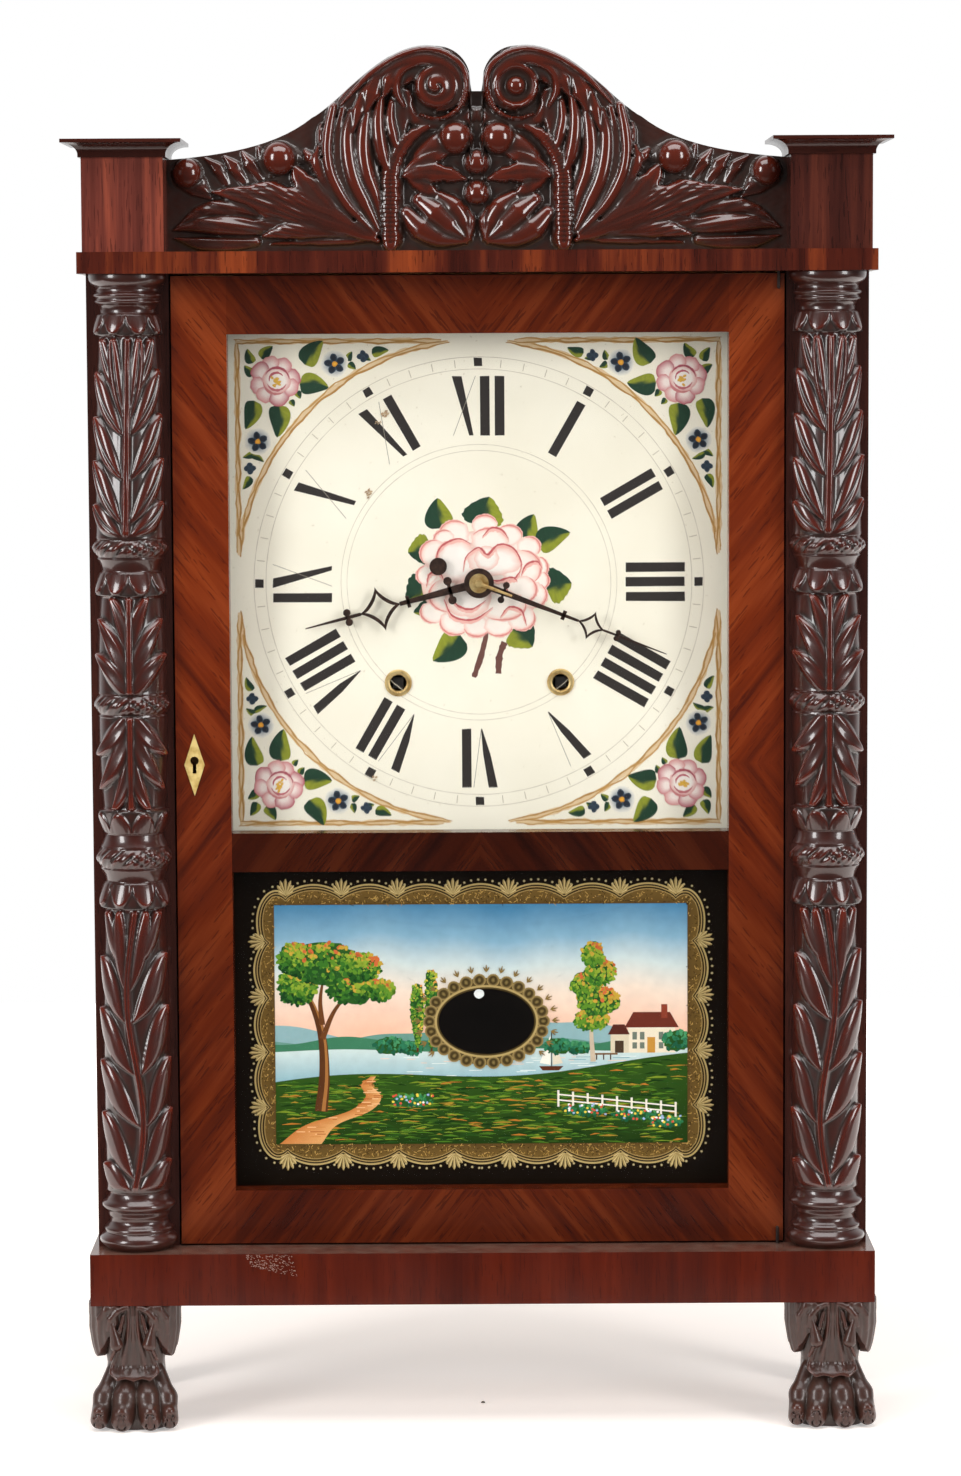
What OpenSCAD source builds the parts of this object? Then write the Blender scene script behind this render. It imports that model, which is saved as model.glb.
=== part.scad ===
// Column shelf clock: a mahogany case with carved half columns, lion-paw feet and
// a shaped crest, a door with a dial glass over a painted tablet, and a thirty-hour
// movement with wooden wheels, two falling weights and a pendulum.
// Millimetres. The front faces -Y, Z is up and the clock stands on z = 0.
// Left and right are the viewer's.

/* [Case] */
// Width of the base moulding and of the top rail
base_w = 444; // [440:1:480]
// Depth of the base, front to back
base_d = 124; // [122:1:150]
// Height of the base moulding
base_h = 29.5; // [24:0.5:45]
// Thickness of the base moulding's front
base_front_t = 30; // [26:1:34]
// Thickness of the base moulding's sides and back
base_wall_t = 16; // [15:0.5:24]
// Overhang of the base moulding past each case side
base_over = 3; // [1:0.5:4]
// Height of the columns, between base and top rail
column_h = 551.5; // [548:0.5:700]
// Height of the top rail and thickness of the top board
rail_h = 12; // [10:0.5:20]
// Depth of the top rail
rail_d = 26; // [25:1:40]
// Setback of the top rail behind the base moulding's front
rail_set = 1; // [0:0.5:3]
// Thickness of the case sides
side_t = 12; // [8:0.5:13]
// Thickness of the back board
back_t = 7; // [5:0.5:8]
// Thickness of the bottom board
bottom_t = 12; // [8:0.5:14]
// Width of the stiles that carry the columns
stile_w = 46.4; // [45:0.2:47]
// Thickness of those stiles
stile_t = 19; // [15:0.5:20]
// Setback of the stiles' face behind the base moulding's front
stile_set = 24.5; // [23:0.5:26]
// Leg length of the triangular glue blocks
glue_leg = 24; // [15:1:40]

/* [Feet] */
// Height of the feet
foot_h = 72; // [60:1:90]
// Width of the lion-paw feet across the toes
paw_w = 50; // [44:0.5:51]
// Depth of the lion-paw feet
paw_d = 52; // [44:0.5:60]
// Inset of a paw's middle from the base moulding's end
paw_in = 23.7; // [22:0.1:26]
// Distance the toes stand proud of the base moulding
toe_proud = 7.5; // [3:0.5:7.5]
// Width of the ankle
ankle_w = 35; // [28:0.5:38]
// Height of the toes
toe_h = 19; // [14:0.5:22]
// Radius of the turned rear feet at their widest
rear_foot_r = 15; // [12:0.5:16]

/* [Columns] */
// Radius of the shafts at their fullest
shaft_r = 20.6; // [18:0.1:21]
// Radius of the necks, where the shafts are thinnest
neck_r = 15.8; // [12:0.1:17]
// Radius of the rope rings
ring_r = 21.8; // [20:0.1:22.4]
// Radius of the lowest roll of the column base
foot_ring_r = 22.4; // [21:0.1:23]

/* [Plinths and crest] */
// Side of the square plinth blocks
block_w = 45.4; // [42:0.2:46]
// Height of the plinth blocks
block_h = 52; // [40:0.5:70]
// Inset of the plinth blocks from the top rail's ends
block_in = 3; // [0:0.5:5]
// Height of the moulded caps
cap_h = 9.8; // [8:0.1:14]
// Overhang of the caps past the blocks
cap_over = 10.6; // [7:0.1:12]
// Height of the crest above the top rail
crest_h = 114.4; // [100:0.1:130]
// Thickness of the crest's board
crest_t = 12; // [8:0.5:16]
// Setback of the crest's face behind the top rail's front
crest_set = 32; // [26:0.5:34]
// Radius of the crest's two volutes
volute_r = 18.6; // [14:0.1:19]
// Distance of each volute's eye from the middle
volute_x = 22.6; // [20:0.1:26]
// Height of the relief on the crest
relief_t = 7; // [3:0.5:10]

/* [Door] */
// Gap round the door at its sides
door_gap = 1; // [0.6:0.1:2]
// Gap above and under the door
door_play = 1.2; // [0.8:0.1:2.5]
// Thickness of the door frame
door_t = 19; // [17:0.5:20]
// Distance the door stands proud of the stiles
door_proud = 1; // [0:0.2:3]
// Width of the door's stiles
door_stile_w = 31; // [28:0.5:36]
// Height of the door's top rail
door_top_h = 32.5; // [26:0.5:40]
// Height of the door's middle rail
door_mid_h = 22; // [18:0.5:30]
// Height of the door's bottom rail
door_low_h = 30.5; // [26:0.5:40]
// Height of the tablet's opening
tablet_h = 183; // [150:1:184]
// Thickness of the glass
glass_t = 2; // [1.5:0.1:2.6]
// Width of the rabbet that the glass lies in
rabbet_w = 6; // [4:0.5:8]
// Depth of the rabbet from the door's back
rabbet_d = 4.5; // [4:0.1:7]
// Radius of the wire of the hinge pintles
pintle_r = 0.9; // [0.7:0.05:1]
// Distance of the hinge axis from the door's right edge
hinge_in = 3.3; // [3:0.1:3.6]
// Distance of the hinge axis in front of the door
hinge_out = 1.7; // [1.6:0.1:1.9]
// Height of the keyhole above the door's lower edge
key_h = 277; // [200:1:300]
// Distance of the keyhole from the door's left edge
key_in = 10.4; // [9:0.1:12]
// Width of the keyhole escutcheon
escutcheon_w = 11.5; // [10:0.5:14]
// Height of the keyhole escutcheon
escutcheon_h = 35; // [26:0.5:40]
// Travel of the lock's bolt
bolt_travel = 5; // [3:0.5:5.5]

/* [Dial and hands] */
// Room between the door's back and the dial, where the hands turn
hand_room = 8.5; // [8:0.1:9]
// Thickness of the dial board
dial_t = 6; // [5:0.5:7]
// Distance the dial board reaches past the dial's opening at each side
dial_side_lap = 19.4; // [16:0.1:24]
// Distance the dial board reaches past the opening above and below
dial_end_lap = 9.45; // [8:0.05:12]
// Height of the hands' arbor above the case floor
arbor_h = 376.5; // [370:0.5:380]
// Distance of each winding hole from the middle
wind_x = 46.3; // [45:0.1:48]
// Distance of the winding holes under the hands' arbor
wind_drop = 57; // [55.5:0.1:60]
// Outer radius of the winding holes' brass grommets
grommet_r = 7.7; // [7:0.1:9]
// Length of the minute hand from its arbor
minute_len = 114; // [100:1:122]
// Length of the hour hand from its arbor
hour_len = 102; // [80:1:110]
// Angle of the minute hand, clockwise from twelve
minute_angle = 111; // [0:1:359]
// Angle of the hour hand, clockwise from twelve
hour_angle = 255.5; // [0:0.5:359.5]

/* [Movement] */
// Room between the dial and the front plate
front_room = 15; // [15:0.1:16]
// Thickness of both plates
plate_t = 6; // [5:0.5:6]
// Room between the plates
plate_gap = 28; // [28:0.1:29]
// Width of the plates
plate_w = 168; // [166:1:180]
// Height of the plates
plate_h = 224; // [222:1:226]
// Radius of the pillars between the plates
pillar_r = 4; // [3:0.1:5]
// Distance of the pendulum's line right of the hands' arbor
pendulum_x = 16; // [15.5:0.1:17]
// Height of the pendulum's suspension above the hands' arbor
suspension_h = 105; // [104:0.5:106]
// Length of the pendulum from its suspension to the middle of the bob
pendulum_len = 358; // [320:1:360]
// Radius of the pendulum bob
bob_r = 30; // [24:0.5:32]
// Height of the verge's pivot above the hands' arbor
verge_h = 84; // [83.5:0.1:84.5]
// Height of the escape wheel's arbor above the hands' arbor
escape_h = 55; // [54.5:0.1:55.4]
// Radius of the escape wheel over its teeth
escape_r = 25; // [22:0.1:25]

/* [Wheels] */
// Tooth size of the great wheels, pitch diameter per tooth
great_m = 1.4; // [1.39:0.005:1.41]
// Tooth size of the second wheels
second_m = 1.25; // [1.245:0.005:1.26]
// Tooth size of the third wheels
third_m = 1.25; // [1.24:0.005:1.26]
// Tooth size of the minute wheel pair
dial_m = 1.268; // [1.26:0.002:1.28]
// Tooth size of the count wheel
count_m = 0.93; // [0.92:0.005:0.95]
// Radius of the winding drums
drum_r = 15.7; // [14:0.1:16]
// Radius of the drums' flanges
drum_flange_r = 19; // [18:0.1:20]
// Radius of the winding arbors
wind_r = 4; // [3.5:0.1:4]
// Radius of the other wooden arbors
arbor_r = 2.5; // [2.2:0.1:2.8]
// Radius of the wire pivots
pivot_r = 1.2; // [0.9:0.05:1.2]

/* [Weights, cords and gong] */
// Width of a weight
weight_w = 38; // [34:0.5:39]
// Thickness of a weight
weight_d = 34; // [28:0.5:36]
// Height of a weight
weight_h = 120; // [100:1:122]
// Gap between each weight and the case side
weight_gap = 2.6; // [2:0.1:3]
// Height of a run-down weight above the case floor
weight_clear = 3; // [2:0.5:4]
// Radius of the weight cord
cord_r = 0.75; // [0.6:0.05:0.8]
// Radius of the pulleys over their flanges
pulley_r = 18.6; // [18:0.1:19]
// Radius of the gong's outer turn
gong_r = 46; // [42:0.5:46]
// Number of turns of the gong
gong_turns = 4; // [3:1:5]
// Radius of the gong's wire
gong_wire_r = 1.1; // [0.9:0.05:1.3]
// Height of the gong's middle under the hands' arbor
gong_drop = 182; // [180:0.5:186]

/* [Clearances] */
// Radial clearance of an arbor in its hole
arbor_play = 0.15; // [0.1:0.01:0.2]
// Clearance between pieces that pass each other
pass_gap = 0.4; // [0.3:0.05:0.5]
// Clearance of the bolt in its case
bolt_play = 0.3; // [0.2:0.05:0.4]

/* [Hidden] */

// Heights of the case
floor_z = foot_h + base_h;
ceiling_z = floor_z + column_h;
roof_z = ceiling_z + rail_h;

// Depths of the case. The caps' front and the back board's back are equally far
// from y = 0.
block_set = 3;
base_front = (cap_over - block_set - base_d) / 2;
back_y = base_front + base_d;
stile_face = base_front + stile_set;
stile_back = stile_face + stile_t;
back_inner = back_y - back_t;
rail_front = base_front + rail_set;
crest_face = rail_front + crest_set;

// Widths of the case
case_x = base_w / 2 - base_over;
inner_x = case_x - side_t;
stile_in = case_x - stile_w;
column_x = case_x - stile_w / 2;
block_out = base_w / 2 - block_in;
block_mid = block_out - block_w / 2;
block_inner = block_out - block_w;
paw_x = base_w / 2 - paw_in;
paw_front = base_front - toe_proud;

// The door
door_x = stile_in - door_gap;
door_front = stile_face - door_proud;
door_back = door_front + door_t;
door_z = [floor_z + door_play, ceiling_z - door_play];
open_x = door_x - door_stile_w;
tablet_z = [door_z[0] + door_low_h, door_z[0] + door_low_h + tablet_h];
dial_open_z = [tablet_z[1] + door_mid_h, door_z[1] - door_top_h];
glass_y = door_back - rabbet_d;
hinge_x = door_x - hinge_in;
hinge_y = door_front - hinge_out;
pintle_len = 8;
key_z = door_z[0] + key_h;
key_x = key_in - door_x;
lock_rim = 1.5;
lock_w = door_stile_w - rabbet_w - lock_rim;
lock_h = 34;
lock_d = 11;
bolt_h = 9;
bolt_t = 3;
bolt_len = 20;

// The dial and the movement, front to back
dial_front = door_back + hand_room;
dial_back = dial_front + dial_t;
plate_front_y = dial_back + front_room;
plate_in_y = plate_front_y + plate_t;
plate_rear_y = plate_in_y + plate_gap;
plate_back_y = plate_rear_y + plate_t;
hub_z = floor_z + arbor_h;
dial_w = 2 * (open_x + dial_side_lap);
dial_z = dial_open_z + dial_end_lap * [-1, 1];

// Layers of the movement: thicknesses, rooms between them, then their places
wheel_t = 3;
thin_wheel_t = 2;
great_t = 4;
count_t = 2.2;
drum_l = 12.2;
layer_gap = 1;
wheel_gap = 2;
drum_gap = 1.4;
rod_room = 3.2;
rod_r = 0.75;
rod_gap = 0.2;
crutch_step = 1.8;
verge_step = 1.2;
rod_y = dial_back + rod_room;
crutch_y = rod_y + crutch_step;
escape_y = [crutch_y + verge_step, crutch_y + verge_step + thin_wheel_t];
hour_y = [escape_y[1] + layer_gap, escape_y[1] + layer_gap + thin_wheel_t];
minute_y = [hour_y[1] + layer_gap, hour_y[1] + layer_gap + thin_wheel_t];
great_y = [plate_in_y + layer_gap, plate_in_y + layer_gap + great_t];
third_y = [great_y[1] - wheel_t, great_y[1]];
strike_third_y = [third_y[1] + wheel_gap, third_y[1] + wheel_gap + wheel_t];
drum_y = [great_y[1] + pass_gap, great_y[1] + pass_gap + drum_l];
second_y = [drum_y[1] + drum_gap, drum_y[1] + drum_gap + wheel_t];
strike_second_y = [second_y[1] + wheel_gap, second_y[1] + wheel_gap + wheel_t];
count_y = [plate_back_y + layer_gap - 0.2, plate_back_y + layer_gap - 0.2 + count_t];
cord_y = (drum_y[0] + drum_y[1]) / 2;

// Teeth of the wheels and leaves of the pinions
great_n = 56;
great_leaf = 7;
second_n = 60;
third_n = 45;
leaf_n = 6;
escape_n = 40;
dial_n = 28;
hour_n = 72;
count_n = 78;

// Places of the arbors, from the hands' arbor, seen from the front
function meet(a, ra, b, rb, side) =
    let (d = norm(b - a),
         u = (b - a) / d,
         along = (ra * ra - rb * rb + d * d) / (2 * d),
         off = sqrt(ra * ra - along * along))
    a + along * u + side * off * [u[1], -u[0]];
function flip(p) = [-p[0], p[1]];
hub = [0, 0];
great_p = [wind_x, -wind_drop];
escape_p = [pendulum_x, escape_h];
verge_p = [pendulum_x, verge_h];
suspension_p = [pendulum_x, suspension_h];
great_reach = great_m * (great_n + great_leaf) / 2;
second_reach = second_m * (second_n + leaf_n) / 2;
third_reach = third_m * (third_n + leaf_n) / 2;
dial_reach = dial_m * dial_n;
hour_m = 2 * dial_reach / (hour_n + leaf_n);
count_reach = count_m * (count_n + leaf_n) / 2;
second_p = meet(great_p, great_reach, hub, dial_reach, 1);
third_p = meet(second_p, second_reach, escape_p, third_reach, 1);
count_p = flip(second_p) + count_reach * [0.6, 0.8];
pillar_edge = 5;
pillar_p = [plate_w / 2 - pillar_edge, plate_h / 2 - 8];
low_pillar_p = [plate_w / 2 - pillar_edge, -plate_h / 2 + 16];

// The hammer's arbor stands outside the winding arbor, and its tail bends round that
hammer_out = 9.7;
hammer_p = [-wind_x - hammer_out, -plate_h / 2 + 10];
tail_out = wind_r + 5;
tail_path = [[0, 0], [-tail_out, 28], [-tail_out, 46], [-tail_out + 5, 71]];

// The cords. Pulleys and drums carry the cord at the same radius.
winding_r = drum_r + cord_r + 0.3;
weight_x = inner_x - weight_gap - weight_w / 2;
pulley_x = weight_x - winding_r;
pulley_pin_z = roof_z + pivot_r;
weight_z = floor_z + weight_clear;
pulley_pin_l = 24;
hook_h = 12;
great_z = hub_z - wind_drop;
cord_dir = atan2(pulley_pin_z - great_z, pulley_x - wind_x);

// Sizes of the gearing's teeth, as shares of the tooth size
tip_share = 0.75;
leaf_share = 0.6;
root_gap = 0.25;
width_low = 0.5;
width_high = 0.2;

// Colours, as the photograph shows them
mahogany = "#7a3118";
dark_mahogany = "#3c1a12";
pine = "#b08a5c";
cherry = "#8a5a36";
oak = "#9b7748";
ivory = "#e8dfc4";
brass = "#b08d45";
iron = "#3a3532";
steel = "#8a8a8a";
glass = "#c9dcd8";

// Plain shapes

// A box between pairs of limits
module block(x, y, z) {
    translate([x[0], y[0], z[0]])
        cube([x[1] - x[0], y[1] - y[0], z[1] - z[0]]);
}

// The shape and its mirror image on the other side
module both_sides() {
    children();
    mirror([1, 0, 0]) children();
}

// A flat outline drawn as seen from the front, with depth y[0] to y[1]
module upright(y) {
    translate([0, y[1], 0])
        rotate([90, 0, 0])
            linear_extrude(y[1] - y[0])
                children();
}

// A round bar along Y at the point p, measured from the hands' arbor
module bar(p, r, y, sides = 48) {
    translate([p[0], y[0], hub_z + p[1]])
        rotate([-90, 0, 0])
            cylinder(r = r, h = y[1] - y[0], $fn = sides);
}

// A round bar along Z
module post(x, y, z, r) {
    translate([x, y, z[0]])
        cylinder(r = r, h = z[1] - z[0], $fn = 32);
}

// Points on a cubic curve from a to d, bent by the handles b and c
function curve(a, b, c, d, steps) = [
    for (i = [0:steps])
        let (t = i / steps, s = 1 - t)
        s * s * s * a + 3 * s * s * t * b + 3 * s * t * t * c + t * t * t * d];

// A tube swept along points in one upright plane, with its ring in sides steps
module wire(points, r, sides) {
    n = len(points);
    rings = [
        for (i = [0:n - 1])
            let (before = points[max(i - 1, 0)],
                 after = points[min(i + 1, n - 1)],
                 along = (after - before) / norm(after - before),
                 across = cross(along, [0, 1, 0]) / norm(cross(along, [0, 1, 0])),
                 up = cross(across, along))
            for (k = [0:sides - 1])
                points[i] + r * (cos(360 * k / sides) * across + sin(360 * k / sides) * up)];
    walls = [
        for (i = [0:n - 2], k = [0:sides - 1])
            let (a = i * sides + k, b = i * sides + (k + 1) % sides)
            each [[a, b, b + sides], [a, b + sides, a + sides]]];
    ends = [
        for (k = [1:sides - 2])
            each [[0, k + 1, k],
                  [(n - 1) * sides, (n - 1) * sides + k, (n - 1) * sides + k + 1]]];
    polyhedron(rings, concat(walls, ends));
}

// Case

// Hollow moulding that carries the whole case
module base_frame() color(mahogany)
    difference() {
        block([-base_w / 2, base_w / 2], [base_front, back_y], [foot_h, floor_z]);
        block([base_wall_t - base_w / 2, base_w / 2 - base_wall_t],
              [base_front + base_front_t, back_y - base_wall_t], [foot_h - 1, floor_z + 1]);
        post(hinge_x, hinge_y, [floor_z - pintle_len, floor_z + 1], pintle_r + arbor_play);
    }

module bottom_board() color(pine)
    block([base_wall_t - base_w / 2, base_w / 2 - base_wall_t],
          [base_front + base_front_t, back_y - base_wall_t], [floor_z - bottom_t, floor_z]);

// Triangular blocks glued into the corners under the bottom board
module glue_blocks() color(pine)
    both_sides() {
        corner = [base_w / 2 - base_wall_t, base_front + base_front_t];
        rear = back_y - base_wall_t;
        translate([0, 0, foot_h])
            linear_extrude(base_h - bottom_t) {
                polygon([corner, corner - [glue_leg, 0], corner + [0, glue_leg]]);
                polygon([[corner[0], rear], [corner[0] - glue_leg, rear],
                         [corner[0], rear - glue_leg]]);
            }
    }

// One toe of a lion's paw: a knuckle behind, a pad and a hooked claw
module toe(x, front) {
    toe_r = paw_w / 8.4;
    hull() {
        translate([x, front + toe_r, toe_h * 0.42])
            scale([1, 1.1, 1.25])
                sphere(r = toe_r, $fn = 16);
        translate([x * 0.9, front + toe_r * 2.6, toe_h * 1.15])
            sphere(r = toe_r * 0.95, $fn = 16);
        translate([x, front + toe_r * 1.2, 0])
            cylinder(r = toe_r * 0.8, h = 1, $fn = 16);
    }
}

// A lion's paw with an acanthus knee and a leaf hanging at each side
module paw_foot() {
    ankle_y = paw_front + paw_d * 0.56;
    translate([paw_x, 0, 0]) {
        // Knee, from the square top down to the ankle
        hull() {
            block([-paw_w * 0.46, paw_w * 0.46], [base_front + 1.5, base_front + paw_d * 0.8],
                  [foot_h - 6, foot_h]);
            translate([0, ankle_y, foot_h * 0.6])
                scale([1, 1.05, 1])
                    cylinder(r = ankle_w * 0.6, h = 4, $fn = 32);
        }
        // Ankle and instep
        hull() {
            translate([0, ankle_y, foot_h * 0.45])
                cylinder(r = ankle_w / 2, h = foot_h * 0.2, $fn = 32);
            translate([0, ankle_y + 2, 0])
                cylinder(r = paw_w * 0.42, h = toe_h * 0.6, $fn = 32);
        }
        for (i = [-1.5:1:1.5])
            toe(i * paw_w * 0.255, paw_front + abs(i) * abs(i) * 1.1);
        // Side leaves
        for (side = [-1, 1])
            translate([side * (paw_w / 2 - 3), base_front + paw_d * 0.42, 0])
                rotate([90, 0, 90 * side])
                    translate([0, 0, -2])
                        linear_extrude(5)
                            polygon(side_leaf());
        // Middle leaf, in two halves that meet in a groove
        for (side = [-1, 1])
            translate([side * paw_w * 0.095, base_front + 1, foot_h * 0.68])
                rotate([0, -12 * side, 0])
                    scale([1, 0.55, 2.5])
                        sphere(r = paw_w * 0.15, $fn = 24);
        // Curled leaf tips beside the middle leaf
        for (side = [-1, 1])
            translate([side * paw_w * 0.27, base_front + 2.6, foot_h * 0.66])
                rotate([0, 10 * side, 0])
                    scale([1, 0.8, 2.1])
                        sphere(r = paw_w * 0.085, $fn = 24);
    }
}

// Outline of a paw's side leaf, seen from the side: a broad leaf hanging to a point
function side_leaf() = concat(
    curve([-20, foot_h], [-24, foot_h * 0.85], [-20, foot_h * 0.7], [-4, foot_h * 0.63], 6),
    curve([-4, foot_h * 0.63], [8, foot_h * 0.68], [16, foot_h * 0.8], [20, foot_h], 6));

module paw_feet() color(dark_mahogany)
    both_sides() paw_foot();

// Small turned feet under the rear corners
module rear_feet() color(dark_mahogany)
    both_sides()
        translate([base_w / 2 - rear_foot_r - 1, back_y - rear_foot_r - 2, 0])
            rotate_extrude($fn = 48)
                polygon(concat(
                    [[0, 0], [rear_foot_r * 0.55, 0]],
                    curve([rear_foot_r * 0.6, 0], [rear_foot_r * 1.2, foot_h * 0.1],
                          [rear_foot_r * 1.1, foot_h * 0.5], [rear_foot_r * 0.6, foot_h * 0.62], 8),
                    curve([rear_foot_r * 0.6, foot_h * 0.66], [rear_foot_r * 0.7, foot_h * 0.8],
                          [rear_foot_r * 0.8, foot_h * 0.86], [rear_foot_r, foot_h * 0.88], 5),
                    [[rear_foot_r, foot_h], [0, foot_h]]));

module case_sides() color(mahogany)
    both_sides()
        block([inner_x, case_x], [stile_back, back_y], [floor_z, ceiling_z]);

// Upright boards that the half columns are glued to. The left one has the
// mortise for the lock's bolt.
module column_stiles() color(mahogany)
    difference() {
        both_sides()
            block([stile_in, case_x], [stile_face, stile_back], [floor_z, ceiling_z]);
        block([-stile_in - bolt_travel - 3, 1 - stile_in],
              [door_back - lock_d - bolt_play, door_back + bolt_play - 2],
              [key_z - bolt_h / 2 - 1, key_z + bolt_h / 2 + 1]);
    }

// Mouldings of a column from the top down: height, radius above, radius below
// and the swelling between. The long lower shaft takes what height is left.
ring_s = 3.2;
upper_mouldings = [
    [1.6, ring_r, ring_r, 0], [6, ring_r, neck_r + 2, 1.2], [2.2, neck_r + 1.8, neck_r + 1.8, 0],
    [3.8, neck_r + 1.8, neck_r + 1.8, 1.8], [3.2, neck_r + 1.4, neck_r + 1.4, 1.5],
    [5.4, neck_r + 1, neck_r, -0.8],
    [12.1, neck_r + 2.6, shaft_r + 0.4, 0.6],
    [113.2, neck_r + 0.9, shaft_r - 0.4, 1.2],
    [10.6, ring_r - ring_s, ring_r - ring_s, ring_s], [8.2, neck_r + 3.6, neck_r + 0.6, -0.6],
    [13.2, neck_r + 2.6, ring_r + 0.3, 0.6],
    [55.4, neck_r + 3, shaft_r, 0.6],
    [11.6, ring_r - ring_s, ring_r - ring_s, ring_s],
    [53.6, shaft_r, neck_r + 3, 0.6],
    [13, ring_r + 0.3, neck_r + 2.6, 0.6], [8.2, neck_r + 0.6, neck_r + 3.6, -0.6],
    [12.2, ring_r - ring_s, ring_r - ring_s, ring_s], [7.9, neck_r + 3.6, neck_r + 0.6, -0.6],
    [14.1, neck_r + 2.6, ring_r + 0.3, 0.6]];
lower_mouldings = [
    [4.6, neck_r + 1, neck_r + 2.6, -0.5], [7, ring_r - 3.6, ring_r - 3.6, 2.8],
    [3, neck_r + 1.8, neck_r + 1.8, 0], [6.4, neck_r + 1.4, ring_r - 2.4, -1.6],
    [2, ring_r - 2, ring_r - 2, 0], [10.4, foot_ring_r - 4, foot_ring_r - 4, 4]];
function total(list, i = 0) = i < len(list) ? list[i][0] + total(list, i + 1) : 0;
long_shaft = [column_h - total(upper_mouldings) - total(lower_mouldings),
              neck_r + 2.4, shaft_r - 1.4, 1.6];
mouldings = concat(upper_mouldings, [long_shaft], lower_mouldings);
function depth_above(i) = i > 0 ? mouldings[i - 1][0] + depth_above(i - 1) : 0;
function moulding_points(i) =
    let (m = mouldings[i], steps = m[3] == 0 ? 1 : 8)
    [for (k = [0:steps])
        let (t = k / steps)
        [m[1] + (m[2] - m[1]) * t + m[3] * sin(180 * t), -depth_above(i) - m[0] * t]];

module columns() color(dark_mahogany)
    both_sides()
        translate([column_x, stile_face, ceiling_z])
            difference() {
                rotate_extrude($fn = 64)
                    polygon(concat([[0, 0]],
                                   [for (i = [0:len(mouldings) - 1]) each moulding_points(i)],
                                   [[0, -column_h]]));
                block([-foot_ring_r - 1, foot_ring_r + 1], [0, foot_ring_r + 1], [-column_h - 1, 1]);
            }

module top_rail() color(mahogany)
    difference() {
        block([-base_w / 2, base_w / 2], [rail_front, rail_front + rail_d], [ceiling_z, roof_z]);
        post(hinge_x, hinge_y, [ceiling_z - 1, ceiling_z + pintle_len], pintle_r + arbor_play);
    }

// Top board with a slot on each side for the pulley and its cord
module top_board() color(pine)
    difference() {
        block([-base_w / 2, base_w / 2], [rail_front + rail_d, back_y], [ceiling_z, roof_z]);
        both_sides()
            block([pulley_x - pulley_r - 9, pulley_x + pulley_r + 2],
                  [cord_y - 5, cord_y + 5], [ceiling_z - 1, roof_z + 1]);
    }

module back_board() color(pine)
    block([-inner_x, inner_x], [back_inner, back_y], [floor_z, ceiling_z]);

module plinth_blocks() color(mahogany)
    both_sides()
        block([block_inner, block_out], [base_front + block_set, base_front + block_set + block_w],
              [roof_z, roof_z + block_h]);

// Square caps with a hollow moulding under a thin edge
module plinth_caps() color(dark_mahogany)
    both_sides()
        translate([block_mid, base_front + block_set + block_w / 2, roof_z + block_h])
            difference() {
                half = block_w / 2 + cap_over;
                cove_r = cap_over - 1.6;
                block([-half, half], [-half, half], [0, cap_h]);
                for (turn = [0:90:270])
                    rotate([0, 0, turn]) {
                        translate([half, -half - 1, 1.4])
                            rotate([-90, 0, 0])
                                scale([1, (cap_h - 3.4) / cove_r, 1])
                                    cylinder(r = cove_r, h = 2 * half + 2, $fn = 48);
                        block([half - cove_r, half + 1], [-half - 1, half + 1], [-1, 1.4]);
                    }
            }

// Outline of the crest's left half, from its lower left corner to the middle.
// Two long curves rise to the volute, and its arc falls to the saddle.
volute_p = [-volute_x, crest_h - volute_r - 1];
crest_low = block_h - pass_gap;
saddle_z = crest_h * 0.777;
crest_k = crest_h / 114.4;
function crest_left() = concat(
    [[-block_inner, 0]],
    curve([-block_inner, crest_low], crest_spot([0.793, 0.475]), crest_spot([0.637, 0.523]),
          crest_spot([0.53, 0.652]), 10),
    curve(crest_spot([0.518, 0.662]), crest_spot([0.415, 0.764]), crest_spot([0.3, 1]),
          [-volute_x - 5 * crest_k, crest_h], 12),
    [for (a = [85:-15:-5]) volute_p + (volute_r + 0.6 * crest_k) * [cos(a), sin(a)]],
    [[-4 * crest_k, saddle_z], [0, saddle_z]]);

// A place on the crest, given as shares of its half width and of its height
function crest_spot(p) = [-p[0] * block_inner, p[1] * crest_h];

// A volute: the rolled end of the scroll, a spiral ridge of a turn and a half
module volute() {
    turns = 1.5;
    steps = 42;
    function spiral(k, grow) =
        let (t = k / steps,
             a = 150 - 360 * turns * t,
             r = (volute_r - 0.6) * pow(1 - t, 0.75) + 2.4 - grow)
        [r * cos(a), r * sin(a)];
    polygon(concat([for (k = [0:steps]) spiral(k, 0)],
                   [for (k = [steps:-1:0]) spiral(k, 3.4 * (1 - k / steps) + 1.2)]));
}

// A rounded leaf lobe, w wide at its fullest, from its foot a to its tip b
module lobe(a, b, w) {
    d = norm(b - a);
    translate([a[0], -0.5, a[1]])
        rotate([0, -atan2(b[1] - a[1], b[0] - a[0]), 0])
            hull()
                for (part = [[0.06, 0.12], [0.35, 0.4], [0.66, 0.5], [0.93, 0.2]])
                    translate([d * part[0], 0, 0])
                        scale([1, relief_t / w, 1])
                            sphere(r = w * part[1], $fn = 10);
}

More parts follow.
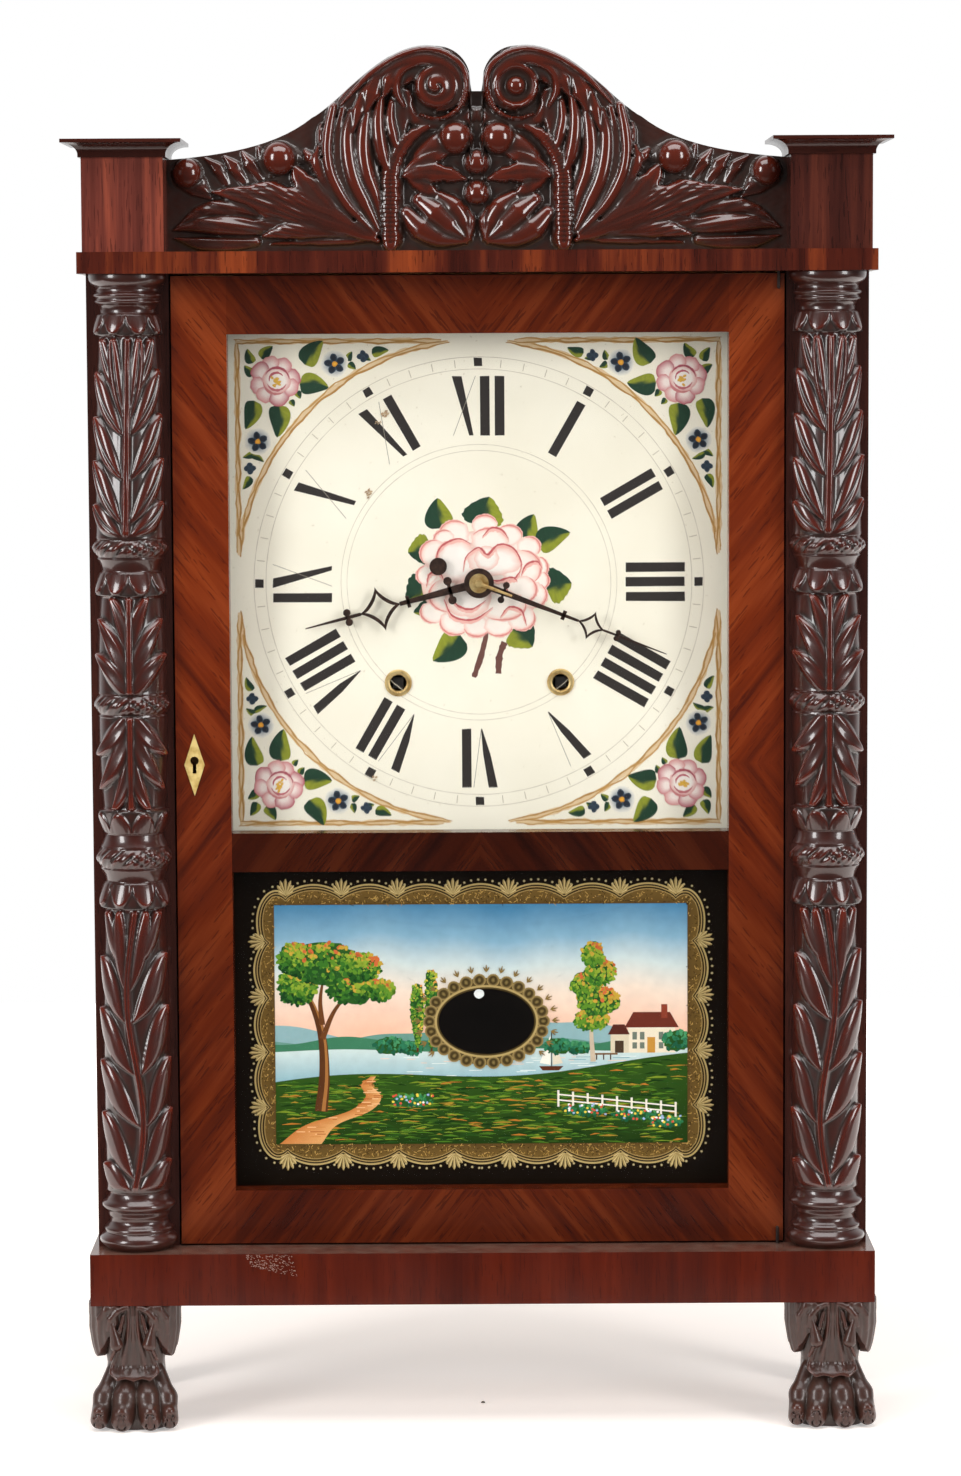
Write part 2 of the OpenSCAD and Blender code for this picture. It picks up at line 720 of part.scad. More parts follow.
// Carved lobes as shares of the crest's half width and height: foot, tip, width
crest_lobes = [
    // Tail of the outer ball
    [[0.85, 0.24], [0.92, 0.38], 12],
    // Pod that points to the plinth block
    [[0.7, 0.04], [0.975, 0.115], 8.5], [[0.7, 0.11], [0.975, 0.125], 9],
    [[0.71, 0.19], [0.95, 0.145], 8.5],
    // Broad leaf: its long lobe, upper lobe, lower lobe and bud
    [[0.34, 0.07], [0.85, 0.3], 17], [[0.36, 0.13], [0.6, 0.44], 17],
    [[0.33, 0.04], [0.68, 0.09], 11], [[0.4, 0.18], [0.72, 0.38], 11],
    // Flutes that rise beside the band
    [[0.33, 0.06], [0.45, 0.69], 11], [[0.31, 0.06], [0.38, 0.62], 8],
    [[0.28, 0.06], [0.33, 0.58], 8],
    // Inner pod of gadroons
    [[0.235, 0.24], [0.035, 0.07], 9.5], [[0.2, 0.28], [0.04, 0.09], 9],
    [[0.24, 0.16], [0.035, 0.055], 8.5]];

// Balls as shares of the crest's half width and height, with their radii
crest_balls = [[0.925, 0.385, 8.4], [0.64, 0.455, 8.8], [0.064, 0.56, 9.6],
               [0, 0.433, 7.6], [0, 0.28, 7.6]];

// Carved relief of the crest's left half, in front of its board
module crest_relief() {
    translate([volute_p[0], 0, volute_p[1]])
        upright([-relief_t * 0.7, 0])
            volute();
    for (ball = crest_balls)
        translate([-ball[0] * block_inner, -ball[2] * 0.3 * crest_k, ball[1] * crest_h])
            sphere(r = ball[2] * crest_k, $fn = 20);
    for (part = crest_lobes)
        lobe(crest_spot(part[0]), crest_spot(part[1]), part[2] * crest_k);
}

module crest_splat() color(dark_mahogany)
    translate([0, crest_face, roof_z]) {
        outline = crest_left();
        upright([0, crest_t])
            polygon(concat(outline,
                           [for (i = [len(outline) - 2:-1:0]) [-outline[i][0], outline[i][1]]]));
        both_sides() crest_relief();
    }

// Upright strips inside the case: two at the back carry the movement, and two
// carry the dial and keep the weights off it
module case_rails() color(pine)
    both_sides() {
        block([plate_w / 2 - 14, plate_w / 2], [plate_back_y, back_inner], [floor_z, ceiling_z]);
        block([dial_w / 2 - 10, dial_w / 2 + 4], [dial_back, dial_back + 12],
              [floor_z, ceiling_z]);
    }

// Dial

dial_pin_x = dial_w / 2 - 4;
pipe_r = 4;

module dial_board() color(ivory)
    difference() {
        block([-dial_w / 2, dial_w / 2], [dial_front, dial_back], dial_z);
        bar(hub, pipe_r + 1, [dial_front - 1, dial_back + 1]);
        both_sides()
            bar(great_p, grommet_r - 1.4, [dial_front - 1, dial_back + 1]);
        both_sides()
            for (z = [dial_z[0] + 12, dial_z[1] - 12])
                bar([dial_pin_x, z - hub_z], 1.5, [dial_front - 1, dial_back + 1]);
    }

// Brass rings that line the winding holes
module dial_grommets() color(brass)
    both_sides()
        translate([great_p[0], dial_front, hub_z + great_p[1]])
            rotate([-90, 0, 0])
                rotate_extrude($fn = 48)
                    polygon([[grommet_r - 2.9, -1], [grommet_r - 2, -1.6], [grommet_r - 0.8, -1.5],
                             [grommet_r, -0.4], [grommet_r, 0], [grommet_r - 1.4, 0],
                             [grommet_r - 1.4, dial_t], [grommet_r - 2.9, dial_t]]);

module dial_pins() color(pine)
    both_sides()
        for (z = [dial_z[0] + 12, dial_z[1] - 12])
            bar([dial_pin_x, z - hub_z], 1.5, [dial_front - 1, dial_back]);

// Outline of a pierced diamond with hollow sides, along its hand
module hollow_diamond(middle, half_l, half_w, stroke) {
    translate([0, middle])
        difference() {
            polygon(star_points(half_l, half_w));
            polygon(star_points(half_l - stroke * 2.2, half_w - stroke * 2));
        }
}
function star_points(l, w) = [
    for (a = [0:12:348])
        [w * pow(abs(cos(a)), 1.9) * sign(cos(a)), l * pow(abs(sin(a)), 1.9) * sign(sin(a))]];

// A tapered bar on a hand from a to b
module taper(a, b, wa, wb) {
    polygon([[-wa / 2, a], [wa / 2, a], [wb / 2, b], [-wb / 2, b]]);
}

// A dot on a hand
module dot(x, y, r) {
    translate([x, y]) circle(r = r, $fn = 12);
}

boss_r = 8.5;
hour_hand_y = dial_front - 3.4;
minute_hand_y = dial_front - 5.8;
hand_t = 1.1;
minute_arbor_r = 2.2;

module minute_hand() color(iron)
    difference() {
        translate([0, 0, hub_z])
            rotate([0, minute_angle, 0])
                upright([minute_hand_y - hand_t, minute_hand_y]) {
                    k = minute_len / 114;
                    circle(r = boss_r, $fn = 12);
                    taper(0, 62 * k, 4.4, 1.6);
                    hollow_diamond(68 * k, 8 * k, 8 * k, 1.1);
                    taper(75.2 * k, 84 * k, 1.4, 1.4);
                    taper(83 * k, minute_len, 1.6, 0.5);
                    taper(50 * k, 53 * k, 5.6, 5.6);
                    for (side = [-1, 1]) {
                        dot(side * 1.8, 84 * k, 1.5);
                        dot(side * 4.4, 15 * k, 1.9);
                        translate([side * 2.2, 15 * k]) square([4.4, 1.6], center = true);
                    }
                }
        bar(hub, minute_arbor_r, [minute_hand_y - hand_t - 1, minute_hand_y + 1]);
    }

module hour_hand() color(iron)
    difference() {
        translate([0, 0, hub_z])
            rotate([0, hour_angle, 0])
                upright([hour_hand_y - hand_t, hour_hand_y]) {
                    k = hour_len / 102;
                    circle(r = boss_r - 1.5, $fn = 12);
                    taper(0, 47 * k, 5, 2.6);
                    hollow_diamond(58 * k, 12 * k, 12.6 * k, 1.6);
                    taper(69 * k, 78 * k, 2, 2);
                    taper(77 * k, hour_len, 1.9, 0.6);
                    taper(40 * k, 43 * k, 7, 7);
                    for (side = [-1, 1]) {
                        dot(side * 2.8, 77 * k, 2.1);
                        dot(side * 5.6, 17 * k, 2.4);
                        translate([side * 2.8, 17 * k]) square([5.6, 2], center = true);
                    }
                    dot(15 * k, 20 * k, 5 * k);
                    rotate(-36) taper(4, 22 * k, 1.8, 1.8);
                }
        bar(hub, pipe_r, [hour_hand_y - hand_t - 1, hour_hand_y + 1]);
    }

// Door

// Stiles with the glass rabbet; the left one is mortised for the lock
module door_stiles() color(mahogany)
    difference() {
        both_sides()
            block([open_x, door_x], [door_front, door_back], door_z);
        for (z = [tablet_z, dial_open_z])
            block([-open_x - rabbet_w, open_x + rabbet_w], [glass_y, door_back + 1],
                  [z[0] - rabbet_w, z[1] + rabbet_w]);
        block([-door_x - 1, lock_w - door_x], [door_back - lock_d, door_back + 1],
              [key_z - lock_h / 2, key_z + lock_h / 2]);
        keyhole(door_front - 1, door_back - lock_d + 1);
    }

module door_rails() color(mahogany)
    difference() {
        for (z = [[door_z[0], tablet_z[0]], [tablet_z[1], dial_open_z[0]], [dial_open_z[1], door_z[1]]])
            block([-open_x, open_x], [door_front, door_back], z);
        for (z = [tablet_z, dial_open_z])
            block([-open_x - 1, open_x + 1], [glass_y, door_back + 1],
                  [z[0] - rabbet_w, z[1] + rabbet_w]);
    }

// Round keyhole with its slot, cut from y0 to y1
module keyhole(y0, y1) {
    translate([key_x, 0, key_z])
        upright([y0, y1]) {
            circle(r = 2.4, $fn = 32);
            translate([-1.05, -7.2]) square([2.1, 7.2]);
        }
}

module pane(z) {
    edge = rabbet_w - 0.5;
    block([-open_x - edge, open_x + edge], [glass_y, glass_y + glass_t], [z[0] - edge, z[1] + edge]);
}

module dial_glass() color(glass, 0.4) pane(dial_open_z);

module tablet_glass() color("#8a9a86") pane(tablet_z);

// Thin strips that hold the panes, mitred round each opening
module glazing_strips() color(dark_mahogany)
    for (z = [tablet_z, dial_open_z])
        difference() {
            edge = rabbet_w - 0.5;
            block([-open_x - edge, open_x + edge], [glass_y + glass_t, door_back],
                  [z[0] - edge, z[1] + edge]);
            block([-open_x - 1, open_x + 1], [glass_y, door_back + 1], [z[0] - 1, z[1] + 1]);
        }

// Bent wires in the door's front that turn in the top rail and the base
module hinge_pintles() color(iron)
    for (end = [[ceiling_z + pintle_len - 1.5, -1], [floor_z - pintle_len + 1.5, 1]])
        union() {
            reach = pintle_len + 7.5;
            tip = end[0] + end[1] * reach;
            post(hinge_x, hinge_y, [min(end[0], tip), max(end[0], tip)], pintle_r);
            translate([hinge_x, hinge_y, tip])
                rotate([-90, 0, 0])
                    cylinder(r = pintle_r * 0.9, h = door_front - hinge_y, $fn = 24);
            translate([hinge_x, hinge_y, tip])
                sphere(r = pintle_r, $fn = 24);
        }

module lock_case() color(brass)
    difference() {
        block([0.5 - door_x, lock_w - door_x], [door_back - lock_d, door_back],
              [key_z - lock_h / 2, key_z + lock_h / 2]);
        block([-door_x, bolt_len + bolt_play - door_x],
              [door_back - lock_d + 3 - bolt_play, door_back - lock_d + 3 + bolt_t + bolt_play],
              [key_z - bolt_h / 2 - bolt_play, key_z + bolt_h / 2 + bolt_play]);
        keyhole(door_back - lock_d - 1, door_back - 3);
    }

module lock_bolt() color(brass)
    block([0.3 - door_x, bolt_len - door_x], [door_back - lock_d + 3, door_back - lock_d + 3 + bolt_t],
          [key_z - bolt_h / 2, key_z + bolt_h / 2]);

// Thin diamond of bone round the keyhole
module escutcheon() color("#d8cfae")
    difference() {
        translate([key_x, 0, key_z - 2.4])
            upright([door_front - 0.6, door_front])
                polygon([[0, -escutcheon_h / 2], [escutcheon_w / 2, 0], [0, escutcheon_h / 2],
                         [-escutcheon_w / 2, 0]]);
        keyhole(door_front - 1, door_front + 1);
    }

// Movement frame

// Arbor holes of the front and back plates: place, radius in front, radius behind
wood_hole = arbor_r + arbor_play;
wind_hole = wind_r + arbor_play;
pivot_hole = pivot_r + arbor_play;
holes = [
    [great_p, wind_hole, wind_hole], [flip(great_p), wind_hole, wind_hole],
    [second_p, wood_hole, pivot_hole], [flip(second_p), pivot_hole, wood_hole],
    [third_p, pivot_hole, pivot_hole], [flip(third_p), pivot_hole, pivot_hole],
    [escape_p, wood_hole, pivot_hole], [flip(escape_p), pivot_hole, pivot_hole],
    [hammer_p, pivot_hole, pivot_hole]];

module plate(y, front) {
    difference() {
        block([-plate_w / 2, plate_w / 2], y, [hub_z - plate_h / 2, hub_z + plate_h / 2]);
        for (hole = holes)
            bar(hole[0], front ? hole[1] : hole[2], [y[0] - 1, y[1] + 1]);
        if (front)
            bar(hub, minute_arbor_r + arbor_play, [y[0] - 1, y[1] + 1]);
        for (stud = front ? [verge_p, suspension_p] : [count_p])
            bar(stud, stud_r, [y[0] - 1, y[1] + 1]);
    }
}
stud_r = 1.6;

module plate_front() color(oak) plate([plate_front_y, plate_in_y], true);

module plate_back() color(oak) plate([plate_rear_y, plate_back_y], false);

module plate_pillars() color(cherry)
    both_sides() {
        bar(pillar_p, pillar_r, [plate_in_y, plate_rear_y]);
        bar(low_pillar_p, pillar_r, [plate_in_y, plate_rear_y]);
    }

// Wire studs: the verge's and the pendulum's in front, the count wheel's behind
module movement_studs() color(steel) {
    bar(verge_p, stud_r, [rod_y + rod_r + rod_gap, plate_in_y]);
    difference() {
        bar(suspension_p, stud_r, [rod_y - 1.8, plate_in_y]);
        translate([0, 0, hub_z])
            block([pendulum_x - 0.35, pendulum_x + 0.35], [rod_y - 3, rod_y + 1.6],
                  [suspension_h - 3, suspension_h + 3]);
    }
    bar(count_p, stud_r, [plate_rear_y, count_y[1] + 0.8]);
}

// Wheels

// Outline of a toothed ring whose teeth taper from root to tip
function teeth(count, root_r, tip_r, low_w, high_w, phase) = [
    for (i = [0:count - 1], k = [0:3])
        let (outer = k == 1 || k == 2,
             r = outer ? tip_r : root_r,
             half = (outer ? high_w : low_w) / r * 90 / PI,
             a = phase + i * 360 / count + (k < 2 ? -half : half))
        [r * cos(a), r * sin(a)]];

// Teeth of a wheel with n teeth of size m that drives a pinion
module wheel_teeth(n, m, phase = 0) {
    polygon(teeth(n, m * n / 2 - leaf_share * m - root_gap, m * n / 2 + tip_share * m,
                  width_low * PI * m, width_high * PI * m, phase));
}

// Leaves of a pinion with n leaves of size m
module pinion_leaves(n, m, phase) {
    polygon(teeth(n, m * n / 2 - tip_share * m - root_gap, m * n / 2 + leaf_share * m,
                  width_low * PI * m, width_high * PI * m, phase));
}

// Angle of a leaf of the pinion at b that fits between the teeth of the wheel at a
function fit_phase(wheel_n, wheel_phase, pinion_n, a, b) =
    let (line = atan2(b[1] - a[1], b[0] - a[0]))
    line + 180 - 360 / pinion_n * (0.5 - wheel_n * (line - wheel_phase) / 360);

// A flat wheel outline at the point p, from y[0] to y[1]
module disc_at(p, y) {
    translate([p[0], 0, hub_z + p[1]])
        upright(y)
            children();
}

// Wooden body of an arbor with wire pivots in both plates
module wired_arbor(p, y) {
    bar(p, arbor_r, y, 8);
    bar(p, pivot_r, [plate_in_y - plate_t + 1, y[0] + 1]);
    bar(p, pivot_r, [y[1] - 1, plate_rear_y + plate_t - 1]);
}

// Great wheel with a wire click at its back, bored for the drum's arbor
module great_wheel() {
    difference() {
        disc_at(great_p, great_y) wheel_teeth(great_n, great_m);
        bar(great_p, wind_r + arbor_play, [great_y[0] - 1, great_y[1] + 1]);
    }
    disc_at(great_p, [great_y[1] - 0.5, drum_y[0] + 1.8])
        polygon([[drum_flange_r + 0.5, 0.4], [drum_flange_r + 1.2, -0.4],
                 [drum_flange_r + 5, 9], [drum_flange_r + 2.4, 10]]);
    bar(great_p + [drum_flange_r + 3.7, 9.5], 1.6, [great_y[1] - 0.5, drum_y[0] + 2.4]);
}

// Winding drum on its arbor, with a toothed ratchet flange and a squared end
module drum() {
    disc_at(great_p, [drum_y[0], drum_y[0] + 2])
        polygon(teeth(18, drum_flange_r - 2, drum_flange_r, 5, 1.6, 0));
    bar(great_p, drum_r, [drum_y[0] + 1, drum_y[1] - 1]);
    bar(great_p, drum_flange_r, [drum_y[1] - 1.6, drum_y[1]]);
    bar(great_p, wind_r, [plate_front_y - 4, plate_back_y + 2]);
    translate([great_p[0], 0, hub_z + great_p[1]])
        upright([dial_front + 1.5, plate_front_y - 3])
            square(wind_r * 1.5, center = true);
}

// Second wheel: its arbor, the pinion that the great wheel drives, and the wheel
module second_wheel(wheel_y, arbor_y) {
    phase = fit_phase(great_n, 0, great_leaf, great_p, second_p);
    disc_at(second_p, [great_y[0] - 0.2, great_y[1] + 0.2]) pinion_leaves(great_leaf, great_m, phase);
    disc_at(second_p, wheel_y) wheel_teeth(second_n, second_m);
    bar(second_p, arbor_r + 0.6, [great_y[1], arbor_y], 8);
}

// Third wheel: the pinion that the second wheel drives, and the wheel
module third_wheel(leaf_y, wheel_y) {
    phase = fit_phase(second_n, 0, leaf_n, second_p, third_p);
    disc_at(third_p, [leaf_y[0] - 0.2, leaf_y[1] + 0.2]) pinion_leaves(leaf_n, second_m, phase);
    disc_at(third_p, wheel_y) wheel_teeth(third_n, third_m);
    wired_arbor(third_p, [plate_in_y + 0.6, plate_rear_y - 0.6]);
}

module time_great_wheel() color(cherry) great_wheel();

module time_drum() color(cherry) drum();

// The time train's second arbor reaches through the front plate, where a wheel
// drives the minute arbor and a pinion drives the hour wheel
module time_second_wheel() color(cherry) {
    second_wheel(second_y, plate_rear_y - 0.6);
    bar(second_p, arbor_r, [minute_y[1] - 0.5, great_y[0]]);
    bar(second_p, arbor_r - 0.9, [hour_y[0] - 0.6, minute_y[0] + 1]);
    disc_at(second_p, minute_y) wheel_teeth(dial_n, dial_m);
    disc_at(second_p, hour_y) pinion_leaves(leaf_n, hour_m, 0);
    bar(second_p, pivot_r, [plate_rear_y - 1, plate_back_y - 1]);
}

module time_third_wheel() color(cherry) third_wheel(second_y, third_y);

// Escape wheel in front of the front plate, its pinion between the plates
module escape_wheel() color(cherry) {
    phase = fit_phase(third_n, 0, leaf_n, third_p, escape_p);
    disc_at(escape_p, escape_y)
        polygon([
            for (i = [0:escape_n - 1], k = [0:1])
                let (r = escape_r - 3 * k, a = 360 * (i + 0.2 * k) / escape_n)
                [r * cos(a), r * sin(a)]]);
    bar(escape_p, arbor_r, [escape_y[0], plate_in_y + 1]);
    disc_at(escape_p, [third_y[0] - 0.2, third_y[1] + 0.2]) pinion_leaves(leaf_n, third_m, phase);
    bar(escape_p, arbor_r, [plate_in_y + 0.6, plate_rear_y - 0.6], 8);
    bar(escape_p, pivot_r, [plate_rear_y - 1, plate_back_y - 1]);
}

// Hands' arbor with its wheel, a collar behind the front plate, and in front the
// brass collet and the tapered pin that keep the minute hand on
module minute_arbor() color(brass) {
    phase = fit_phase(dial_n, 0, dial_n, second_p, hub);
    disc_at(hub, minute_y) pinion_leaves(dial_n, dial_m, phase);
    bar(hub, minute_arbor_r, [minute_hand_y - 4.4, plate_in_y + 3]);
    bar(hub, 4, [plate_in_y + 0.4, plate_in_y + 2.4]);
    bar(hub, 5.5, [minute_hand_y - hand_t - 1.2, minute_hand_y - hand_t]);
    translate([0, minute_hand_y - 3.4, hub_z])
        rotate([0, minute_angle, 0])
            cylinder(r1 = 1.1, r2 = 0.6, h = 20, $fn = 24);
}

// Hour wheel on its pipe, which turns on the minute arbor
module hour_wheel() color(cherry) {
    phase = fit_phase(leaf_n, 0, hour_n, second_p, hub);
    difference() {
        union() {
            disc_at(hub, hour_y) wheel_teeth(hour_n, hour_m, phase);
            bar(hub, pipe_r, [hour_hand_y - hand_t, hour_y[1] - 0.5]);
        }
        bar(hub, minute_arbor_r + arbor_play, [hour_hand_y - hand_t - 1, hour_y[1] + 1]);
    }
}

module strike_great_wheel() color(cherry)
    mirror([1, 0, 0]) great_wheel();

module strike_drum() color(cherry)
    mirror([1, 0, 0]) drum();

// The strike train's second arbor reaches through the back plate to the count wheel
module strike_second_wheel() color(cherry) {
    mirror([1, 0, 0]) {
        second_wheel(strike_second_y, plate_rear_y - 0.6);
        bar(second_p, pivot_r, [plate_front_y + 1, great_y[0]]);
        bar(second_p, arbor_r, [plate_rear_y - 1, count_y[0]]);
        disc_at(second_p, [count_y[0] - 0.3, count_y[1] + 0.2]) pinion_leaves(leaf_n, count_m, 0);
    }
    // Short pins that lift the hammer's tail
    for (a = [30:60:330])
        bar(flip(second_p) + second_m * second_n * 0.43 * [cos(a), sin(a)], 0.8,
            [strike_second_y[0] - 1.2, strike_second_y[0] + 1]);
}

module strike_third_wheel() color(cherry)
    mirror([1, 0, 0]) third_wheel(strike_second_y, strike_third_y);

// Fly: a pinion and two sheet vanes that slow the striking
module fly() color(steel)
    mirror([1, 0, 0]) {
        phase = fit_phase(third_n, 0, leaf_n, third_p, escape_p);
        disc_at(escape_p, [strike_third_y[0] - 0.2, strike_third_y[1] + 0.2])
            pinion_leaves(leaf_n, third_m, phase);
        wired_arbor(escape_p, [plate_in_y + 0.6, plate_rear_y - 0.6]);
        disc_at(escape_p, [strike_third_y[1] + 2, plate_rear_y - 2])
            square([27, 0.8], center = true);
    }

// Count wheel: slots spaced for one to twelve blows
module count_wheel() color(cherry)
    difference() {
        disc_at(count_p, count_y)
            wheel_teeth(count_n, count_m, fit_phase(leaf_n, 0, count_n, flip(second_p), count_p));
        bar(count_p, stud_r + arbor_play, [count_y[0] - 1, count_y[1] + 1]);
        for (hour = [1:12])
            translate([count_p[0], 0, hub_z + count_p[1]])
                rotate([0, hour * (hour + 1) / 2 * 360 / count_n, 0])
                    block(count_m * count_n / 2 * [0.74, 0.88], [count_y[0] - 1, count_y[1] + 1],
                          [-0.9, 0.9]);
    }

// Hammer on its arbor between the plates: arm and head below, tail above
module strike_hammer() color(steel) {
    arm_y = plate_rear_y - 2;
    tail_y = strike_second_y[0] - 3;
    head = [-gong_r - gong_wire_r - 1.2, -gong_drop];
    wired_arbor(hammer_p, [plate_in_y + 8, plate_rear_y - 0.6]);
    wire([[hammer_p[0], arm_y, hub_z + hammer_p[1]],
          [head[0] - 7, arm_y, hub_z + hammer_p[1] - 12],
          [head[0] - 7, arm_y, hub_z + head[1] - 3]], 1, 8);
    translate([head[0] - 14, arm_y + 2, hub_z + head[1]])
        rotate([0, 90, 0])
            cylinder(r = 5, h = 14, $fn = 32);
    wire([for (p = tail_path) [hammer_p[0] + p[0], tail_y, hub_z + hammer_p[1] + p[1]]], 0.8, 8);
}

// Verge and pendulum

// Steel verge over the escape wheel, with the crutch wire that the rod passes
// through. Its pallets stay clear of the tooth tips at every angle.
module verge() color(steel) {
    pallet_r = escape_r + 1.9;
    pallet_a = 33;
    bore = stud_r + arbor_play;
    loop_z = 44;
    difference() {
        union() {
            bar(verge_p, stud_r + 1.6, [crutch_y - 0.6, escape_y[1]]);
            disc_at(verge_p, escape_y)
                for (side = [-1, 1])
                    polygon([[0, 2], [0, -1.5], [side * 9, -3],
                             [side * pallet_r * sin(pallet_a), escape_h - verge_h
                                 + pallet_r * cos(pallet_a)],
                             [side * (pallet_r + 2) * sin(pallet_a), escape_h - verge_h
                                 + (pallet_r + 2) * cos(pallet_a) + 1]]);
        }
        bar(verge_p, bore, [crutch_y - 2, escape_y[1] + 1]);
    }
    // Crutch
    translate([0, 0, hub_z]) {
        block([pendulum_x - 0.6, pendulum_x + 0.6], [crutch_y - 0.6, crutch_y + 0.6],
              [loop_z, verge_h - stud_r - 1]);
        block([pendulum_x - 2.4, pendulum_x + 2.4], [crutch_y - 0.6, crutch_y + 0.6],
              [loop_z - 1.2, loop_z]);
        for (side = [-1, 1])
            translate([pendulum_x + side * (rod_r + 0.8), 0, 0])
                block([-0.6, 0.6], [rod_y - 1.4, crutch_y + 0.6], [loop_z - 1.2, loop_z]);
    }
}

// Suspension ribbon in the stud's slit, then the wire rod down to the bob
module pendulum_rod() color(steel) {
    top = hub_z + suspension_h;
    block([pendulum_x - 0.12, pendulum_x + 0.12], [rod_y - 0.9, rod_y + 0.9], [top - 14, top + 2.6]);
    post(pendulum_x, rod_y, [top - pendulum_len + bob_r - 2, top - 12], rod_r);
}

// Lens-shaped bob
module pendulum_bob() color(brass)
    translate([pendulum_x, rod_y, hub_z + suspension_h - pendulum_len])
        rotate([90, 0, 0])
            rotate_extrude($fn = 64)
                polygon(concat(
                    curve([0, -2.6], [bob_r * 0.6, -2.6], [bob_r * 0.9, -1.6], [bob_r, -0.4], 6),
                    curve([bob_r, 0.4], [bob_r * 0.9, 1.6], [bob_r * 0.6, 2.6], [0, 2.6], 6)));

// Weights, pulleys, cords

// Iron weight with a wire hook
module weight() {
    z = [weight_z, weight_z + weight_h];
    block([weight_x - weight_w / 2, weight_x + weight_w / 2],
          [cord_y - weight_d / 2, cord_y + weight_d / 2], z);
    translate([weight_x, cord_y, z[1] + hook_h / 2 - 1])
        rotate([90, 0, 0])
            rotate_extrude($fn = 32)
                translate([hook_h / 2 - 1.2, 0])
                    circle(r = 1.2, $fn = 16);
}

// Grooved wooden pulley on its wire
module pulley() {
    groove = winding_r - cord_r - 0.3;
    translate([pulley_x, cord_y, pulley_pin_z])
        rotate([90, 0, 0])
            rotate_extrude($fn = 64)
                polygon([[pivot_r + arbor_play, -3.5], [pulley_r, -3.5], [pulley_r, -2.6],
                         [groove, -1], [groove, 1], [pulley_r, 2.6], [pulley_r, 3.5],
                         [pivot_r + arbor_play, 3.5]]);
}

// Wires across the slots in the top board, lying on it
module pulley_pins() color(steel)
    both_sides()
        bar([pulley_x, pulley_pin_z - hub_z], pivot_r, cord_y + pulley_pin_l / 2 * [-1, 1]);

// Cord from the drum, over the pulley, to the top of the weight's fall
module cord_run() {
    side = cord_dir + 90;
    low = [wind_x, cord_y, great_z] + winding_r * [cos(side), 0, sin(side)];
    arc = [
        for (k = [0:10])
            let (a = side - k * side / 10)
            [pulley_x + winding_r * cos(a), cord_y, pulley_pin_z + winding_r * sin(a)]];
    wire(concat([for (k = [0:9]) low + (arc[0] - low) * k / 10], arc), cord_r, 8);
}

module cord_runs() color(ivory)
    both_sides() cord_run();

// Cord between the pulley and a run-down weight
module cord_drop() {
    low = weight_z + weight_h + hook_h - 0.8;
    wire([for (k = [0:8]) [weight_x, cord_y, low + (pulley_pin_z - low) * k / 8]], cord_r, 8);
}

module time_cord_drop() color(ivory) cord_drop();

module strike_cord_drop() color(ivory)
    mirror([1, 0, 0]) cord_drop();

module time_pulley() color(cherry) pulley();

module strike_pulley() color(cherry)
    mirror([1, 0, 0]) pulley();

module time_weight() color(iron) weight();

module strike_weight() color(iron)
    mirror([1, 0, 0]) weight();

// Gong

gong_z = hub_z - gong_drop;
gong_y = back_inner - 8;

// Iron block on the back board that holds the gong's inner end
module gong_base() color(iron)
    translate([0, 0, gong_z])
        upright([gong_y - 3, back_inner])
            translate([-7, 0]) square([10, 10], center = true);

// Flat spiral of steel wire
module gong_wire() color(steel) {
    start_r = 8;
    steps = gong_turns * 20;
    wire([
        for (k = [0:steps])
            let (t = k / steps,
                 a = 180 + 360 * gong_turns * (1 - t),
                 r = start_r + (gong_r - start_r) * t)
            [r * cos(a), gong_y, gong_z + r * sin(a)]], gong_wire_r, 6);
}

base_frame();
bottom_board();
glue_blocks();
paw_feet();
rear_feet();
case_sides();
column_stiles();
columns();
top_rail();
top_board();
back_board();
plinth_blocks();
plinth_caps();
crest_splat();
case_rails();
dial_board();
dial_grommets();
dial_pins();
gong_base();
gong_wire();
pulley_pins();
plate_front();
plate_back();
plate_pillars();
movement_studs();
cord_runs();
time_cord_drop();
strike_cord_drop();
door_stiles();
door_rails();
dial_glass();
tablet_glass();
glazing_strips();
hinge_pintles();
lock_case();
escutcheon();
lock_bolt();
pendulum_rod();
pendulum_bob();
verge();
time_great_wheel();
time_drum();
time_second_wheel();
time_third_wheel();
escape_wheel();
minute_arbor();
hour_wheel();
minute_hand();
hour_hand();
time_pulley();
time_weight();
strike_great_wheel();
strike_drum();
strike_second_wheel();
strike_third_wheel();
fly();
count_wheel();
strike_hammer();
strike_pulley();
strike_weight();
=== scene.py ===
"""Column shelf clock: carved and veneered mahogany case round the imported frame.

Lengths are millimetres in this file and become metres where a mesh is made. The front
faces -Y, Z is up, and left and right are the viewer's.
"""
from __future__ import annotations

import logging
import math
from dataclasses import dataclass
from enum import Enum
from functools import partial
from typing import Callable, ClassVar, Sequence

import bmesh
import bpy
import numpy as np
from mathutils import Matrix, Vector

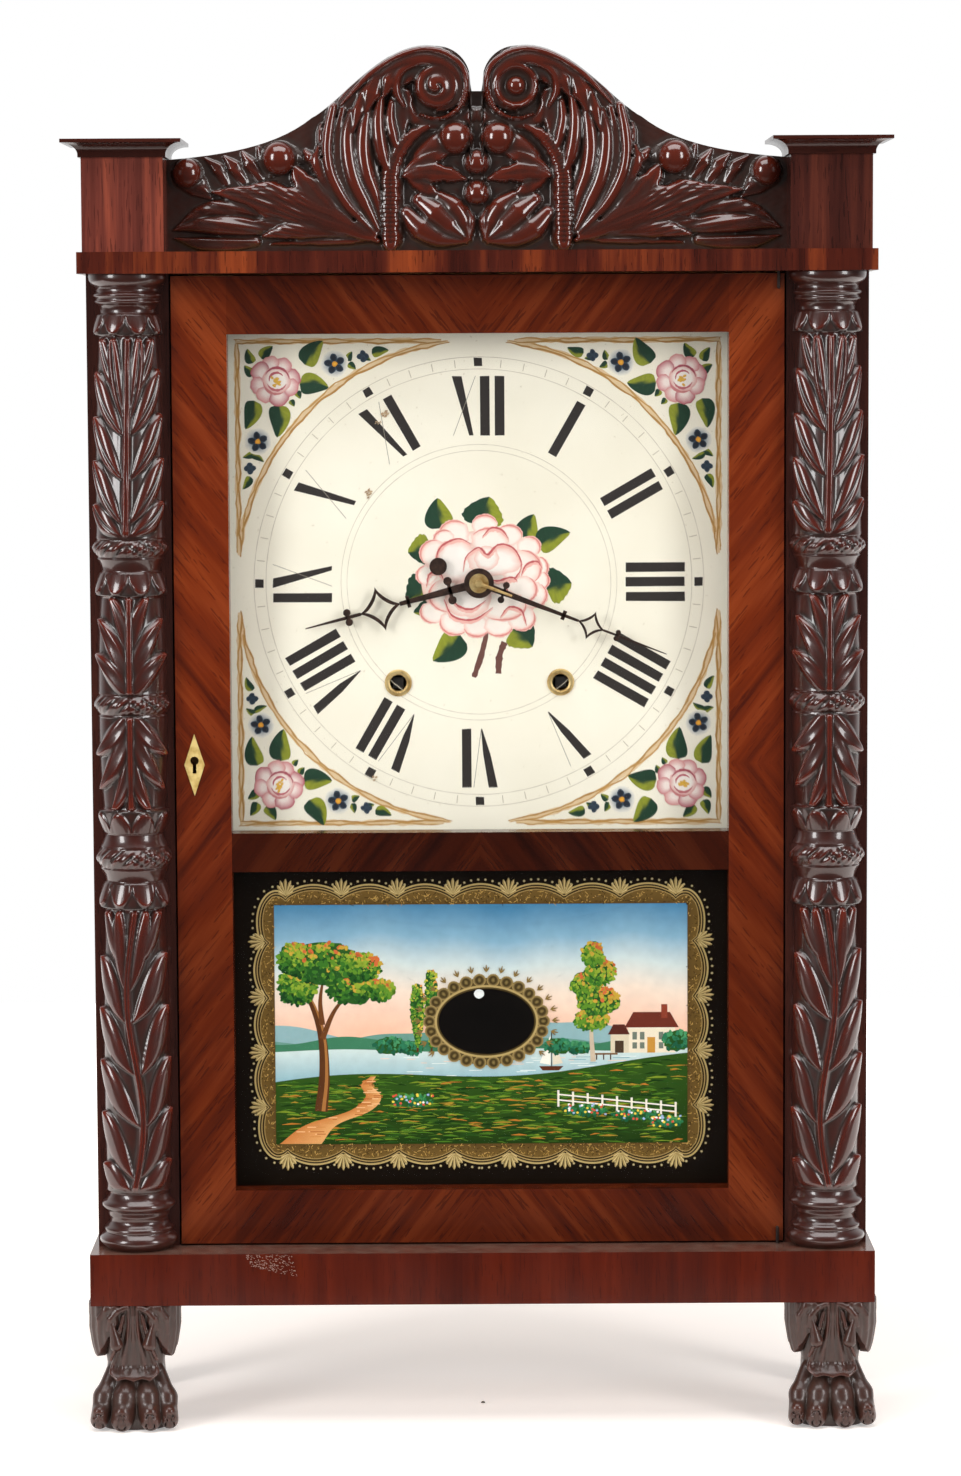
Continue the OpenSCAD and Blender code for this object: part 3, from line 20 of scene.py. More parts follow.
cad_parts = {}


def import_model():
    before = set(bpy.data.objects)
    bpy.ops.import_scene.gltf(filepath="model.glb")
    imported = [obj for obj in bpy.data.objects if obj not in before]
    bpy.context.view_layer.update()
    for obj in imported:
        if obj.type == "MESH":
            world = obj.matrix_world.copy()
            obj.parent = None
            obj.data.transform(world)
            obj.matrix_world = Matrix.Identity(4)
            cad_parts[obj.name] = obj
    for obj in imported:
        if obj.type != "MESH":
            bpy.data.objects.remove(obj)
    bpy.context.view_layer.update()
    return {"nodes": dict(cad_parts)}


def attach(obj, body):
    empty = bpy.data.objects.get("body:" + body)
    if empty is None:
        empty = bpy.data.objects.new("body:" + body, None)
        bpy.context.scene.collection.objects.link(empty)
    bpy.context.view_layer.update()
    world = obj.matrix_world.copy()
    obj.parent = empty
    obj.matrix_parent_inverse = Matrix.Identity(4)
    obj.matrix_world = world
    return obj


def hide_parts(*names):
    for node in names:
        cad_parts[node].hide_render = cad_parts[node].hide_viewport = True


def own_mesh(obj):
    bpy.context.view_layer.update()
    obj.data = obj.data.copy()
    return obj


log = logging.getLogger("shelf_clock")

MM = 0.001

# Height of the hands' arbor, and how far paint stands off its ground, in millimetres
ARBOR_Z = 478.0
PAINT_GAP = 0.012

Array = np.ndarray
Tree = bpy.types.NodeTree
Socket = bpy.types.NodeSocket
Shader = bpy.types.Node
Piece = bpy.types.Object
Place = Sequence[float]
Places = Sequence[Sequence[float]]


class Body(Enum):
    """The frame's bodies that new pieces ride on."""

    CASE = "case"
    DOOR = "door"
    MINUTE = "minute"
    HOUR = "hour"


# Colour and node helpers


def linear(hex_colour: str) -> tuple[float, float, float, float]:
    """Linear red, green, blue and full alpha of an sRGB hex colour with a leading hash."""
    parts = [int(hex_colour[i:i + 2], 16) / 255 for i in (1, 3, 5)]
    red, green, blue = (c / 12.92 if c <= 0.04045 else ((c + 0.055) / 1.055) ** 2.4 for c in parts)
    return red, green, blue, 1.0


def rgb(hex_colour: str) -> Array:
    """Linear red, green and blue of a hex colour, as an array."""
    return np.array(linear(hex_colour)[:3])


def add_node(tree: Tree, kind: str, settings: dict[object, object] | None = None,
             out: str | int = 0) -> Socket:
    """Adds one shader node with its settings and links.

    Args:
        tree: node tree to add to.
        kind: the node's type name without ShaderNode.
        settings: values by the name of a property or an input, or by an input's number. A
            socket is linked, a hex colour made linear, and "stops" lay out a colour ramp.
        out: name or number of the output wanted.

    Returns:
        That output's socket.
    """
    new = tree.nodes.new("ShaderNode" + kind)
    for name, value in (settings or {}).items():
        if name == "stops":
            elements = new.color_ramp.elements
            while len(elements) < len(value):
                elements.new(0.5)
            for element, (place, colour) in zip(elements, value):
                element.position, element.color = place, linear(colour)
        elif isinstance(name, str) and hasattr(new, name):
            setattr(new, name, value)
        elif isinstance(value, Socket):
            tree.links.new(value, new.inputs[name])
        else:
            new.inputs[name].default_value = linear(value) if isinstance(value, str) else value
    return new.outputs[out]


class Finish:
    """Base of the finishes: makes a material once and keeps it."""

    _made: dict[str, bpy.types.Material] = {}
    kind: ClassVar[str] = ""
    name: str

    def build(self, tree: Tree, shader: Shader) -> None:
        """Fills the node tree."""
        raise NotImplementedError

    @staticmethod
    def mottle(tree: Tree, scale: float, detail: float, **more: object) -> Socket:
        """Soft patches about 1000 / scale millimetres wide, fixed to the piece.

        Args:
            tree: the material's nodes.
            scale: patches to a metre.
            detail: how finely they break up.
            more: further settings of the noise.

        Returns:
            The noise's socket.
        """
        where = add_node(tree, "TexCoord", out="Object")
        return add_node(tree, "TexNoise", {"Scale": scale, "Detail": detail, "Vector": where,
                                           **more})

    @staticmethod
    def lay(tree: Tree, shader: Shader, colour: Socket | str,
            rough: tuple[Socket, float, float] | None = None,
            bump: tuple[Socket, float, float] | None = None, **fixed: object) -> None:
        """Joins a finish's patterns to its shader.

        Args:
            tree: the node tree.
            shader: its surface shader.
            colour: the colour's socket, or one hex colour.
            rough: a socket, with the roughness where it is 0 and where it is 1.
            bump: height's socket, strength and depth in metres.
            fixed: values of other inputs, with low lines for spaces.
        """
        if isinstance(colour, str):
            shader.inputs["Base Color"].default_value = linear(colour)
        else:
            tree.links.new(colour, shader.inputs["Base Color"])
        if rough:
            tree.links.new(add_node(tree, "MapRange", {"Value": rough[0], "To Min": rough[1],
                                                       "To Max": rough[2]}),
                           shader.inputs["Roughness"])
        if bump:
            tree.links.new(add_node(tree, "Bump", {"Height": bump[0], "Strength": bump[1],
                                                   "Distance": bump[2]}), shader.inputs["Normal"])
        for name, value in fixed.items():
            shader.inputs[name.replace("_", " ")].default_value = value

    def dress(self, obj: Piece) -> None:
        """Puts the material, made at its first use, on every slot of an object.

        Args:
            obj: the object.
        """
        name = self.kind + self.name
        if name not in Finish._made:
            made = Finish._made[name] = bpy.data.materials.new(name)
            made.use_nodes = True
            self.build(made.node_tree, made.node_tree.nodes["Principled BSDF"])
        slots = obj.data.materials
        if not slots:
            slots.append(Finish._made[name])
        for index in range(len(slots)):
            slots[index] = Finish._made[name]


class Grain(Enum):
    """Direction of a board's grain: turns about the axes that bring it upright."""

    UPRIGHT = (0.0, 0.0, 0.0)
    ACROSS = (0.0, 90.0, 0.0)
    SLANT = (0.0, -38.0, 0.0)

    def turned(self, tree: Tree, where: Socket) -> Socket:
        """Places turned so that the grain runs along Z."""
        turn = tuple(math.radians(a) for a in self.value)
        return add_node(tree, "Mapping", {"Vector": where, "Rotation": turn})


@dataclass(frozen=True)
class Veneer(Finish):
    """French-polished mahogany veneer: knife-cut leaf, glued and shellacked.

    The eye gets a deep red-brown with ribbons of darker figure, fine dark pores along
    the grain and a clear, fairly sharp gloss with a soft waviness. Tones darken parts of
    the face along an axis, by place and share.
    """

    kind: ClassVar[str] = "mahogany_veneer_"
    name: str
    grain: Grain = Grain.UPRIGHT
    seam_z: float | None = None
    light: str = "#8a3513"
    middle: str = "#5f1f0b"
    deep: str = "#340e06"
    ribbon_mm: float = 26.0
    gloss: float = 0.2
    tone_axis: int = 2
    tones: tuple[tuple[float, float], ...] = ()
    dusty: bool = False

    def build(self, tree: Tree, shader: Shader) -> None:
        """Ribbons and streaks are noise stretched along the grain, pores a finer one.

        Args:
            tree: the material's nodes.
            shader: its surface shader.
        """
        add = partial(add_node, tree)
        where = folded = add("TexCoord", out="Object")
        if self.seam_z is not None:
            # Leaves are book-matched about the middle and about a level seam
            x, y, z = (add("SeparateXYZ", {0: where}, out) for out in range(3))
            x = add("Math", {"operation": "ABSOLUTE", 0: x})
            z = add("Math", {"operation": "SUBTRACT", 0: z, 1: self.seam_z * MM})
            z = add("Math", {"operation": "ABSOLUTE", 0: z})
            folded = add("CombineXYZ", {0: x, 1: y, 2: z})
        along = self.grain.turned(tree, folded)

        def streaks(width_mm: float, length_mm: float, detail: float) -> Socket:
            """Noise that is width_mm wide across the grain and length_mm long.

            Args:
                width_mm, length_mm: size of a streak across and along the grain.
                detail: how finely it breaks up.

            Returns:
                The noise's socket.
            """
            scaled = add("Mapping", {
                "Vector": along, "Scale": (1000 / width_mm, 1000 / width_mm, 1000 / length_mm)})
            return add("TexNoise", {"Vector": scaled, "Scale": 1.0, "Detail": detail,
                                    "Roughness": 0.55, "Distortion": 0.35})

        pore = streaks(1.1, 14.0, 1.0)
        streak, ribbon = streaks(5.0, 150.0, 4.0), streaks(self.ribbon_mm, 260.0, 3.0)
        blend = add("Math", {"operation": "MULTIPLY", 0: streak, 1: 0.38})
        blend = add("Math", {"operation": "MULTIPLY_ADD", 0: ribbon, 1: 0.62, 2: blend})
        figure = add("ValToRGB", {"Fac": blend, "stops": (
            (0.32, self.deep), (0.5, self.middle), (0.68, self.light))})
        pores = add("Math", {"operation": "LESS_THAN", 0: pore, 1: 0.36})
        shade = add("Math", {"operation": "MULTIPLY", 0: pores, 1: 0.55})
        colour = add("Mix", {"data_type": "RGBA", 0: shade, 6: figure, 7: self.deep}, 2)
        if self.tones:
            # Parts of the face are darker along one axis; on the plinth blocks this is painted
            # shade on the right-hand block
            low, high = self.tones[0][0], self.tones[-1][0]
            place = add("SeparateXYZ", {0: where}, self.tone_axis)
            share = add("MapRange", {"Value": place, "From Min": low * MM, "From Max": high * MM})
            greys = [((at - low) / (high - low), "#" + f"{round(255 * tone ** 0.4545):02x}" * 3)
                     for at, tone in self.tones]
            tone = add("ValToRGB", {"Fac": share, "stops": greys})
            colour = add("Mix", {"data_type": "RGBA", "blend_type": "MULTIPLY", 0: 1.0, 6: colour,
                                 7: tone}, 2)
        if self.dusty:
            normal = add("NewGeometry", out="Normal")
            up = add("SeparateXYZ", {0: normal}, 2)
            lies = add("Math", {"operation": "GREATER_THAN", 0: up, 1: 0.8})
            share = add("Math", {"operation": "MULTIPLY", 0: lies,
                                 1: self.mottle(tree, 110.0, 4.0)})
            share = add("Math", {"operation": "MULTIPLY", 0: share, 1: 0.6})
            colour = add("Mix", {"data_type": "RGBA", 0: share, 6: colour, 7: "#8f7a6c"}, 2)
        self.lay(tree, shader, colour, (self.mottle(tree, 30.0, 3.0), self.gloss - 0.06,
                                        self.gloss + 0.1),
                 (pore, 0.12, 0.0003), IOR=1.5, Coat_Weight=0.15, Coat_Roughness=0.08)


@dataclass(frozen=True)
class Carving(Finish):
    """Carved solid mahogany under old shellac: hand cut, stained dark and polished.

    The eye gets red-brown where hands and dusters have worn the high places, and bright
    narrow highlights on every ridge. With the default colours, used on the columns, the
    hollows are darker than the body: painted shade in the recesses. The crest and paws
    have grey-brown dust in the hollows instead. The attribute is 0 in the hollows and 1 on
    the ridges: wear on the ridges and, on the columns, painted shade in the hollows.
    """

    kind: ClassVar[str] = "carved_mahogany_"
    name: str
    # Defaults, used on the columns: the hollow colour is darker than the body, painted shade in the
    # recesses
    hollow: str = "#291a15"
    body: str = "#451810"
    rubbed: str = "#662213"
    gloss: float = 0.19
    coat: float = 0.9

    def build(self, tree: Tree, shader: Shader) -> None:
        """Colour follows the attribute from hollows to ridges, broken up by soft noise.

        Args:
            tree: the material's nodes.
            shader: its surface shader.
        """
        add = partial(add_node, tree)
        patch = self.mottle(tree, 90.0, 4.0)
        shift = add("Math", {"operation": "MULTIPLY_ADD", 0: patch, 1: 0.5, 2: -0.25})
        rubbed = add("Attribute", {"attribute_name": "rubbed"}, "Fac")
        share = add("Math", {"operation": "ADD", 0: rubbed, 1: shift})
        colour = add("ValToRGB", {"Fac": share, "stops": (
            (0.0, self.hollow), (0.5, self.body), (1.0, self.rubbed))})
        self.lay(tree, shader, colour, (share, self.gloss + 0.2, self.gloss - 0.02),
                 (patch, 0.05, 0.0003), IOR=1.5, Coat_Weight=self.coat, Coat_Roughness=0.08)


@dataclass(frozen=True)
class BareWood(Finish):
    """Plain sawn or turned wood without polish: pine, oak or cherry.

    The eye gets straight grain lines a few millimetres apart and a dry, matt surface. A
    drum's winding square, let in from the front, is iron before a depth.
    """

    kind: ClassVar[str] = "bare_"
    name: str
    light: str
    dark: str
    grain: Grain = Grain.UPRIGHT
    line_mm: float = 3.0
    iron_before: float | None = None

    def build(self, tree: Tree, shader: Shader) -> None:
        """Grain lines are noise, narrow across the grain and long along it.

        Args:
            tree: the material's nodes.
            shader: its surface shader.
        """
        add = partial(add_node, tree)
        where = add("TexCoord", out="Object")
        across = 1000 / self.line_mm
        scaled = add("Mapping", {"Vector": self.grain.turned(tree, where),
                                 "Scale": (across, across, 9.0)})
        lines = add("TexNoise", {"Vector": scaled, "Scale": 1.0, "Detail": 5.0, "Roughness": 0.6,
                                 "Distortion": 0.2})
        colour = add("ValToRGB", {"Fac": lines, "stops": ((0.35, self.dark), (0.62, self.light))})
        if self.iron_before is not None:
            depth = add("SeparateXYZ", {0: where}, 1)
            iron = add("Math", {"operation": "LESS_THAN", 0: depth, 1: self.iron_before * MM})
            colour = add("Mix", {"data_type": "RGBA", 0: iron, 6: colour, 7: "#140f0c"}, 2)
        self.lay(tree, shader, colour, (lines, 0.5, 0.72), (lines, 0.2, 0.0003))


@dataclass(frozen=True)
class Metal(Finish):
    """Brass, steel wire or iron, named with how it was made.

    The eye gets the metal's own tint, darker patches of tarnish and a gloss that is
    broken where the tarnish lies.
    """

    kind: ClassVar[str] = "metal_"
    name: str
    clean: str
    tarnished: str
    roughness: float = 0.3
    metallic: float = 1.0
    patch_mm: float = 4.0

    def build(self, tree: Tree, shader: Shader) -> None:
        """Tarnish is noise at the patch size.

        Args:
            tree: the material's nodes.
            shader: its surface shader.
        """
        patch = self.mottle(tree, 1000 / self.patch_mm, 5.0, Roughness=0.6)
        colour = add_node(tree, "ValToRGB", {"Fac": patch, "stops": ((0.35, self.tarnished),
                                                                     (0.6, self.clean))})
        self.lay(tree, shader, colour, (patch, self.roughness + 0.2, self.roughness - 0.05),
                 (patch, 0.1, 0.0002), Metallic=self.metallic)


@dataclass(frozen=True)
class OldGlass(Finish):
    """Old cylinder glass: blown, flattened and cut, so it is faintly wavy.

    The eye gets a clear pane with weak reflections that bend a little.
    """

    kind: ClassVar[str] = "old_glass_"
    name: str = "pane"
    cover: float = 0.1

    def build(self, tree: Tree, shader: Shader) -> None:
        """Waves are a wide, shallow bump.

        Args:
            tree: the material's nodes.
            shader: its surface shader.
        """
        self.lay(tree, shader, "#ffffff", None, (self.mottle(tree, 14.0, 1.0), 0.05, 0.001),
                 Roughness=0.02, IOR=1.5, Transmission_Weight=1.0, Alpha=self.cover)


@dataclass(frozen=True)
class Paint(Finish):
    """Oil paint or gold size laid by brush: takes its colour from the attribute "paint".

    The eye gets flat colours with a faint mottle of age and a low sheen.
    """

    kind: ClassVar[str] = "paint_"
    name: str
    roughness: float = 0.5
    coat: float = 0.0
    mottled: float = 0.12
    sheen: float = 0.5

    def build(self, tree: Tree, shader: Shader) -> None:
        """The attribute's colour, darkened a little by noise.

        Args:
            tree: the material's nodes.
            shader: its surface shader.
        """
        add = partial(add_node, tree)
        age = self.mottle(tree, 160.0, 5.0)
        shade = add("MapRange", {"Value": age, "To Min": 1.0 - self.mottled,
                                 "To Max": 1.0 + self.mottled / 2})
        colour = add("Mix", {
            "data_type": "RGBA", "blend_type": "MULTIPLY", 0: 1.0,
            6: add("Attribute", {"attribute_name": "paint"}, "Color"),
            7: add("CombineColor", {0: shade, 1: shade, 2: shade})}, 2)
        self.lay(tree, shader, colour, (age, self.roughness - 0.06, self.roughness + 0.06),
                 Coat_Weight=self.coat, Coat_Roughness=0.05, Specular_IOR_Level=self.sheen)


@dataclass(frozen=True)
class DialGround(Finish):
    """Ivory oil ground on the wooden dial, rubbed smooth and yellowed.

    The eye gets a warm off-white, yellower patches, faint cracks and a dull sheen.
    """

    name: str = "dial_ground"

    def build(self, tree: Tree, shader: Shader) -> None:
        """Patches are wide noise, specks a fine one.

        Args:
            tree: the material's nodes.
            shader: its surface shader.
        """
        add = partial(add_node, tree)
        wide, speck = self.mottle(tree, 14.0, 4.0), self.mottle(tree, 420.0, 2.0)
        ground = add("ValToRGB", {"Fac": wide, "stops": ((0.3, "#ede7d2"), (0.7, "#f6f1de"))})
        spots = add("Math", {"operation": "GREATER_THAN", 0: speck, 1: 0.7})
        spots = add("Math", {"operation": "MULTIPLY", 0: spots, 1: 0.35})
        colour = add("Mix", {"data_type": "RGBA", 0: spots, 6: ground, 7: "#b9ac8c"}, 2)
        self.lay(tree, shader, colour, (wide, 0.42, 0.56), (speck, 0.06, 0.0002))


@dataclass(frozen=True)
class Linen(Finish):
    """Twisted linen cord: spun flax, unbleached.

    The eye gets a dull straw colour with dark turns of the twist about 2 mm apart.
    """

    name: str = "linen_cord"

    def build(self, tree: Tree, shader: Shader) -> None:
        """Twist lines are bands along the piece's own UV map, in turns.

        Args:
            tree: the material's nodes.
            shader: its surface shader.
        """
        add = partial(add_node, tree)
        bands = add("TexWave", {
            "Scale": 1.0, "Distortion": 0.6, "bands_direction": "DIAGONAL",
            "Vector": add("UVMap", {"uv_map": "along"})}, "Fac")
        colour = add("ValToRGB", {"Fac": bands, "stops": ((0.2, "#7d6b49"), (0.8, "#cdbd94"))})
        self.lay(tree, shader, colour, None, (bands, 0.6, 0.0003), Roughness=0.85)


@dataclass(frozen=True)
class Bone(Finish):
    """Sawn and polished bone: a pale yellow with darker patches of dirt."""

    name: str = "bone"

    def build(self, tree: Tree, shader: Shader) -> None:
        """Yellow and tan patches along the length."""
        colour = add_node(tree, "ValToRGB", {"Fac": self.mottle(tree, 220.0, 4.0), "stops": (
            (0.3, "#b28f45"), (0.6, "#dcc27c"))})
        self.lay(tree, shader, colour, Roughness=0.32, Coat_Weight=0.2)


# Mesh helpers


def to_mesh(name: str, points: Array, faces: Array | Sequence[Sequence[int]],
            smooth: bool = True) -> Piece:
    """Makes an object from points in millimetres and faces.

    Args:
        name: the piece's name.
        points: array of n points.
        faces: corner numbers of each face.
        smooth: whether the faces are shaded smooth.

    Returns:
        The linked object, at the origin.
    """
    mesh = bpy.data.meshes.new(name)
    faces = faces.tolist() if isinstance(faces, np.ndarray) else faces
    mesh.from_pydata((np.asarray(points, float) * MM).tolist(), [], faces)
    mesh.update()
    if smooth:
        mesh.shade_smooth()
    made = bpy.data.objects.new(name, mesh)
    bpy.context.scene.collection.objects.link(made)
    return made


def grid_faces(rows: int, columns: int, wrap: bool = False, start: int = 0) -> Array:
    """Corner numbers of the quads of a grid, row by row.

    Args:
        rows: points down.
        columns: points across.
        wrap: whether the last column joins the first.
        start: number of the grid's first point.

    Returns:
        An array of quads.
    """
    down = np.arange(rows - 1)[:, None] * columns
    across = np.arange(columns if wrap else columns - 1)[None, :]
    right = (across + 1) % columns
    quads = np.stack([down + across, down + right, down + columns + right, down + columns + across],
                     axis=-1)
    return quads.reshape(-1, 4) + start


def grid_triangles(rows: int, columns: int) -> Array:
    """Triangles between the points of a grid."""
    quads = grid_faces(rows, columns)
    return np.vstack([quads[:, :3], quads[:, [0, 2, 3]]])


def point_values(obj: Piece, name: str, values: Array) -> None:
    """Stores one number per point as a float attribute.

    Args:
        obj: the object.
        name: the attribute's name.
        values: one number per point.
    """
    layer = obj.data.attributes.new(name, "FLOAT", "POINT")
    layer.data.foreach_set("value", np.clip(values, 0, 1).astype(np.float32).ravel())


def point_colours(obj: Piece, colours: Array) -> None:
    """Stores one linear colour per point as the attribute "paint".

    Args:
        obj: the object.
        colours: array of n by 3.
    """
    layer = obj.data.color_attributes.new("paint", "FLOAT_COLOR", "POINT")
    full = np.concatenate([colours, np.ones((len(colours), 1))], axis=1)
    layer.data.foreach_set("color", full.astype(np.float32).ravel())


def outward(obj: Piece) -> None:
    """Turns every face of a closed mesh outwards.

    Args:
        obj: the object, whose doubles are merged first.
    """
    work = bmesh.new()
    work.from_mesh(obj.data)
    bmesh.ops.remove_doubles(work, verts=work.verts, dist=1e-6)
    bmesh.ops.recalc_face_normals(work, faces=work.faces)
    work.to_mesh(obj.data)
    work.free()


def hand_over(made: Piece, finish: Finish, body: Body, replaced: str = "") -> Piece:
    """Dresses a piece, puts it under the empty of the body that it rides on, and hides the node
    that it replaces.

    Args:
        made: the piece.
        finish: its material.
        body: the body that it rides on.
        replaced: the node whose solid it replaces, if any.

    Returns:
        The same piece.
    """
    finish.dress(made)
    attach(made, body.value)
    if replaced:
        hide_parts(replaced)
    log.info("%s: %d points", made.name, len(made.data.vertices))
    return made


def way(angle: Array | float) -> Array:
    """Unit steps across and up at angles from across, in radians."""
    return np.stack([np.cos(angle), np.sin(angle)], axis=-1)


def smooth_max(a: Array, b: Array, k: float) -> Array:
    """Larger of two heights, blended over k millimetres with a quadratic."""
    h = np.clip(0.5 + 0.5 * (a - b) / k, 0, 1)
    return b + (a - b) * h + k * h * (1 - h)


def smooth_step(value: Array, low: float, high: float) -> Array:
    """Rises from 0 at low to 1 at high, along 3t2 - 2t3."""
    t = np.clip((value - low) / (high - low), 0, 1)
    return t * t * (3 - 2 * t)


def bezier(a: Place, b: Place, c: Place, d: Place, count: int) -> Array:
    """Points on a cubic curve from a to d with handles b and c.

    Args:
        a: first point.
        b: first handle.
        c: second handle.
        d: last point.
        count: number of points.

    Returns:
        Array of count points.
    """
    t = np.linspace(0, 1, count)[:, None]
    s = 1 - t
    a, b, c, d = (np.asarray(p, float) for p in (a, b, c, d))
    return s ** 3 * a + 3 * s * s * t * b + 3 * s * t * t * c + t ** 3 * d


def leaf_height(s: Array, z: Array, base: Place, tip: Place, width: float,
                height: float, bow: float = 0.0, groove: float = 0.25,
                ribs: int = 0, fullest: float = 0.8, blunt: float = 0.6) -> Array:
    """Height of one carved leaf over a flat ground.

    The leaf runs from base to tip along a parabola that is bow to one side. Its half
    width is width times the root of the sine of its length, fullest past the middle. Its
    section is a rounded ridge with a hollow along the middle, and fine ribs if asked.

    Args:
        s: places across, in millimetres.
        z: places up.
        base: foot of the leaf.
        tip: its point.
        width: half of its greatest width.
        height: height of the ridge.
        bow: sideways bow of the middle line.
        groove: depth of the middle hollow, as a share of the height.
        ribs: number of fine ribs on each side.
        fullest: power of the length in the sine: more puts the fullest place nearer the tip.
        blunt: power of the sine: less makes the ends blunter.

    Returns:
        Heights, 0 outside the leaf.
    """
    run = np.array(tip, float) - np.array(base, float)
    length = np.hypot(*run)
    along, side = run / length, np.array([run[1], -run[0]]) / length
    t = ((s - base[0]) * along[0] + (z - base[1]) * along[1]) / length
    off = (s - base[0]) * side[0] + (z - base[1]) * side[1]
    tt = np.clip(t, 0, 1)
    off = off - bow * 4 * tt * (1 - tt)
    half = width * np.sin(np.pi * tt ** fullest) ** blunt + 1e-6
    q = np.clip(np.abs(off) / half, 0, 1)
    section = np.sqrt(np.clip(1 - q ** 2.4, 0, 1)) - groove * np.exp(-(q / 0.16) ** 2)
    if ribs:
        section = section + 0.07 * np.cos(q * np.pi * 2 * ribs) * (1 - q)
    inside = (t > 0) & (t < 1) & (np.abs(off) < half)
    return np.where(inside, height * (0.45 + 0.55 * tt) * np.clip(section, 0, 2), 0.0)


def wear_and_shade_share(height: Array, spread: int = 5) -> Array:
    """Share of each place of a height grid, 0 in hollows and 1 on ridges: wear and painted shade.

    Args:
        height: grid of heights.
        spread: half width of the neighbourhood whose mean is taken off, in grid steps.

    Returns:
        A grid of numbers from 0 to 1.
    """
    return np.clip(0.3 + (height - box_mean(height, spread)) * 0.6 + 0.03 * height, 0, 1)


# Studio


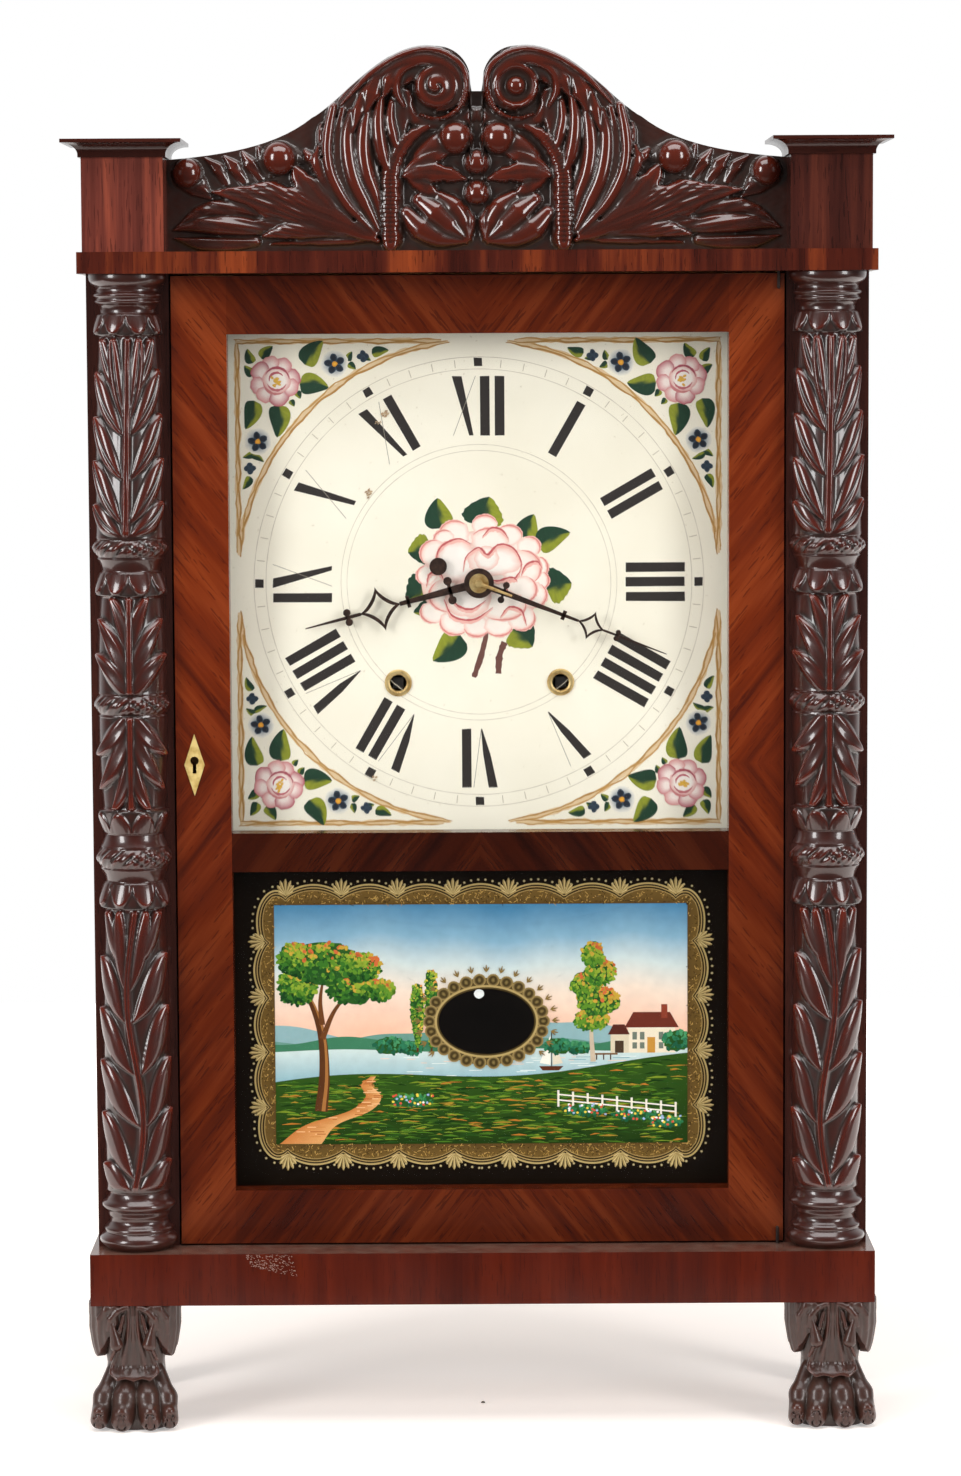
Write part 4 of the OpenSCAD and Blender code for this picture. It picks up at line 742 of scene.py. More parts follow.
@dataclass
class Studio:
    """Camera, floor and lamps."""

    eye: tuple[float, float, float] = (-3.2, -2400, 614.1)
    pitch: float = 5.370
    yaw: float = 0.087
    roll: float = -0.294
    focal_px: float = 4207.9
    image_height_px: float = 1476.0
    sensor_mm: float = 24.0

    def camera(self) -> None:
        """Puts the camera where the photograph's stood.

        Forward is turned down by the pitch and right by the yaw, and the picture is
        rolled about it.
        """
        p, y, r = (math.radians(a) for a in (self.pitch, self.yaw, self.roll))
        forward = Vector((math.sin(y) * math.cos(p), math.cos(y) * math.cos(p), -math.sin(p)))
        right = Vector((math.cos(y), -math.sin(y), 0))
        up = right.cross(forward)
        right, up = (math.cos(r) * right + math.sin(r) * up, math.cos(r) * up - math.sin(r) * right)
        data = bpy.data.cameras.new("camera")
        data.sensor_fit = "VERTICAL"
        data.sensor_height = self.sensor_mm
        data.lens = self.focal_px / self.image_height_px * self.sensor_mm
        data.clip_end = 50.0
        made = bpy.data.objects.new("camera", data)
        turn = Matrix((right, up, -forward)).transposed()
        made.matrix_world = Matrix.Translation(Vector(self.eye) * MM) @ turn.to_4x4()
        bpy.context.scene.collection.objects.link(made)
        bpy.context.scene.camera = made

    def floor(self) -> None:
        """White paper under the clock and behind it, lighter to the camera far from the clock:
        painted shade near the clock.
        """
        half, near, far = 1500, -300, 1500
        points = np.array([(x, y, 0) for y in (near, far) for x in (-half, half)], float)
        sheet = to_mesh("studio_paper", points, grid_faces(2, 2))
        made = bpy.data.materials.new("studio_paper")
        made.use_nodes = True
        tree = made.node_tree
        add = partial(add_node, tree)
        where = add("TexCoord", out="Object")
        colour = add("ValToRGB", {
            "Fac": add("TexNoise", {"Vector": where, "Scale": 60}),
            "stops": ((0, "#f9eee6"), (1, "#fdf4ec"))})
        away = add("VectorMath", {"operation": "LENGTH", 0: where}, "Value")
        # The camera-seen glow rises from 0.3 within 0.4 m of the clock to 0.9 beyond 1.1 m: painted
        # shade round the clock
        glow = add("MapRange", {"Value": away, "From Min": 0.4, "From Max": 1.1, "To Min": 0.3,
                                "To Max": 0.9})
        seen = add("LightPath", out="Is Camera Ray")
        for ray in ("Is Glossy Ray", "Is Transmission Ray"):
            seen = add("Math", {"operation": "MAXIMUM", 0: seen, 1: add("LightPath", out=ray)})
        paper = tree.nodes["Principled BSDF"]
        Finish.lay(tree, paper, colour, Roughness=0.9, Emission_Color=(1, 1, 1, 1))
        tree.links.new(add("Math", {"operation": "MULTIPLY", 0: glow, 1: seen}),
                       paper.inputs["Emission Strength"])
        sheet.data.materials.append(made)

    def _lamp(self, name: str, place: Place, target: Place, size: Place, watts: float) -> None:
        """Adds one soft box.

        Args:
            name: the lamp's name.
            place: where it stands, in millimetres.
            target: what it points at.
            size: width and height.
            watts: its power.
        """
        data = bpy.data.lights.new(name, "AREA")
        data.shape = "RECTANGLE"
        data.size, data.size_y = (v * MM for v in size)
        data.energy = watts
        made = bpy.data.objects.new(name, data)
        made.location = Vector(place) * MM
        made.rotation_euler = (Vector(target) - Vector(place)).to_track_quat("-Z", "Y").to_euler()
        bpy.context.scene.collection.objects.link(made)

    def lights(self) -> None:
        """Strip lamps at both sides, a wide one above the front, and the room's own light.

        The camera sees white where it sees the room. The room lights everything evenly.
        In polished faces it is dark in front of the clock, where the black cloth round
        the camera hangs, and white behind it, along a smooth step of the direction.
        """
        middle = (0, 0, 420)
        self._lamp("strip_left", (-1700, -1500, 1050), middle, (600, 1300), 29)
        self._lamp("strip_right", (1700, -1450, 1000), middle, (600, 1300), 23)
        self._lamp("soft_box_top", (0, -600, 2300), middle, (2200, 1100), 31)
        world = bpy.data.worlds.new("studio_room")
        bpy.context.scene.world = world
        world.use_nodes = True
        tree = world.node_tree
        add = partial(add_node, tree)
        back = tree.nodes["Background"]
        depth = add("SeparateXYZ", {0: add("TexCoord", out="Generated")}, 1)
        behind = add("MapRange", {"interpolation_type": "SMOOTHSTEP", "Value": depth, "From Min": 0,
                                  "From Max": 0.8})
        even, mirrored = (
            add("Math", {"operation": "MULTIPLY_ADD", 0: behind, 1: more, 2: least})
            for more, least in ((0.25, 0.43), (0.85, 0.05)))
        change = add("Math", {"operation": "SUBTRACT", 0: mirrored, 1: even})
        room = add("Math", {"operation": "MULTIPLY_ADD", 1: change, 2: even,
                            0: add("LightPath", out="Is Glossy Ray")})
        for ray in ("Is Camera Ray", "Is Transmission Ray"):
            room = add("Math", {"operation": "MAXIMUM", 0: room, 1: add("LightPath", out=ray)})
        tree.links.new(room, back.inputs["Strength"])
        back.inputs["Color"].default_value = (1, 1, 1, 1)

    def build(self) -> None:
        """Sets the studio up."""
        view = bpy.context.scene.view_settings
        view.view_transform = "Standard"
        self.camera()
        self.floor()
        self.lights()
        log.info("studio: camera at %s", self.eye)


# Frame parts that keep their solids


@dataclass
class FrameDress:
    """Finishes of the frame's own nodes, by node."""

    nodes: dict[str, Piece]
    seam_z: float = 376.8

    def finishes(self) -> dict[str, Finish]:
        """Finish of every node that shows its own solid.

        Returns:
            The finishes by node.
        """
        pine = BareWood("pine", "#b58d5a", "#8a6337")
        pine_across = BareWood("pine_across", "#b58d5a", "#8a6337", Grain.ACROSS)
        cherry = BareWood("cherry", "#8f5a34", "#6d3f22", line_mm=2)
        drum = BareWood("drum", "#8f5a34", "#6d3f22", line_mm=2, iron_before=6)
        oak = BareWood("oak", "#9c7646", "#75542d")
        brass = Metal("cast_brass", "#ead196", "#b8955a", 0.45, patch_mm=9)
        steel = Metal("drawn_steel", "#8d8a84", "#55504a", 0.3)
        iron = Metal("cast_iron", "#3d3a37", "#26221f", 0.55, metallic=0.6)
        door_veneer = partial(Veneer, grain=Grain.SLANT, seam_z=self.seam_z,
                              light="#93401a", middle="#6c2509", deep="#3e1108", ribbon_mm=22)
        black = Metal("blackened_iron", "#2b211e", "#3c2a22", 0.42, metallic=0.5, patch_mm=3)
        chosen: dict[str, Finish] = {
            "base_frame": Veneer("base", light="#5f1c07", middle="#4d1405", deep="#390d04",
                                 ribbon_mm=26, dusty=True),
            "case_sides": Veneer("sides", light="#702a0d", middle="#501808", ribbon_mm=40),
            "column_stiles": Veneer("stiles", light="#54291e", middle="#3c1c16", deep="#26100c"),
            "top_rail": Veneer("rail", light="#8a3c1a", middle="#4f1c10", deep="#260b08",
                               ribbon_mm=30, dusty=True),
            # The tones darken the blocks towards the right: painted shade on the right-hand block,
            # as the light falls from the left
            "plinth_blocks": Veneer("blocks", light="#9a4a34", middle="#683026", deep="#3a1814",
                                    ribbon_mm=8, tone_axis=0, tones=((-100, 1), (100, 0.4))),
            "plinth_caps": Veneer("caps", Grain.ACROSS, light="#4d1f15", middle="#38150d",
                                  deep="#220b06", dusty=True),
            "door_stiles": door_veneer("door_stiles", tones=(
                (120, 0.66), (280, 0.66), (400, 1), (600, 1), (640, 0.86))),
            "door_rails": door_veneer("door_rails", tones=(
                (120, 0.58), (300, 0.58), (312, 0.26), (342, 0.26), (356, 0.74),
                (640, 0.74))),
            "glazing_strips": Veneer("strips", light="#5c2410", middle="#3d140a", deep="#230a05"),
            "rear_feet": Veneer("feet", light="#5c2619", middle="#42180f", deep="#280d08"),
            "escutcheon": Bone(), "dial_board": DialGround(), "dial_glass": OldGlass("dial"),
            "tablet_glass": OldGlass("tablet"), "hinge_pintles": black}
        for finish, names in (
                (pine, "glue_blocks back_board case_rails dial_pins"),
                (pine_across, "bottom_board top_board"),
                (brass, "lock_case lock_bolt dial_grommets pendulum_bob minute_arbor"),
                (iron, "time_weight strike_weight gong_base"), (oak, "plate_front plate_back"),
                (steel, "gong_wire pulley_pins movement_studs pendulum_rod verge fly "
                        "strike_hammer"),
                (cherry, "plate_pillars time_great_wheel time_second_wheel time_third_wheel "
                         "escape_wheel hour_wheel time_pulley strike_great_wheel "
                         "strike_second_wheel strike_third_wheel count_wheel strike_pulley"),
                (drum, "time_drum strike_drum")):
            chosen.update(dict.fromkeys(names.split(), finish))
        return chosen

    def build(self) -> None:
        """Dresses the nodes."""
        for name, finish in self.finishes().items():
            finish.dress(self.nodes[name])
        log.info("frame: %d nodes dressed", len(self.finishes()))


# Carved half columns


@dataclass
class HalfColumn:
    """One carved half column on its stile.

    The surface is a half round, whose radius at each height comes from the turned
    profile, with the carving added outwards. Places across are measured round the
    shaft in millimetres.
    """

    side: int
    middle_x: float = 195.8
    face_y: float = -33.7
    bottom: float = 101.5
    top: float = 653.0
    columns: int = 101
    step: float = 0.66

    # Bands of the turning from the top down: upper z, radius above, radius below, swell
    bands: tuple[tuple[float, float, float, float], ...] = (
        (653, 21.8, 21.8, 0), (651.4, 21.8, 17.8, 1.2), (645.4, 17.6, 17.6, 0),
        (643.2, 17.6, 17.6, 1.8), (639.4, 17.2, 17.2, 1.5), (636.2, 16.8, 15.8, -0.8),
        (630.8, 17.4, 19.6, 0.4), (618.7, 16.4, 19.6, 1), (505.5, 18.6, 18.6, 2.6),
        (494.9, 19.4, 16.4, -0.6), (486.7, 17.6, 20.6, 0.5), (473.5, 17.6, 19.6, 0.6),
        (418.1, 18.6, 18.6, 2.6), (406.5, 19.6, 17.6, 0.6), (352.9, 20.6, 17.6, 0.5),
        (339.9, 16.4, 19.4, -0.6), (331.7, 18.6, 18.6, 2.6), (319.5, 19.4, 16.4, -0.6),
        (311.6, 17.6, 20.6, 0.5), (297.5, 17.2, 18.4, 1.4), (134.9, 16.8, 18.4, -0.5),
        (130.3, 18.2, 18.2, 2.8), (123.3, 17.6, 17.6, 0), (120.3, 17.2, 19.4, -1.6),
        (113.9, 19.8, 19.8, 0), (111.9, 18.4, 18.4, 4), (101.5, 18.4, 18.4, 0))

    # Mean radius that places round the shaft are measured on, and bounds of the carving
    round_r: float = 20.0
    least_r: float = 9.0
    most_r: float = 22.4

    def profile(self, z: Array) -> Array:
        """Turned radius at each height: a mix of the band's radii plus swell times sine.

        Args:
            z: the heights.

        Returns:
            A radius for each.
        """
        radius = np.zeros_like(z)
        for (high, r0, r1, swell), (low, *_rest) in zip(self.bands, self.bands[1:]):
            t = np.clip((high - z) / (high - low), 0, 1)
            here = (z <= high) & (z >= low)
            radius = np.where(here, r0 + (r1 - r0) * t + swell * np.sin(np.pi * t), radius)
        return radius

    @staticmethod
    def rope(s: Array, z: Array, low: float, high: float) -> Array:
        """Bound laurel ring: slanting strands that meet in the middle, in a round band.

        Args:
            s, z: places round the shaft and up.
            low, high: foot and top of the ring.

        Returns:
            Heights of its relief.
        """
        t = np.clip((z - low) / (high - low), 0, 1)
        slant = np.abs(s) * 0.42 + (z - low) * 0.55
        strand = np.abs(np.sin(slant * 0.75)) ** 0.6
        crossing = 0.35 * np.cos(s * 1.4 - z * 1.2)
        ring = (strand * 1.5 + crossing - 0.9) * np.sin(np.pi * t)
        return np.where((z > low) & (z < high), ring, 0)

    @staticmethod
    def petals(s: Array, z: Array, low: float, high: float, down: bool) -> Array:
        """Collar of overlapping petals: points every 15 mm, ribbed, cut in below them.

        Args:
            s, z: places round the shaft and up.
            low, high: foot and top of the collar.
            down: whether the points hang.

        Returns:
            Heights of its relief.
        """
        t = np.clip((z - low) / (high - low), 0, 1)
        reach = 1 - t if down else t
        phase = (s / 15) % 1.0 - 0.5
        edge = 0.2 + 0.8 * np.abs(np.cos(np.pi * phase)) ** 0.7
        body = np.clip((edge - reach) * 6, 0, 1)
        rib = 0.5 * np.abs(np.sin(np.pi * phase * 3)) + 0.5 * np.exp(-(phase / 0.08) ** 2)
        return np.where((z > low) & (z < high), body * (1.2 + rib) * (0.5 + 0.7 * reach) - 0.9, 0)

    @staticmethod
    def stem_lobes(s: Array, z: Array, low: float, high: float, pitch: float, count: int,
                   stem: Callable[[Array | float], Array | float], length: float, width: float,
                   first: float, groove: float) -> Array:
        """Stem with plump lobes that sweep up and out to both sides, and sepals at its top.

        Args:
            s: places round the shaft.
            z: heights.
            low: foot of the carved stretch.
            high: its top.
            pitch: rise from one pair of lobes to the next.
            count: number of pairs.
            stem: the stem's middle line, as a function of height.
            length: rise of a lobe from its foot to its tip.
            width: half width of a lobe.
            first: height of the lowest tips.
            groove: how deep each lobe is scooped, as a share of its height.

        Returns:
            Heights of the relief.
        """
        relief = np.full_like(s, -1.2)
        for index in range(count):
            tip_z = first + index * pitch
            for side in (-1, 1):
                lift = 0.0 if side < 0 else pitch * 0.06
                foot_z = max(tip_z - length, low + 1)
                foot = (float(stem(foot_z)) + side * 1.6, foot_z)
                tip = (float(stem(tip_z)) * 0.3 + side * 22.5, tip_z + lift)
                lobe = leaf_height(s, z, foot, tip, width, 5, bow=side * 2, groove=groove,
                                   fullest=1.45, blunt=0.55)
                relief = np.maximum(relief, lobe - 1.2)
        for foot_z, across, half in ((high - 48, 8.5, 5), (high - 36, 19, 6)):
            for side in (-1, 1):
                sepal = leaf_height(s, z, (float(stem(foot_z)) + side * 1, foot_z),
                                    (side * across, high + 2), half, 4.6, bow=side * 2,
                                    groove=groove, fullest=1.2)
                relief = np.maximum(relief, sepal - 1.2)
        middle = np.abs(s - stem(z))
        stalk = 2.9 * np.exp(-(middle / 2.2) ** 2) - 1.3 * np.exp(-(middle / 0.5) ** 2)
        relief = np.maximum(relief, stalk - 0.4)
        ends = smooth_step(z, low, low + 4) * (1 - smooth_step(z, high - 3, high))
        return np.where((z > low) & (z < high), relief * ends, 0)

    @staticmethod
    def fan_leaves(s: Array, z: Array, low: float, high: float, up: bool) -> Array:
        """Acanthus half: a stem and three ribbed lobes on each side, pointing up or down.

        Args:
            s, z: places round the shaft and up.
            low, high: foot and top of the leaf.
            up: whether it points up.

        Returns:
            Heights of its relief.
        """
        height = high - low
        zz = (z - low) if up else (high - z)
        relief = np.full_like(s, -1.4)
        for start, tip, reach, width in ((0, 0.42, 25, 6.5), (0.15, 0.78, 22, 6.5),
                                         (0.45, 1.04, 13, 5)):
            for side in (-1, 1):
                lobe = leaf_height(s, zz, (side * 1.2, start * height),
                                   (side * reach, tip * height), width, 4.4,
                                   bow=-side * 2.6, groove=0.2, ribs=2)
                relief = np.maximum(relief, lobe - 1.2)
        middle = np.abs(s)
        stalk = 3.6 * np.exp(-(middle / 2) ** 2) - 1.2 * np.exp(-(middle / 0.5) ** 2)
        relief = np.maximum(relief, stalk - 0.6)
        ends = smooth_step(z, low, low + 1.5) * (1 - smooth_step(z, high - 1.5, high))
        return np.where((z > low) & (z < high), relief * ends, 0)

    def lower_stem(self, z: Array | float) -> Array | float:
        """The lower stem sways from side to side once between foot and top."""
        t = (np.asarray(z, float) - 135) / 162.0
        return self.side * -5.0 * np.sin(2.2 * np.pi * t - 0.2) * (1 - 0.3 * t)

    def carving(self, s: Array, z: Array) -> Array:
        """Relief of the whole column over its turned profile.

        Args:
            s, z: places round the shaft and up.

        Returns:
            Heights of the relief.
        """
        total = np.zeros_like(s)
        for low, high in ((494.9, 505.5), (406.5, 418.1), (319.5, 331.7)):
            total += self.rope(s, z, low, high)
        for low, high, down in ((618.7, 630.8, True), (473.5, 486.7, True),
                                (339.9, 352.9, False), (297.5, 311.6, True)):
            total += self.petals(s, z, low, high, down)
        total += self.stem_lobes(s, z, 505.5, 618.7, 24.6, 4, lambda h: 0.02 * (h - 560),
                                 36, 6.6, 525, 0.35)
        total += self.fan_leaves(s, z, 418.1, 473.5, True)
        total += self.fan_leaves(s, z, 352.9, 406.5, False)
        total += self.stem_lobes(s, z, 134.9, 297.5, 29.6, 5, self.lower_stem, 38, 7.8, 152, 0)
        return total

    def build(self) -> Piece:
        """Makes the column's mesh.

        Returns:
            The dressed object.
        """
        rows = int((self.top - self.bottom) / self.step) + 1
        z = np.linspace(self.top, self.bottom, rows)[:, None] * np.ones((1, self.columns))
        angle = np.radians(np.linspace(-90, 90, self.columns))[None, :] * np.ones((rows, 1))
        base = self.profile(z)
        s = angle * self.round_r
        # The carving dies away where the half round meets the stile
        relief = self.carving(s, z) * np.cos(np.clip(angle, -np.pi / 2, np.pi / 2)) ** 0.25
        radius = np.clip(base + relief, self.least_r, self.most_r)
        x = self.side * self.middle_x + radius * np.sin(angle)
        y = self.face_y - radius * np.cos(angle)
        points = np.stack([x, y, z], axis=-1).reshape(-1, 3)
        faces = grid_faces(rows, self.columns)
        flat = list(range(0, rows * self.columns, self.columns))
        far = list(range(self.columns - 1, rows * self.columns, self.columns))
        rear = [[flat[i], flat[i + 1], far[i + 1], far[i]] for i in range(rows - 1)]
        lids = [list(range(self.columns)), list(range(rows * self.columns - 1,
                                                      (rows - 1) * self.columns - 1, -1))]
        made = to_mesh(f"carved_column_{'left' if self.side < 0 else 'right'}", points,
                       faces.tolist() + rear + lids)
        # Hollows darker than the body and ridges redder along this share: painted shade in the
        # recesses, wear on the ridges
        point_values(made, "rubbed", wear_and_shade_share(relief, 4).ravel())
        outward(made)
        return hand_over(made, Carving("column"), Body.CASE)


# Carved relief


@dataclass(frozen=True)
class Stroke:
    """One carved form of a relief, set along a middle line.

    The path holds places across and up in millimetres. Half widths and heights over the
    board are spread evenly along it. The groove is the depth of a hollow along the
    middle, as a share of the section; ribs, scallops and notches are counts.
    """

    path: tuple[tuple[float, float], ...]
    width: tuple[float, ...]
    height: tuple[float, ...]
    groove: float = 0.0
    ribs: int = 0
    scallops: int = 0
    notches: int = 0
    round: float = 1.0


def smooth_line(path: Places, per_leg: int = 8) -> Array:
    """Catmull-Rom curve through places.

    Args:
        path: the places, of any dimension.
        per_leg: points on each leg.

    Returns:
        Array of points, the last place included.
    """
    points = np.array(path, float)
    padded = np.vstack([2 * points[0] - points[1], points, 2 * points[-1] - points[-2]])
    t = np.linspace(0, 1, per_leg, endpoint=False)[None, :, None]
    a, b, c, d = (padded[i:len(points) - 1 + i][:, None, :] for i in range(4))
    legs = 0.5 * (2 * b + (c - a) * t + (2 * a - 5 * b + 4 * c - d) * t ** 2
                  + (3 * b - a - 3 * c + d) * t ** 3)
    return np.vstack([legs.reshape(-1, points.shape[1]), points[-1:]])


def carve(relief: Array, x: Array, z: Array, stroke: Stroke) -> None:
    """Raises a relief to one carved form, in place.

    Each place takes the nearest point of the middle line. Its share of the half width
    there gives a round section, whose fall is no more than the half width, so that broad
    forms swell and narrow ones stand as ridges.

    Args:
        relief: heights over the board.
        x: places across.
        z: places up.
        stroke: the form.
    """
    line = smooth_line(stroke.path)
    reach = max(stroke.width)
    inside = ((x > line[:, 0].min() - reach) & (x < line[:, 0].max() + reach)
              & (z > line[:, 1].min() - reach) & (z < line[:, 1].max() + reach))
    place = np.stack([x[inside], z[inside]], axis=-1)[:, None, :]
    start, run = line[:-1], np.diff(line, axis=0)
    along = np.clip(((place - start) * run).sum(-1) / (run ** 2).sum(-1), 0, 1)
    away = np.linalg.norm(place - start - along[..., None] * run, axis=-1)
    near = away.argmin(axis=1)
    rows = np.arange(len(near))
    t = (near + along[rows, near]) / len(run)
    half = np.interp(t, np.linspace(0, 1, len(stroke.width)), stroke.width)
    high = np.interp(t, np.linspace(0, 1, len(stroke.height)), stroke.height)
    if stroke.scallops:
        half = half * (0.82 + 0.18 * np.abs(np.sin(np.pi * stroke.scallops * t)))
    q = away[rows, near] / half
    fall = np.minimum(high - 0.8, stroke.round * half)
    section = np.sqrt(np.clip(1 - q ** 2, 0, 1)) - 1
    section -= stroke.groove * np.exp(-(q / 0.13) ** 2)
    if stroke.ribs:
        section += 0.09 * (np.cos(2 * np.pi * stroke.ribs * q) - 1) * np.minimum(1, 4 / half)
    if stroke.notches:
        section -= 0.35 * np.exp(-((stroke.notches * t % 1 - 0.5) / 0.2) ** 2)
    top = np.where(q < 1, high + fall * section, 0)
    relief[inside] = np.maximum(relief[inside], top)


def box_mean(values: Array, spread: int) -> Array:
    """Mean over a box round each cell of a grid, by running sums along each axis.

    Args:
        values: the grid.
        spread: half width of the box, in cells.

    Returns:
        A grid of the same shape.
    """
    mean = values.astype(float)
    for axis in range(values.ndim):
        pad = [(spread + 1, spread) if a == axis else (0, 0) for a in range(values.ndim)]
        sums = np.cumsum(np.pad(mean, pad, mode="edge"), axis=axis)
        size = sums.shape[axis]
        high = np.take(sums, range(2 * spread + 1, size), axis=axis)
        low = np.take(sums, range(0, size - 2 * spread - 1), axis=axis)
        mean = (high - low) / (2 * spread + 1)
    return mean


